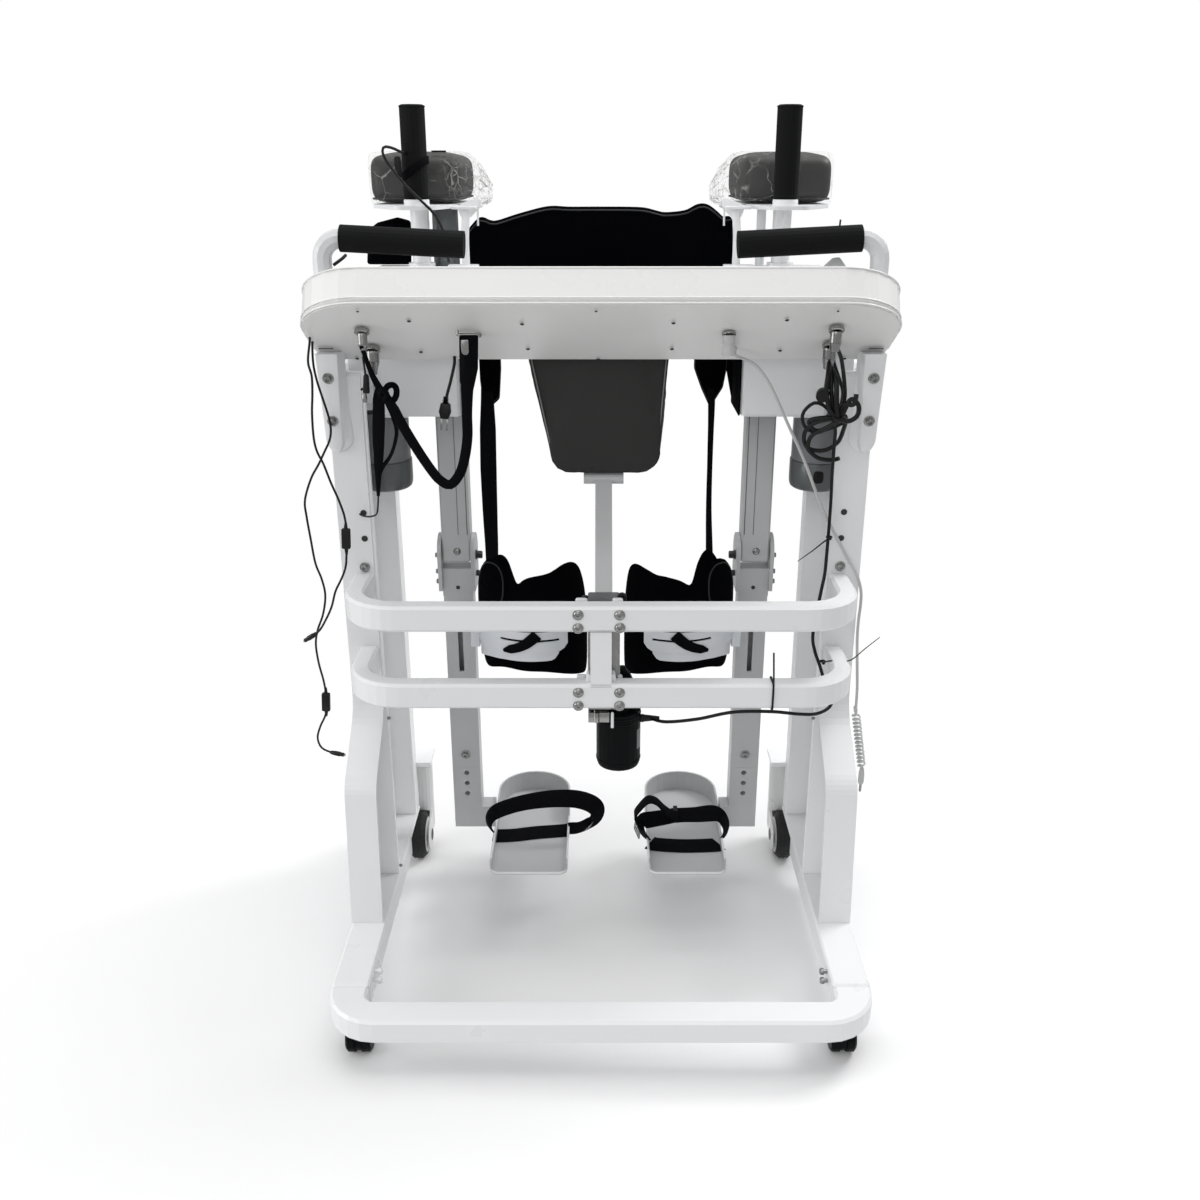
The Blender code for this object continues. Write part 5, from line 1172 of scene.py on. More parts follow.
def calf_cuff(label, side):
    """A neoprene cuff round the front of the calf."""
    angles = np.linspace(0, 168, 85)
    highs, lows = eased(CUFF_TOPS[label], angles), eased(CUFF_FOOT, angles)
    columns = cuff_columns(side, angles, lows, highs, 0.081)
    body = "shank_" + label
    cuff = Piece("cuff_" + label, NEOPRENE).add(band(
        columns, 0.0136, 3.4, 32,
    )).done(body, sharp=180, smooth=1)
    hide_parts("calf_cuff_" + label)


def cuff_lobe(label, side):
    """The raised oval lobe on the cuff's front, with a welt round it; arc is a degree's length in metres."""
    body = "shank_" + label
    arc = math.radians(1) * 0.09
    turn = np.linspace(0, math.tau, 72, endpoint=False)
    scale = squared(turn, 2.6)
    z = 0.578 + 0.056 * np.sin(turn) * scale
    tilt = 36 + (z - 0.572) * 190
    narrow = 1.0 - 0.25 * np.maximum(0.0, np.sin(turn))
    outline = np.stack([(tilt + 25 * np.cos(turn) * scale * narrow) * arc, z], axis=-1)
    rings = ovals(outline, np.mean(outline, axis=0), 0.0055, 2.2, 8)
    front = [[on_cuff(side, u / arc, z, 0.0885 + h) for u, z, h in ring] for ring in rings][::-1]
    front.append([on_cuff(side, u / arc, z, 0.085) for u, z, _ in rings[0]])
    lobe = Piece("cuff_lobe_" + label, NEOPRENE).add(skin(front)).done(body, sharp=180)
    puff(lobe, 2.0, 0.002)
    edge = [on_cuff(side, u / arc, z, 0.0885 + h + 0.0004) for u, z, h in rings[2]]
    Piece("cuff_welt_" + label, PIPING_BLACK).add(tube(edge + edge[:1], 0.0012, 6)).done(body)


def cuff_plates(label, side):
    """The slotted plate and the tab that carry the cuff, their arm from the shank, and the pull strap."""
    body = "shank_" + label
    us = np.append(np.arange(8, 117, 6.0), (121, 125))
    base = np.interp(us, (8, 40, 100, 119, 125), (0.483, 0.488, 0.4886, 0.4886, 0.5))
    slit, half = 0.5085, 0.0018
    rows = [(b, max(b + 0.002, slit - half), slit + half, 0.523) for b in base]
    upper = holed(
        us, rows, lambda i, j: j != 1 or us[i] < 55 or us[i] > 112,
        lambda u, v, h: on_cuff(side, u, v, 0.0908 + h), 0.0026,
    )
    us = np.append(np.arange(8, 109, 5.0), (111.5, 114, 116))
    base = np.interp(
        us, (8, 14, 24, 40, 60, 108, 112, 116), (0.457, 0.457, 0.463, 0.469, 0.4725, 0.4735, 0.476, 0.4845),
    )
    lower = holed(
        us, [(b, (b + 0.492) / 2, 0.492) for b in base], lambda i, j: True,
        lambda u, v, h: on_cuff(side, u, v, 0.0887 + h), 0.002,
    )
    # the cuff plates take the shaded copy of the powder coat: painted shade
    plates = Piece("cuff_plates_" + label, SHADE_POWDER).add(upper).add(lower)
    plates = plates.done(body, sharp=30)
    round_off = plates.modifiers.new("edges", "BEVEL")
    round_off.width = 0.0005
    round_off.segments = 2
    arm_x = sorted((side * 0.204 + LEG_SHIFT, side * 0.219 + LEG_SHIFT))
    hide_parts("cuff_plate_" + label)
    arm = oblong(arm_x[0], arm_x[1], 0.122, 0.192, 0.002, 3)
    Piece("cuff_arm_" + label, SHADE_POWDER).add(slab(arm, 0.468, 0.508, 0.0008)).done(body)
    pull = line([
        on_cuff(side, a, z, 0.0948)
        for a, z in ((60, 0.4895), (68, 0.4935), (75, 0.4975), (82, 0.5035), (88, 0.511), (94, 0.52))
    ], 0.004)
    facing = [unit(p * vec(1, 1, 0) - vec(side * CALF_X + LEG_SHIFT, CALF_Y, 0)) for p in pull]
    strip = strap(pull, np.interp(
        np.arange(len(pull)), (0, 3, len(pull) - 1), (0.005, 0.014, 0.019),
    ), 0.0018, facing)
    Piece("cuff_pull_" + label, WEBBING).add(strip).done(body)


BELT_HALF = 0.205
BELT_REACH = 0.2052
BELT_LOW = 1.046
BELT_DROP = 0.03
BELT_BACK = 0.23
BELT_BOW = 0.054


def harness():
    """The belt across the back of the waist, with a welt along its top edge."""
    top = [
        (-0.205, 1.098), (-0.195, 1.112), (-0.1787, 1.1288), (-0.1647, 1.1243), (-0.1532, 1.1241),
        (-0.121, 1.1336), (-0.0795, 1.1431), (-0.0466, 1.1422), (-0.0015, 1.1422), (0.0586, 1.1416),
        (0.0811, 1.1375), (0.0959, 1.1347), (0.1253, 1.1379), (0.1425, 1.1465), (0.1568, 1.1467),
        (0.1728, 1.1357), (0.1801, 1.1288), (0.1899, 1.1304), (0.1977, 1.1109), (0.205, 1.096),
    ]
    xs = np.linspace(-BELT_HALF, BELT_HALF, 110)
    highs = eased([(x * 1000, z) for x, z in top], xs * 1000)
    lows = BELT_LOW - BELT_DROP * np.abs(xs / BELT_HALF) ** 3
    columns = []
    for x, low, high in zip(xs, lows, highs):
        s = x / BELT_REACH
        normal = unit(vec(-2 * BELT_BOW * s / BELT_REACH, -1))
        crease = 0.0035 * math.exp(-(((x - 0.118) - (high - 1.1) * 0.5) / 0.01) ** 2)
        columns.append((x, BELT_BACK - BELT_BOW * s * s - crease, -normal[0], normal[1], low, high))
    belt = Piece("waist_belt", NEOPRENE).add(band(columns, 0.02, 3.0, 32)).done(
        "lift_carriage", sharp=180, smooth=1,
    )
    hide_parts("harness_belt")
    edge = [(x, y - 0.0085, high - 0.005) for x, y, _, _, _, high in columns[3:-3:2]]
    Piece("waist_welt", PIPING_BLACK).add(tube(edge, 0.0012, 6)).done("lift_carriage")


PIPING_BLACK = material("black_binding", (0.0075, 0.008, 0.01), 0.62, grain="weave", detail=900, strength=0.4)
for label, side in SIDES:
    forearm_cushion(label, side)
    pad_film(label, side)
    calf_cuff(label, side)
    cuff_lobe(label, side)
    cuff_plates(label, side)
saddle()
harness()


# Straps, webbing and the small hardware that holds them


LENS_RINGS = 7


def lens(outline, middle, rise, place, power=2.4):
    """A pad that is crowned on both sides: an outline's rings, raised and lowered over its middle."""
    front = ovals(outline, middle, rise, power, LENS_RINGS)
    back = ovals(outline, middle, -rise, power, LENS_RINGS)
    rings = [[place(*p) for p in ring] for ring in front[::-1] + back[1:]]
    return skin(rings)


def tapered_webbing(name, points, widths, thick, facing, body, blend=None):
    """A webbing strap through points, its width read between the listed widths."""
    path = line(points, 0.005)
    share = np.linspace(0, 1, len(path))
    width = np.interp(share, np.linspace(0, 1, len(widths)), widths)
    piece = Piece(name, WEBBING).add(strap(
        path, width, thick, facing,
    )).done(None if blend else body, sharp=60)
    if blend:
        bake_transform(piece)
    return piece


def belt_tails():
    """The padded ends of the waist belt, and the thin webbing that runs down from each to a calf cuff."""
    left = rounded_outline([
        (-0.188, 1.05, 0.006), (-0.153, 1.05, 0.006), (-0.1524, 0.91, 0.02), (-0.156, 0.862, 0.01),
        (-0.17, 0.85, 0.003), (-0.1822, 0.85, 0.003), (-0.1858, 0.89, 0.02),
    ], 4)
    right = rounded_outline([
        (0.1417, 1.05, 0.006), (0.1417, 0.91, 0.02), (0.154, 0.878, 0.012), (0.1665, 0.852, 0.003),
        (0.1715, 0.852, 0.003), (0.188, 0.88, 0.012), (0.193, 0.91, 0.02), (0.193, 1.05, 0.006),
    ], 4)
    for label, outline in (("left", left), ("right", right)):
        middle = outline.mean(axis=0)
        pad = Piece("belt_tail_" + label, NEOPRENE)
        pad.add(lens(outline, middle, 0.006, lambda u, v, h: (u, 0.172 - h, v), 3.0))
        pad = pad.done("lift_carriage", sharp=180, smooth=1)
        rim = middle + (outline - middle) * 0.93
        loop = [(x, 0.169, z) for x, z in np.vstack([rim, rim[:1]])]
        Piece("belt_tail_welt_" + label, PIPING_BLACK).add(tube(loop, 0.0009, 6)).done("lift_carriage")
    tapered_webbing(
        "cuff_webbing_left",
        [
            (-0.1755, 0.168, 0.88), (-0.1752, 0.166, 0.855), (-0.1758, 0.162, 0.8), (-0.176, 0.156, 0.7505),
            (-0.1742, 0.14, 0.68), (-0.1717, 0.12, 0.64), (-0.17, 0.097, 0.612), (-0.17, 0.078, 0.59),
        ],
        [0.018, 0.025, 0.0255, 0.0235, 0.0205, 0.0175], 0.0016, (0, -1, 0.05), "lift_carriage",
        blend=("lift_carriage", "thigh_left", (-0.175, 0.17, 0.88), (-0.175, 0.17, 0.62)),
    )
    tapered_webbing(
        "cuff_webbing_right",
        [
            (0.169, 0.168, 0.88), (0.1705, 0.166, 0.8535), (0.1705, 0.162, 0.78), (0.1702, 0.152, 0.7),
            (0.1702, 0.128, 0.65), (0.1702, 0.106, 0.6177), (0.172, 0.085, 0.595),
        ],
        [0.012, 0.0095, 0.0085, 0.009, 0.011, 0.013], 0.003, (0.1, -1, 0.05), "lift_carriage",
        blend=("lift_carriage", "thigh_right", (0.17, 0.17, 0.88), (0.17, 0.17, 0.62)),
    )
    slip = rounded_outline([
        (0.188, 0.93, 0.002), (0.2119, 0.93, 0.002), (0.2085, 0.856, 0.002), (0.204, 0.856, 0.002),
    ], 3)
    place = axes((0, 0.188, 0), (1, 0, 0), (0, -1, 0))
    Piece("belt_slip_right", WEBBING).add(slab(slip, -0.001, 0.001, 0.0004, place)).done("lift_carriage")


def tri_glide(name, place, facing, width, height, body, look=None):
    """A three-bar slider: a round-edged frame with a middle bar, in wire."""
    facing = unit(facing)
    across = unit(np.cross((0, 0, 1), facing)) if abs(facing[2]) < 0.9 else vec(1, 0, 0)
    up = np.cross(facing, across)
    piece = Piece(name, look or RUBBER)
    ring = oblong(-width / 2, width / 2, -height / 2, height / 2, 0.002, 4)
    loop = [vec(*place) + across * x + up * z for x, z in np.vstack([ring, ring[:1]])]
    piece.add(tube(loop, 0.0013, 8))
    piece.add(tube([vec(*place) - across * width / 2, vec(*place) + across * width / 2], 0.0012, 8))
    return piece.done(body, sharp=60)


def safety_straps():
    """The strap hung in a wire staple from the tray, its tail tied to a socket, and the folded strap."""
    staple = line([
        (-0.1915, -0.044, 0.9955), (-0.1905, -0.045, 0.9905), (-0.189, -0.0455, 0.9895),
        (-0.176, -0.0455, 0.9895), (-0.164, -0.0455, 0.9895), (-0.1622, -0.044, 0.9885),
        (-0.1617, -0.037, 0.9865), (-0.1617, -0.03, 0.9872),
    ], 0.0015)
    Piece("strap_staple", ZINC).add(tube(staple, 0.0021, 10)).done("frame", sharp=60)
    pad = rounded_outline([
        (-0.1885, 0.99, 0.003), (-0.1625, 0.99, 0.003), (-0.163, 0.948, 0.012), (-0.1715, 0.914, 0.006),
        (-0.184, 0.918, 0.004), (-0.1885, 0.93, 0.004),
    ], 4)
    place = lambda u, v, h: (u, -0.064 + (0.99 - v) * 0.03 - h + 0.016 * max(0.0, (v - 0.965) / 0.025), v)
    thick = Piece("strap_pad", WEBBING).add(lens(
        pad, pad.mean(axis=0), 0.0038, place, 3.4,
    )).done("frame", sharp=180, smooth=1)
    tongue = rounded_outline([
        (-0.1835, 0.986, 0.001), (-0.174, 0.986, 0.001), (-0.174, 0.9665, 0.0045), (-0.1835, 0.9665, 0.0045),
    ], 6)
    Piece("strap_tongue", ZINC).add(slab(tongue, 0.068, 0.0695, 0.0005, FACING_FRONT)).done("frame")
    tapered_webbing(
        "strap_tail",
        [
            (-0.1765, -0.0655, 0.93), (-0.1782, -0.0665, 0.9129), (-0.1799, -0.067, 0.8858),
            (-0.1806, -0.066, 0.8582), (-0.1851, -0.065, 0.8303), (-0.1929, -0.064, 0.806),
            (-0.2069, -0.062, 0.789), (-0.2202, -0.061, 0.7937), (-0.2321, -0.06, 0.8075),
            (-0.2516, -0.057, 0.8377), (-0.2718, -0.054, 0.874), (-0.2802, -0.051, 0.8917),
            (-0.292, -0.048, 0.907), (-0.301, -0.046, 0.922), (-0.3084, -0.045, 0.9376),
            (-0.3136, -0.052, 0.9594), (-0.3165, -0.062, 0.977),
        ],
        [0.015, 0.0138, 0.0138, 0.0138, 0.0135, 0.0135, 0.0138, 0.0135, 0.011, 0.007, 0.0055], 0.0016,
        (0.05, -1, 0.1), "frame",
    )
    tapered_webbing("strap_folded", [
        (-0.2985, -0.04, 0.915), (-0.303, -0.036, 0.9019), (-0.3043, -0.034, 0.8885),
        (-0.3081, -0.03, 0.8502), (-0.3109, -0.025, 0.8206), (-0.3144, -0.02, 0.7905),
        (-0.3183, -0.01, 0.7584),
    ], [0.0165, 0.0172, 0.018, 0.0165, 0.013, 0.0085, 0.0048], 0.003, (-0.1, -1, 0.1), "frame")
    hook = line([
        (-0.318, -0.011, 0.764), (-0.3183, -0.01, 0.7584), (-0.3225, 0.0, 0.7356), (-0.326, 0.006, 0.7265),
        (-0.3319, 0.013, 0.7217), (-0.3418, 0.018, 0.719), (-0.352, 0.024, 0.7195), (-0.356, 0.03, 0.72),
    ], 0.002)
    Piece("strap_hook", RUBBER).add(tube(hook, 0.0013, 8)).done("frame", sharp=60)
    tapered_webbing("strap_side_loop", [
        (-0.2938, -0.03, 0.899), (-0.288, -0.02, 0.8768), (-0.286, -0.01, 0.8553), (-0.2892, -0.01, 0.8362),
        (-0.297, -0.01, 0.817), (-0.3074, -0.015, 0.8028), (-0.3124, -0.02, 0.7929),
    ], [0.012, 0.012, 0.011], 0.0016, (-1, 0.25, 0.1), "frame")


def strap_clip():
    """The knot at the top of the folded strap, and the clip with its wire that hangs there."""
    knot = [
        (-0.285 - 0.0075 * math.cos(t), -0.04 - 0.0045 * math.sin(2 * t), 0.9114 + 0.0105 * math.sin(t))
        for t in np.linspace(0, math.tau, 30)
    ]
    knots = Piece("strap_knot", WEBBING)
    knots.add(strap(knot, 0.0085, 0.002, (0, -1, 0.2)))
    knots.add(tube(line([
        (-0.293, -0.046, 0.902), (-0.289, -0.051, 0.911), (-0.295, -0.052, 0.918), (-0.299, -0.045, 0.91),
    ], 0.002), 0.004, 10))
    knots.done("frame", sharp=60)
    clip = rounded_outline([
        (-0.3232, 0.91, 0.002), (-0.314, 0.91, 0.002), (-0.3135, 0.936, 0.005), (-0.3205, 0.9385, 0.004),
    ], 4)
    body = Piece("strap_clip", RUBBER, ZINC)
    body.add(lens(clip, clip.mean(axis=0), 0.005, lambda u, v, h: (u, -0.04 - h, v), 3.0))
    body.add(slab(rounded_outline([
        (-0.327, 0.914, 0.001), (-0.3215, 0.915, 0.001), (-0.3215, 0.918, 0.001), (-0.325, 0.918, 0.001),
    ], 2), 0.0385, 0.042, 0.0004, FACING_FRONT))
    body.add(turned([
        (0, 0), (0.0031, 0), (0.0034, 0.001), (0.0034, 0.0075), (0.0029, 0.011), (0, 0.011),
    ], (-0.3214, -0.04, 0.9092), (0, 0, -1), 16), 1)
    body.add(turned(
        [(0, 0), (0.0014, 0), (0.0014, 0.026), (0, 0.026)], (-0.317, -0.045, 0.937), (0, -0.35, 1), 8,
    ))
    body.done("frame", sharp=40)


def foot_strap(label, side):
    """A hook-and-loop strap through the foot plate's sides, arched over the shoe's place."""
    body = "foot_" + label
    if label == "left":
        over = [
            (-0.186, 0.108, 0.129), (-0.192, 0.108, 0.142), (-0.1905, 0.107, 0.156), (-0.18, 0.106, 0.169),
            (-0.156, 0.104, 0.181), (-0.13, 0.102, 0.19), (-0.101, 0.1, 0.1965), (-0.0717, 0.1, 0.199),
            (-0.0417, 0.102, 0.1965), (-0.018, 0.106, 0.186), (-0.0065, 0.111, 0.171), (-0.009, 0.114, 0.153),
            (-0.024, 0.116, 0.139), (-0.04, 0.118, 0.131), (-0.056, 0.118, 0.129),
        ]
        flat = [
            (-0.1845, 0.106, 0.125), (-0.18, 0.106, 0.1225), (-0.15, 0.108, SOLE), (-0.11, 0.1165, SOLE),
            (-0.064, 0.123, SOLE), (-0.057, 0.1235, 0.1245),
        ]
    else:
        over = [
            (0.08, 0.084, 0.129), (0.0712, 0.086, 0.1401), (0.066, 0.088, 0.154), (0.069, 0.09, 0.161),
            (0.085, 0.092, 0.163), (0.1131, 0.094, 0.1672), (0.1252, 0.094, 0.1698), (0.1614, 0.095, 0.1708),
            (0.1915, 0.095, 0.1732), (0.2053, 0.094, 0.1663), (0.2127, 0.092, 0.1506), (0.211, 0.09, 0.1365),
            (0.206, 0.088, 0.129),
        ]
        flat = [
            (0.083, 0.084, SOLE), (0.096, 0.079, SOLE), (0.14, 0.0745, SOLE), (0.19, 0.077, SOLE),
            (0.2, 0.08, SOLE),
        ]
    path = line(over, 0.004)
    middle = vec(side * FOOT_X + FOOT_SHIFT, 0.11, 0.14)
    lean = np.linspace(0.45, 1.5 if label == "left" else 0.5, len(path))
    facing = [
        unit((p - middle) * vec(1, 0, 1) + vec(0, -s * np.linalg.norm((p - middle)[[0, 2]]), 0))
        for p, s in zip(path, lean)
    ]
    webbing = Piece("foot_strap_" + label, WEBBING)
    wide = np.interp(
        np.linspace(0, 1, len(path)), (0, 0.15, 0.8, 1),
        (0.026, 0.028, 0.031, 0.026) if label == "left" else (0.026, 0.029, 0.029, 0.026),
    )
    webbing.add(strap(path, wide, 0.0018, facing))
    webbing.add(strap(line(flat, 0.004), 0.04, 0.0016, (0, 0, 1)))
    webbing = webbing.done(body, sharp=60)
    if label == "right":
        loop = line([
            (0.069, 0.078, 0.157), (0.0571, 0.078, 0.1784), (0.066, 0.079, 0.1957), (0.0793, 0.08, 0.2085),
            (0.0929, 0.081, 0.2043), (0.1051, 0.082, 0.1905), (0.119, 0.084, 0.1767), (0.13, 0.085, 0.172),
        ], 0.003)
        facing = [unit(vec(p[0] - 0.085, 0, p[2] - 0.175)) for p in loop]
        Piece("foot_loop", WEBBING).add(strap(loop, 0.026, 0.0032, facing)).done(body, sharp=60)
        keeper = oblong(-0.018, 0.018, -0.0035, 0.0035, 0.001, 3)
        Piece("foot_keeper", RUBBER).add(slab(keeper, 0, 0.003, 0.0006, axes(
            (0.1262, 0.0935, 0.1712), (0, 0.94, 0.3), (0, -0.3, 0.94),
        ))).done(body)
        tri_glide("foot_buckle_right", (0.0612, 0.088, 0.144), (-1, -0.2, 0.1), 0.034, 0.012, body, ZINC)
    else:
        tri_glide("foot_buckle_left", (-0.019, 0.113, 0.142), (0.7, -0.2, -0.7), 0.036, 0.012, body, ZINC)


def round_grip_cord():
    """A thin black lead looped round the left upright grip, with a binding strap and a pushed-on clip."""
    path = line([
        (-0.244, 0.074, 1.212), (-0.2612, 0.03, 1.2159), (-0.2743, 0.024, 1.2214), (-0.2842, 0.022, 1.2229),
        (-0.2871, 0.0215, 1.2175), (-0.2843, 0.021, 1.2081), (-0.2759, 0.021, 1.1955),
        (-0.2586, 0.0205, 1.1749), (-0.2394, 0.021, 1.1558), (-0.225, 0.029, 1.1397),
        (-0.2159, 0.045, 1.1169), (-0.214, 0.06, 1.09), (-0.214, 0.08, 1.0735),
    ], 0.004)
    lead = Piece("grip_lead", RUBBER).add(tube(path, 0.0019, 8)).done("forearm_support_left", sharp=60)
    turn = np.linspace(-2.6, 0.25, 26)
    band_path = [
        (-0.25 + 0.0182 * math.cos(a), 0.05 + 0.0182 * math.sin(a), 1.1955 + 0.0115 * math.cos(a))
        for a in turn
    ]
    facing = [unit(vec(math.cos(a), math.sin(a), 0)) for a in turn]
    Piece("grip_binding", WEBBING).add(strap(
        band_path, 0.0105, 0.0022, facing,
    )).done("forearm_support_left", sharp=60)
    blob = rounded_outline([
        (-0.2735, 1.213, 0.004), (-0.2655, 1.211, 0.003), (-0.264, 1.181, 0.003), (-0.269, 1.185, 0.004),
        (-0.2745, 1.2, 0.004),
    ], 4)
    Piece("grip_clip", RUBBER).add(lens(
        blob, blob.mean(axis=0), 0.004, lambda u, v, h: (u, 0.029 - h, v), 3.0,
    )).done("forearm_support_left", sharp=60)


belt_tails()
safety_straps()
strap_clip()
for label, side in SIDES:
    foot_strap(label, side)
round_grip_cord()


# Console trim, sockets and screws


TRAY_SQUARE = vec(0, math.sin(TRAY_TILT), math.cos(TRAY_TILT))
TRAY_SLOPE = vec(0, math.cos(TRAY_TILT), -math.sin(TRAY_TILT))


def on_tray(u, v, h):
    """A point by X, by the way down the slope from the underside's front edge, and by height above it."""
    return vec(u, TRAY_FRONT[0], TRAY_FRONT[1]) + TRAY_SLOPE * v + TRAY_SQUARE * h


def hole(place, axis, radius):
    """A round recess, barely sunk, with an eased edge; set in a dark finish, it is painted shade for a hole.
    """
    rim, floor = 0.0004, 0.00008
    rows = [(radius * 1.12, 0), (radius * 1.1, rim), (radius, rim), (radius * 0.95, floor), (0, floor)]
    return turned(rows, place, axis, 20)


def console_trim():
    """Three fine beads round the tray's rim, the screws of its underside, and dark strips of painted shade
    where the slots for the brackets are.
    """
    half, corner = TRAY_HALF + 0.0006, 0.087
    beads = Piece("console_beads", TRAY)
    for height, radius in ((0.0025, 0.0013), (0.01, 0.0009), (0.05, 0.0011)):
        path = [on_tray(-half, 0.15, height), on_tray(-half, 0.12, height)]
        for a in np.linspace(math.pi, math.pi / 2, 14):
            path.append(on_tray(-half + corner + corner * math.cos(a), corner - corner * math.sin(a), height))
        for x in np.linspace(-half + corner + 0.04, half - corner - 0.04, 12):
            path.append(on_tray(x, 0, height))
        for a in np.linspace(math.pi / 2, 0, 14):
            path.append(on_tray(half - corner + corner * math.cos(a), corner - corner * math.sin(a), height))
        path += [on_tray(half, 0.12, height), on_tray(half, 0.15, height)]
        beads.add(tube(path, radius, 8))
    beads.done("frame", sharp=60)
    heads = Piece("console_screws", DARK_STEEL_AND_HOLE_SHADE)
    for x, y in (
        (-0.3091, -0.103), (-0.0063, -0.1035), (0.3008, -0.104), (-0.2488, -0.0773), (-0.103, -0.069),
        (0.0943, -0.0718), (0.2405, -0.08), (-0.2494, 0.0132), (-0.1005, 0.0039), (0.0977, 0.0039),
        (0.2473, 0.0089), (-0.3427, 0.034), (-0.0042, 0.036), (0.3421, 0.034),
    ):
        place = vec(x, y, tray_under(y)) - TRAY_SQUARE * 0.0028
        heads.add(dome_screw(place, -TRAY_SQUARE, 0.0028 if y > -0.09 else 0.0019))
    heads.done("frame", sharp=40)
    # painted shade: dark strips where the brackets' slots are
    slots = Piece("console_slot_shades", DARK_STEEL_AND_HOLE_SHADE)
    for x in (-0.384, 0.384):
        outline = oblong(-0.0105, 0.0105, -0.0012, 0.0012, 0.001, 3)
        place = axes(vec(x * 0.985, 0.003, tray_under(0.003)) - TRAY_SQUARE * 0.0026, (1, 0, 0), -TRAY_SQUARE)
        slots.add(slab(outline, 0, 0.0005, 0.0002, place))
    slots.done("frame")


def sockets():
    """The round metal connectors screwed into the tray's underside, and the moulded handset socket."""
    metal = Piece("console_connectors", ZINC, DARK_STEEL_AND_HOLE_SHADE)
    down = -TRAY_SQUARE
    drop = unit(vec(0, 0.15, -1))

    def connector(x, y, ring, body, tip, length, lean):
        """A threaded ring under the tray with a ribbed plug body in it."""
        place = vec(x, y, tray_under(y)) - TRAY_SQUARE * 0.003
        metal.add(turned([
            (0, 0), (ring, 0), (ring * 1.04, 0.001), (ring * 1.04, 0.0042), (ring * 0.92, 0.0052),
            (body, 0.0052), (0, 0.0052),
        ], place, down, 28))
        rows = [(0, 0.004), (body * 0.94, 0.004)]
        for i in range(7):
            z = 0.006 + i * 0.0018
            rows += [(body, z), (body, z + 0.001), (body * 0.93, z + 0.0012), (body * 0.93, z + 0.0017)]
        rows += [
            (body * 1.02, 0.019), (tip * 1.1, length * 0.86), (tip, length), (tip * 0.5, length), (0, length),
        ]
        metal.add(turned(rows, place, lean, 28))

    connector(-0.3157, -0.0522, 0.0098, 0.0064, 0.0046, 0.026, unit(vec(0.02, -0.1, -1)))
    connector(-0.3139, 0.0, 0.0108, 0.009, 0.0052, 0.036, unit(vec(0.0, -0.1, -1)))
    connector(0.3097, -0.0579, 0.0102, 0.008, 0.006, 0.03, unit(vec(-0.03, -0.05, -1)))
    connector(0.3118, -0.0113, 0.0102, 0.0086, 0.0064, 0.034, drop)
    metal.done("frame", sharp=40)
    place = vec(0.1705, -0.0408, 0.9925) - TRAY_SQUARE * 0.002
    lean = unit(vec(0.0, -0.06, -1))
    plug = Piece("handset_socket", WHITE_CABLE, ZINC)
    plug.add(turned([(0, 0), (0.0092, 0), (0.0094, 0.0012), (0.009, 0.003), (0, 0.003)], place, down, 28), 1)
    plug.add(turned([
        (0, 0.002), (0.008, 0.002), (0.0086, 0.004), (0.0086, 0.012), (0.008, 0.0126), (0.008, 0.014),
        (0.0086, 0.0146), (0.0084, 0.027), (0.0076, 0.029), (0, 0.029),
    ], place, lean, 28))
    end = place + lean * 0.024
    boot = line([
        end, end + vec(0.006, 0.006, 0.0006), end + vec(0.0115, 0.022, 0.001), vec(0.1822, -0.002, 0.963),
    ], 0.002)
    plug.add(tube(boot, np.linspace(0.004, 0.0027, len(boot))))
    plug.done("frame", sharp=50)


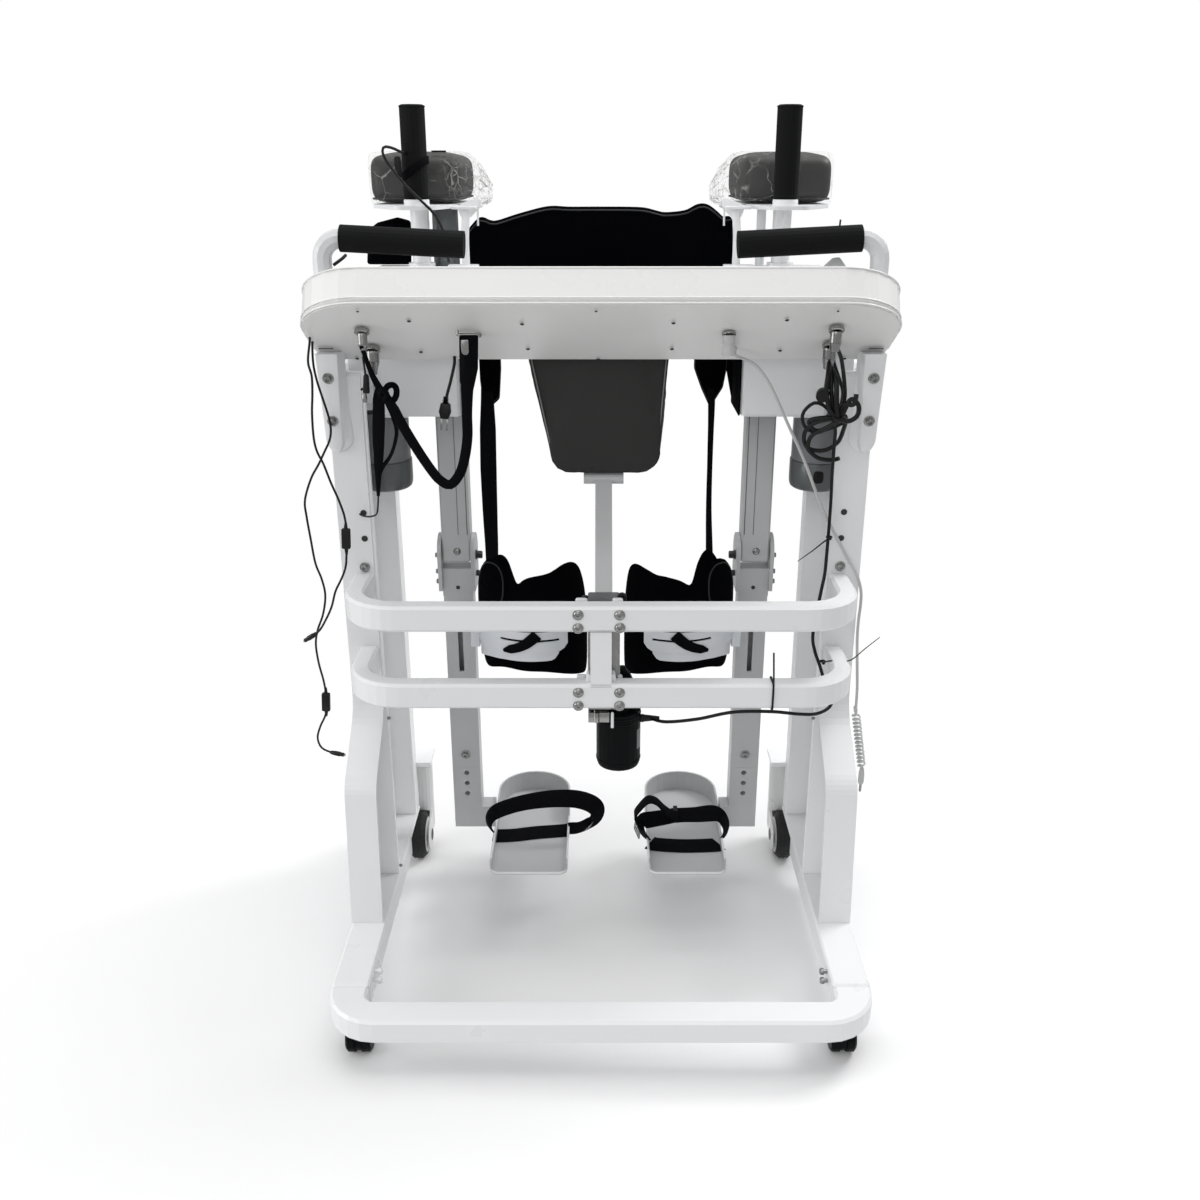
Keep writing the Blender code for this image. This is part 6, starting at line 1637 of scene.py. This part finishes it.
def bundle():
    """The motor leads gathered under the right connectors: strands, loops, a tie and a round ferrite."""
    strands = {
        "a": ([
            (0.311, -0.02, 0.948), (0.3065, -0.04, 0.9353), (0.3055, -0.042, 0.9123),
            (0.3126, -0.042, 0.8878), (0.3243, -0.042, 0.8767),
        ], 0.0032),
        "b": ([
            (0.3118, -0.06, 0.975), (0.32, -0.052, 0.96), (0.3278, -0.04, 0.9345), (0.3321, -0.037, 0.9046),
            (0.3275, -0.037, 0.884), (0.3187, -0.037, 0.8729),
        ], 0.0027),
        "c": ([
            (0.312, -0.015, 0.945), (0.3178, -0.04, 0.9286), (0.3203, -0.044, 0.8946),
            (0.3245, -0.042, 0.874),
        ], 0.0036),
        "d": ([
            (0.312, -0.018, 0.946), (0.312, -0.036, 0.93), (0.315, -0.038, 0.9), (0.324, -0.036, 0.876),
            (0.335, -0.03, 0.87),
        ], 0.003),
        "loop_1": ([
            (0.335, -0.034, 0.876), (0.306, -0.024, 0.87), (0.291, -0.014, 0.86), (0.286, -0.006, 0.848),
            (0.2875, 0.0, 0.8342), (0.2965, 0.002, 0.8234), (0.3179, 0.002, 0.822), (0.3349, 0.0, 0.8342),
            (0.34, -0.008, 0.8543), (0.34, -0.02, 0.87), (0.335, -0.034, 0.878),
        ], 0.0031),
        "loop_2": ([
            (0.336, -0.034, 0.876), (0.315, -0.02, 0.86), (0.296, -0.008, 0.845), (0.292, -0.004, 0.8285),
            (0.297, 0.0, 0.82), (0.31, 0.002, 0.8102), (0.3288, 0.003, 0.8075), (0.338, -0.002, 0.811),
        ], 0.0031),
        "loop_3": ([
            (0.336, -0.034, 0.876), (0.305, -0.026, 0.874), (0.2896, -0.016, 0.8674), (0.2994, -0.01, 0.8532),
            (0.3196, -0.01, 0.8558), (0.3345, -0.022, 0.866),
        ], 0.0031),
        "ring": ([
            (0.329, -0.04, 0.878), (0.3387, -0.044, 0.9028), (0.3502, -0.044, 0.8946),
            (0.3487, -0.044, 0.8795), (0.3355, -0.042, 0.8726), (0.3278, -0.04, 0.885),
            (0.331, -0.042, 0.896), (0.342, -0.046, 0.896), (0.3455, -0.044, 0.9028),
            (0.3463, -0.042, 0.9096),
        ], 0.0033),
    }
    for name, (points, radius) in strands.items():
        path = line(points, 0.0025)
        piece = Piece("motor_lead_" + name, RUBBER).add(tube(path, radius)).done("frame", sharp=60)
    tie = hoop((0.3215, -0.04, 0.8765), (0.0105, 0, 0.0025), (0, 0.007, 0), 26)
    Piece("bundle_tie", RUBBER).add(strap(tie, 0.0042, 0.0012, (0, 0, 1))).done("frame", sharp=60)
    place = vec(0.3036, -0.028, 0.9082)
    knob = Piece("lead_ferrite", RUBBER)
    knob.add(turned([
        (0, 0), (0.007, 0), (0.0088, 0.0018), (0.009, 0.005), (0.009, 0.013), (0.0084, 0.016),
        (0.004, 0.0166), (0, 0.0166),
    ], place, (-0.2, -0.9, -0.1), 28))
    knob.add(tube(line([
        place + vec(0.008, -0.008, 0), place + vec(0.004, -0.01, 0.006), place + vec(0.008, -0.01, 0.018),
    ], 0.002), 0.002, 10))
    knob.done("frame", sharp=50)


def cable_ties():
    """Thin ties with their cut or long tails, round the motor cable and the sensor leads."""
    ties = Piece("cable_ties", RUBBER)

    def tie(place, axis, radius, tail=None):
        """A cable tie: a flat ring, its lock and its cut tail."""
        axis = unit(axis)
        u = unit(np.cross(axis, (0.3, 1, 0.2)))
        v = np.cross(axis, u)
        ring = hoop(place, u * radius, v * radius, 22)
        out = [unit(p - vec(*place)) for p in ring]
        ties.add(strap(ring, 0.0026, 0.001, out))
        head = vec(*place) - vec(0, 1, 0) * (radius + 0.0015)
        ties.add(turned([
            (0, 0), (0.0022, 0, "hex"), (0.0024, 0.003, "hex"), (0, 0.0034),
        ], head, (0, -1, 0), 12))
        if tail:
            path = line([tuple(head)] + tail, 0.003)
            ties.add(strap(path, np.linspace(0.0026, 0.0012, len(path)), 0.001, (0, -1, 0)))

    tie((0.3322, -0.001, 0.6939), (0, 0, 1), 0.0042, [
        (0.324, -0.008, 0.689), (0.31, -0.008, 0.6767), (0.299, -0.006, 0.667), (0.2882, -0.004, 0.6574),
    ])
    tie((0.332, -0.02, 0.505), (0, 0.1, 1), 0.004, [
        (0.34, -0.03, 0.5096), (0.356, -0.03, 0.5098), (0.3722, -0.03, 0.5113), (0.3929, -0.03, 0.5307),
        (0.412, -0.03, 0.548),
    ])
    ties.done("frame", sharp=60)
    wrap = Piece("bar_tie", RUBBER)
    ring = oblong(-0.1198, -0.0885, 0.4715, 0.5125, 0.004, 4)
    loop = [(0.2445, y, z) for y, z in np.vstack([ring, ring[:1]])]
    wrap.add(strap(loop, 0.003, 0.001, [unit(vec(0, p[1] + 0.104, p[2] - 0.492)) for p in loop]))
    wrap.add(strap(line([
        (0.2445, -0.12, 0.512), (0.2435, -0.1215, 0.53), (0.242, -0.12, 0.5617),
    ], 0.004), 0.0026, 0.001, (0, -1, 0)))
    wrap.done("frame", sharp=60)


def bolts():
    """Screws, nuts, ears and seams of the guard bars, dark discs of painted shade for the side frames' holes,
    each leg's screws, and dark strips of painted shade along the thigh grooves.
    """
    plate = Piece("guard_bar_screws", ZINC)
    for i, (x, z) in enumerate((
        (-0.0318, 0.6177), (-0.032, 0.5978), (0.0258, 0.6175), (0.0263, 0.5984), (-0.0322, 0.4992),
        (-0.0323, 0.4786), (0.0263, 0.499), (0.0263, 0.4787),
    )):
        plate.add(dome_screw((x, BAR_FRONT - 0.0002, z), (0, -1, 0), 0.0066, twist=0.7 * i))
        plate.add(turned([
            (0, 0), (0.0078, 0), (0.0078, 0.0008), (0.0072, 0.0012), (0, 0.0012),
        ], (x, BAR_FRONT - 0.0001, z), (0, -1, 0)))
    plate.done("frame")
    ears = Piece("guard_bar_ears", POWDER)
    for x0, x1, z in (
        (-0.036, -0.019, 0.6285), (0.016, 0.031, 0.6285), (-0.035, -0.021, 0.5108), (0.018, 0.031, 0.5108),
    ):
        ears.add(slab(rounded_outline([
            (x0, z - 0.004, 0.001), (x1, z - 0.004, 0.001), (x1, z + 0.0022, 0.003), (x0, z + 0.0022, 0.003),
        ], 4), 0.0835, 0.0895, 0.001, FACING_FRONT))
    for s in (-1, 1):
        fillet = [
            (s * 0.015, 0.5113, 0.0005), (s * 0.0215, 0.5113, 0.0005), (s * 0.0205, 0.52, 0.003),
            (s * 0.015, 0.524, 0.002),
        ]
        ears.add(slab(rounded_outline(fillet, 3), 0.088, 0.106, 0.0006, FACING_FRONT))
    ears.done("frame")
    seams = Piece("guard_bar_seams", SHADED_POWDER)
    for z in (0.5925, 0.508):
        seams.add(tube([
            (-0.0148, BAR_FRONT + 0.0002, z), (0.0, BAR_FRONT + 0.0001, z), (0.0148, BAR_FRONT + 0.0002, z),
        ], 0.0005, 6))
    seams.done("frame")
    ends = Piece("guard_end_bolts", ZINC)
    ends.add(socket_bolt((-0.3533, 0.0276, 0.6376), (0, -1, 0), 0.0048))
    ends.add(socket_bolt((0.3577, 0.0276, 0.6392), (0, -1, 0), 0.0048, twist=0.4))
    for x, z in ((-0.3347, 0.384), (-0.3327, 0.112), (0.3347, 0.384)):
        ends.add(dome_screw((x, 0.0322, z), (0, -1, 0), 0.003))
    ends.done("frame")
    # painted shade: dark discs where the side frames' holes are
    holes = Piece("flange_hole_shades", DARK_STEEL_AND_HOLE_SHADE)
    for x, z in ((-0.3494, 0.7217), (-0.3505, 0.6822), (0.3574, 0.7232), (0.356, 0.6831)):
        holes.add(hole((x, 0.0278, z), (0, -1, 0), 0.0042))
    holes.done("frame", sharp=40)
    for label, side in SIDES:
        middle = side * LINK_X + LEG_SHIFT
        shank = Piece("knee_bolts_" + label, ZINC, DARK_STEEL_AND_HOLE_SHADE)
        outer, inner = middle + side * 0.0298, middle - side * 0.0298
        for z in (0.6052, 0.5775, 0.56):
            shank.add(socket_bolt((outer, 0.182, z), (side, 0, 0), 0.004, 0.006))
        shank.add(turned([
            (0, 0), (0.0078, 0), (0.0078, 0.002), (0.006, 0.0022), (0.006, 0.003), (0.0066, 0.0036, "hex"),
            (0.0066, 0.0095, "hex"), (0.0056, 0.0108), (0, 0.0108),
        ], (inner, 0.176, 0.608), (-side, 0, 0)), 1)
        shank.add(turned([
            (0, 0), (0.005, 0), (0.005, 0.0045), (0.004, 0.0055), (0, 0.0055),
        ], (inner, 0.176, 0.5765), (-side, 0, 0), 20), 1)
        shank.add(socket_bolt((middle, 0.165, 0.248), (0, -1, 0), 0.005, 0.005))
        # painted shade: a dark disc for the hole in the shank
        shank.add(hole((middle, 0.165, 0.555), (0, -1, 0), 0.003), 1)
        shank.done("shank_" + label)
        thigh = Piece("thigh_screws_" + label, ZINC, DARK_STEEL_AND_HOLE_SHADE)
        thigh.add(dome_screw((middle + 0.0015, 0.162, 0.618), (0, -1, 0), 0.006))
        thigh.done("thigh_" + label)
        # painted shade: thin dark strips on the thigh's front where its grooves are
        grooves = Piece("thigh_groove_shades_" + label, MOTOR_GREY)
        for shift, wide, low, high in (
            (-side * 0.0046, 0.0005, 0.646, 0.99), (-side * 0.019, 0.0007, 0.646, 0.99),
        ):
            x = middle + shift
            strip = oblong(x - wide, x + wide, low, high, 0.0002, 2)
            grooves.add(slab(strip, -0.1621, -0.1616, 0.0001, FACING_FRONT))
        grooves.done("thigh_" + label)


def console_brackets():
    """The cast arms that carry the tray: a face that leans forward, and a foot that flares inward."""
    face = unit(vec(0, -0.981, -0.192))
    for label, side in SIDES:
        rings = []
        for z in np.concatenate([np.linspace(0.8142, 0.835, 9), np.linspace(0.842, 0.958, 14)]):
            front = np.interp(z, (0.8142, 0.83, 0.86, 0.958), (0.018, 0.016, 0.0115, -0.0078))
            inner = np.interp(z, (0.8142, 0.86, 0.958), (0.369, 0.368, 0.3615))
            foot = np.interp(z, (0.8142, 0.835, 0.855, 0.875, 0.958), (0.3555, 0.3555, 0.357, 0.359, 0.359))
            outer = 0.3925
            round_off = math.sqrt(max(0.0, 1 - (max(0.0, 0.835 - z) / 0.021) ** 2))
            ring = [
                (foot, 0.0277), (foot, 0.0262), (foot + (inner - foot) * 0.35, 0.024),
                (foot + (inner - foot) * 0.85, front + 0.006), (inner, front + 0.0022),
                (inner + 0.0007, front + 0.0007), (inner + 0.0022, front), (outer - 0.0022, front),
                (outer - 0.0007, front + 0.0007), (outer, front + 0.0022), (outer, 0.0277),
            ]
            rings.append([(side * (0.377 + (x - 0.377) * round_off), y, z) for x, y in ring])
        arm = Piece("bracket_arm_" + label, POWDER).add(skin(rings)).done("frame", sharp=38)
        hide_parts("console_bracket_" + label)
        bolts_here = Piece("bracket_bolts_" + label, ZINC)
        for x, y, z in ((0.378, -0.001, 0.924), (0.3792, 0.0112, 0.8618)):
            bolts_here.add(socket_bolt((side * x, y, z), face, 0.005, 0.006, twist=0.2 + z))
        bolts_here.done("frame")


def shrouds():
    """The oval lift gear covers: a pale grey sleeve over a darker cup, with a dark inset on the right one."""
    for label, _ in SIDES:
        low, high = (vec(*corner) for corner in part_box("lift_shroud_" + label))
        middle, half = (low + high) / 2, (high - low) / 2
        base, tall = low[2], high[2] - low[2]

        def oval(rows):
            """A turned shape stretched to the housing's plan."""
            points, faces = turned(rows, (0, 0, 0), (0, 0, 1), 48)
            return np.asarray(points) * vec(half[0], half[1], 1) + vec(middle[0], middle[1], base), faces

        cover = Piece("shroud_" + label, SHROUD, MOTOR_GREY)
        cover.add(oval([(0, tall), (0.93, tall), (0.95, tall - 0.001), (0.96, 0.046), (0.94, 0.045)]))
        cover.add(oval([
            (0.94, 0.0452), (0.985, 0.0448), (1, 0.0432), (1, 0.014), (0.985, 0.007), (0.95, 0.0028),
            (0.88, 0.0006), (0.8, 0), (0, 0),
        ]), 1)
        cover = cover.done("lift_carriage", sharp=30)
        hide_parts("lift_shroud_" + label)
    eye = oblong(-0.008, 0.008, -0.01, 0.01, 0.006, 6)
    place = axes((0.333, 0.1142, 0.753), (1, 0, 0), (0, -1, 0))
    Piece("shroud_plug", RUBBER).add(lens(
        eye, (0, 0), 0.0018, lambda u, v, h: tuple(place @ Vector((u, v, h))),
    )).done("lift_carriage", sharp=60)


def casters():
    """White hub covers, caps and tread rings for the rear wheels."""
    for label, _ in SIDES:
        wheel = "rear_wheel_" + label
        low, high = (vec(*corner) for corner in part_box("rear_caster_wheel_" + label))
        middle = (low + high) / 2
        hub = Piece("rear_hub_" + label, HUB)
        for s in (-1, 1):
            place = (middle[0] + s * 0.01495, middle[1], middle[2])
            hub.add(turned([
                (0, 0), (0.032, 0), (0.032, 0.0005), (0.03, 0.0008), (0, 0.0008),
            ], place, (s, 0, 0), 40))
        hub.done(wheel)
        tread = Piece("rear_tread_" + label, TYRE)
        for x in (-0.007, 0.0, 0.007):
            tread.add(tube(hoop(middle + vec(x, 0, 0), (0, 0.0427, 0), (0, 0, 0.0427), 49), 0.0008, 6))
        tread.done(wheel, sharp=60)
        cap = Piece("rear_caps_" + label, HUB, RUBBER)
        for s in (-1, 1):
            place = (middle[0] + s * 0.0199, middle[1], middle[2])
            cap.add(turned([
                (0, 0), (0.027, 0), (0.0276, 0.0006), (0.0262, 0.0018), (0.014, 0.003), (0.0125, 0.003),
                (0, 0.003),
            ], place, (s, 0, 0), 40))
            cap.add(turned([
                (0, 0.0028), (0.0105, 0.0028), (0.0105, 0.0036), (0.008, 0.0042), (0.004, 0.004), (0, 0.004),
            ], place, (s, 0, 0), 32), 1)
        cap.done("rear_swivel_" + label)


def saddle_column():
    """The bevelled cap of the saddle's column and the rings and plate of its motor."""
    cap = rounded_outline([
        (-0.0185, -0.0893, 0.004), (0.0265, -0.0893, 0.004), (0.0265, -0.044, 0.002),
        (-0.0185, -0.044, 0.002),
    ], 4)
    Piece("column_cap", MOTOR_GREY).add(slab(cap, 0.6202, 0.6245, 0.0016)).done("frame")
    low, high = (vec(*corner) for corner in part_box("seat_motor"))
    middle = (low + high) / 2
    radius = (high[0] - low[0]) / 2
    rings = Piece("motor_rings", MOTOR, ZINC)
    for z, grow in ((0.012, 0.0006), (0.078, 0.0006), (0.086, 0.0006)):
        rings.add(turned([
            (radius, z - 0.0016), (radius + grow, z - 0.001), (radius + grow, z + 0.001),
            (radius, z + 0.0016),
        ], (middle[0], middle[1], low[2]), (0, 0, 1), 40))
    rings.add(turned([
        (0, 0), (0.015, 0), (0.015, -0.0012), (0.012, -0.0022), (0, -0.0022),
    ], (middle[0], middle[1], low[2]), (0, 0, 1), 32))
    for x0, x1, y0 in ((-0.0185, -0.01, -0.095), (-0.0095, -0.0035, -0.0965), (-0.003, 0.0125, -0.0945)):
        foot = oblong(x0, x1, y0, -0.05, 0.001, 3)
        rings.add(slab(foot, 0.44, 0.4556, 0.0008), 1)
    rings.done("frame")
    pin = Piece("motor_pin", POWDER)
    pin.add(turned([
        (0, 0), (0.0022, 0), (0.0022, 0.023), (0.001, 0.025), (0, 0.025),
    ], (0.0165, -0.0965, 0.433), (0, 0, 1), 16))
    pin.done("frame", sharp=40)
    gear = rounded_outline([
        (0.0275, 0.518, 0.001), (0.0275, 0.456, 0.001), (0.056, 0.456, 0.006), (0.054, 0.48, 0.01),
        (0.042, 0.508, 0.01), (0.034, 0.518, 0.003),
    ])
    Piece("gear_cheek", MOTOR).add(slab(gear, 0.061, 0.076, 0.003, FACING_FRONT)).done("frame")
    blank = [
        (0.026 + 0.0334 * math.cos(a), -0.0597 + 0.0334 * math.sin(a)) for a in np.linspace(-0.62, -0.3, 8)
    ]
    grid = [[(x, y, z) for x, y in blank] for z in (0.42, 0.4, 0.388)]
    Piece("motor_patch", SHROUD).add(sheet_of(grid)).done("frame")
    lumps = Piece("column_knobs", RUBBER)
    for x, z in ((-0.0225, 0.618), (0.03, 0.622)):
        lumps.add(turned([
            (0, 0), (0.006, 0), (0.0072, 0.002), (0.0072, 0.01), (0.006, 0.012), (0, 0.012),
        ], (x, -0.056, z), (0, -1, 0)))
    lumps.done("frame", sharp=40)
    knobs = Piece("rail_pins", POWDER, ZINC)
    for x, y, z, s in (
        (-0.334, -0.205, 0.087, 1), (-0.334, -0.212, 0.0763, 1), (0.334, -0.2045, 0.086, -1),
        (0.334, -0.212, 0.0756, -1),
    ):
        look = 0 if x < 0 else 1
        knobs.add(turned([
            (0, 0), (0.003, 0), (0.003, 0.005), (0.0048, 0.0052), (0.005, 0.009), (0.0038, 0.0112),
            (0, 0.0118),
        ], (x, y, z), (s, 0, 0), 20), look)
    knobs.done("frame", sharp=40)


def arm_details():
    """The forked stays beside the arm pads, the boss under each grip, and the loose bits at the left arm."""
    for label, side in SIDES:
        body = "forearm_support_" + label
        stay = Piece("arm_fork_" + label, POWDER)
        x0 = 0.1875
        stay.add(strap(line([
            (side * x0, 0.06, 1.069), (side * x0, 0.06, 1.105), (side * (x0 - 0.002), 0.062, 1.133),
            (side * (x0 - 0.004), 0.068, 1.144),
        ], 0.004), 0.011, 0.005, (0, -1, 0)))
        fork = rounded_outline([
            (side * 0.198, 1.148, 0.002), (side * 0.1925, 1.133, 0.003), (side * 0.179, 1.1335, 0.004),
            (side * 0.1655, 1.147, 0.003), (side * 0.164, 1.16, 0.004), (side * 0.179, 1.156, 0.006),
        ])
        stay.add(slab(fork, -0.072, -0.064, 0.0015, FACING_FRONT))
        stay.add(tube(line([(side * 0.1695, 0.07, 1.144), (side * 0.17, 0.07, 1.122)], 0.004), 0.0014, 8))
        base = oblong(side * 0.17, side * 0.212, 0.048, 0.07, 0.003, 3)
        stay.add(slab(base, 1.066, 1.071))
        stay.add(slab(oblong(side * 0.17, side * 0.205, 0.056, 0.15, 0.002, 3), 1.144, 1.148))
        stay.done(body)
        boss = Piece("grip_boss_" + label, POWDER)
        boss.add(turned([
            (0.015, 0), (0.0172, 0.0015), (0.0172, 0.01), (0.016, 0.0116), (0.012, 0.0116),
        ], (side * 0.25, 0.05, 1.1455), (0, 0, 1), 32))
        boss.done(body)
        ring = Piece("grip_edges_" + label, FOAM)
        for z in (1.16, 1.273):
            circle = hoop((side * 0.25, 0.05, z), (0.0165, 0, 0), (0, 0.0165, 0), 41)
            ring.add(tube(circle, 0.0011, 6))
        ring.done(body, sharp=60)
    sleeve = Piece("stay_sleeve", MOTOR_GREY, ZINC)
    sleeve.add(turned([
        (0.0085, 0), (0.018, 0), (0.0186, 0.0012), (0.0186, 0.082), (0.0176, 0.0835), (0.0085, 0.0835),
    ], (-0.224, 0.14, 1.0605), (0, 0, 1), 36))
    sleeve.done("lift_carriage")
    outline = rounded_outline([
        (-0.35, 1.061, 0.004), (-0.283, 1.061, 0.004), (-0.28, 1.124, 0.006), (-0.3, 1.129, 0.008),
        (-0.33, 1.1215, 0.008), (-0.345, 1.111, 0.004),
    ], 4)
    side_pad = Piece("side_pad", NEOPRENE)
    side_pad.add(lens(outline, outline.mean(axis=0), 0.013, lambda u, v, h: (u, 0.186 - h, v), 2.6))
    side_pad = side_pad.done("lift_carriage", sharp=180, smooth=1)
    bits = Piece("grip_levers", RUBBER)
    bits.add(tube(line([
        (-0.356, -0.01, 1.076), (-0.344, -0.012, 1.084), (-0.3373, -0.018, 1.089),
    ], 0.003), 0.0022, 10))
    bits.add(tube(line([(0.3073, -0.045, 1.127), (0.3078, -0.045, 1.135)], 0.002), 0.0012, 8))
    bits.done("frame", sharp=60)
    latch = rounded_outline([
        (0.293, 1.074, 0.001), (0.306, 1.086, 0.004), (0.315, 1.087, 0.003), (0.325, 1.074, 0.001),
    ], 4)
    Piece("grip_latch_right", SHADED_POWDER).add(slab(
        latch, 0.018, 0.022, 0.001, FACING_FRONT,
    )).done("frame", sharp=40)
    bar = oblong(-0.2364, -0.216, 0.118, 0.123, 0.001, 2)
    Piece("pad_bar", RUBBER).add(slab(bar, 1.2172, 1.2196, 0.0006)).done("forearm_support_left")


def hip_wings_and_inner_sheets():
    """The plate from each hip cover's front to the column, and a thin black sheet on the cover's inner side.
    """
    for label, side in SIDES:
        wing = rounded_outline([
            (side * 0.334, 0.872, 0.001), (side * 0.368, 0.872, 0.004), (side * 0.368, 1.04, 0.01),
            (side * 0.334, 1.04, 0.001),
        ], 4)
        Piece("hip_wing_" + label, POWDER).add(slab(
            wing, -0.096, -0.0865, 0.0012, FACING_FRONT,
        )).done("lift_carriage")
        # a thin black sheet on the cover's inner side
        face = oblong(0.087, 0.195, 0.853, 1.03, 0.004, 4)
        points, faces = slab(face, 0, 0.0022, 0.0008)
        world = [(side * 0.2053 - side * h, y, z) for y, z, h in points]
        Piece("hip_inner_sheet_" + label, NEOPRENE).add((world, faces)).done("lift_carriage", sharp=40)


def foot_edge_highlights():
    """A round edge in the white powder coat along each foot plate's side flanges and round its front corners:
    a painted highlight beside the plate's darker, painted-shade grey.
    """
    for label, side in SIDES:
        low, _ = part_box("foot_plate_" + label)
        middle, half = side * FOOT_X + FOOT_SHIFT, 0.0627
        front, sole, top = low[1] + 0.0008, 0.118, 0.1338
        left = [
            (middle - half, 0.15, top), (middle - half, 0.06, top), (middle - half, front + 0.03, top),
            (middle - half, front + 0.019, top - 0.003),
        ]
        left += [(middle - half + 0.0002, front + 0.0145, sole + 0.007)]
        corner = [
            (middle - half + 0.015 - 0.015 * math.cos(a), front + 0.015 - 0.015 * math.sin(a), sole + 0.003)
            for a in np.linspace(0.25, math.pi / 2, 8)
        ]
        half_path = left + corner
        mirror = [(2 * middle - x, y, z) for x, y, z in half_path[::-1]]
        # painted highlight: the white rim along the shaded plate's edges
        Piece("foot_rim_highlight_" + label, POWDER).add(tube(
            line(half_path + mirror, 0.004), 0.0018, 10,
        )).done("foot_" + label, sharp=60)


MOTOR_GREY = material(
    "dark_grey_metal", (0.13, 0.14, 0.145), 0.34, metal=0.35, detail=1300, depth=0.00005, strength=0.25,
    mottle=0.1,
)
console_trim()
sockets()
bundle()
cable_ties()
bolts()
console_brackets()
shrouds()
casters()
saddle_column()
arm_details()
hip_wings_and_inner_sheets()
foot_edge_highlights()
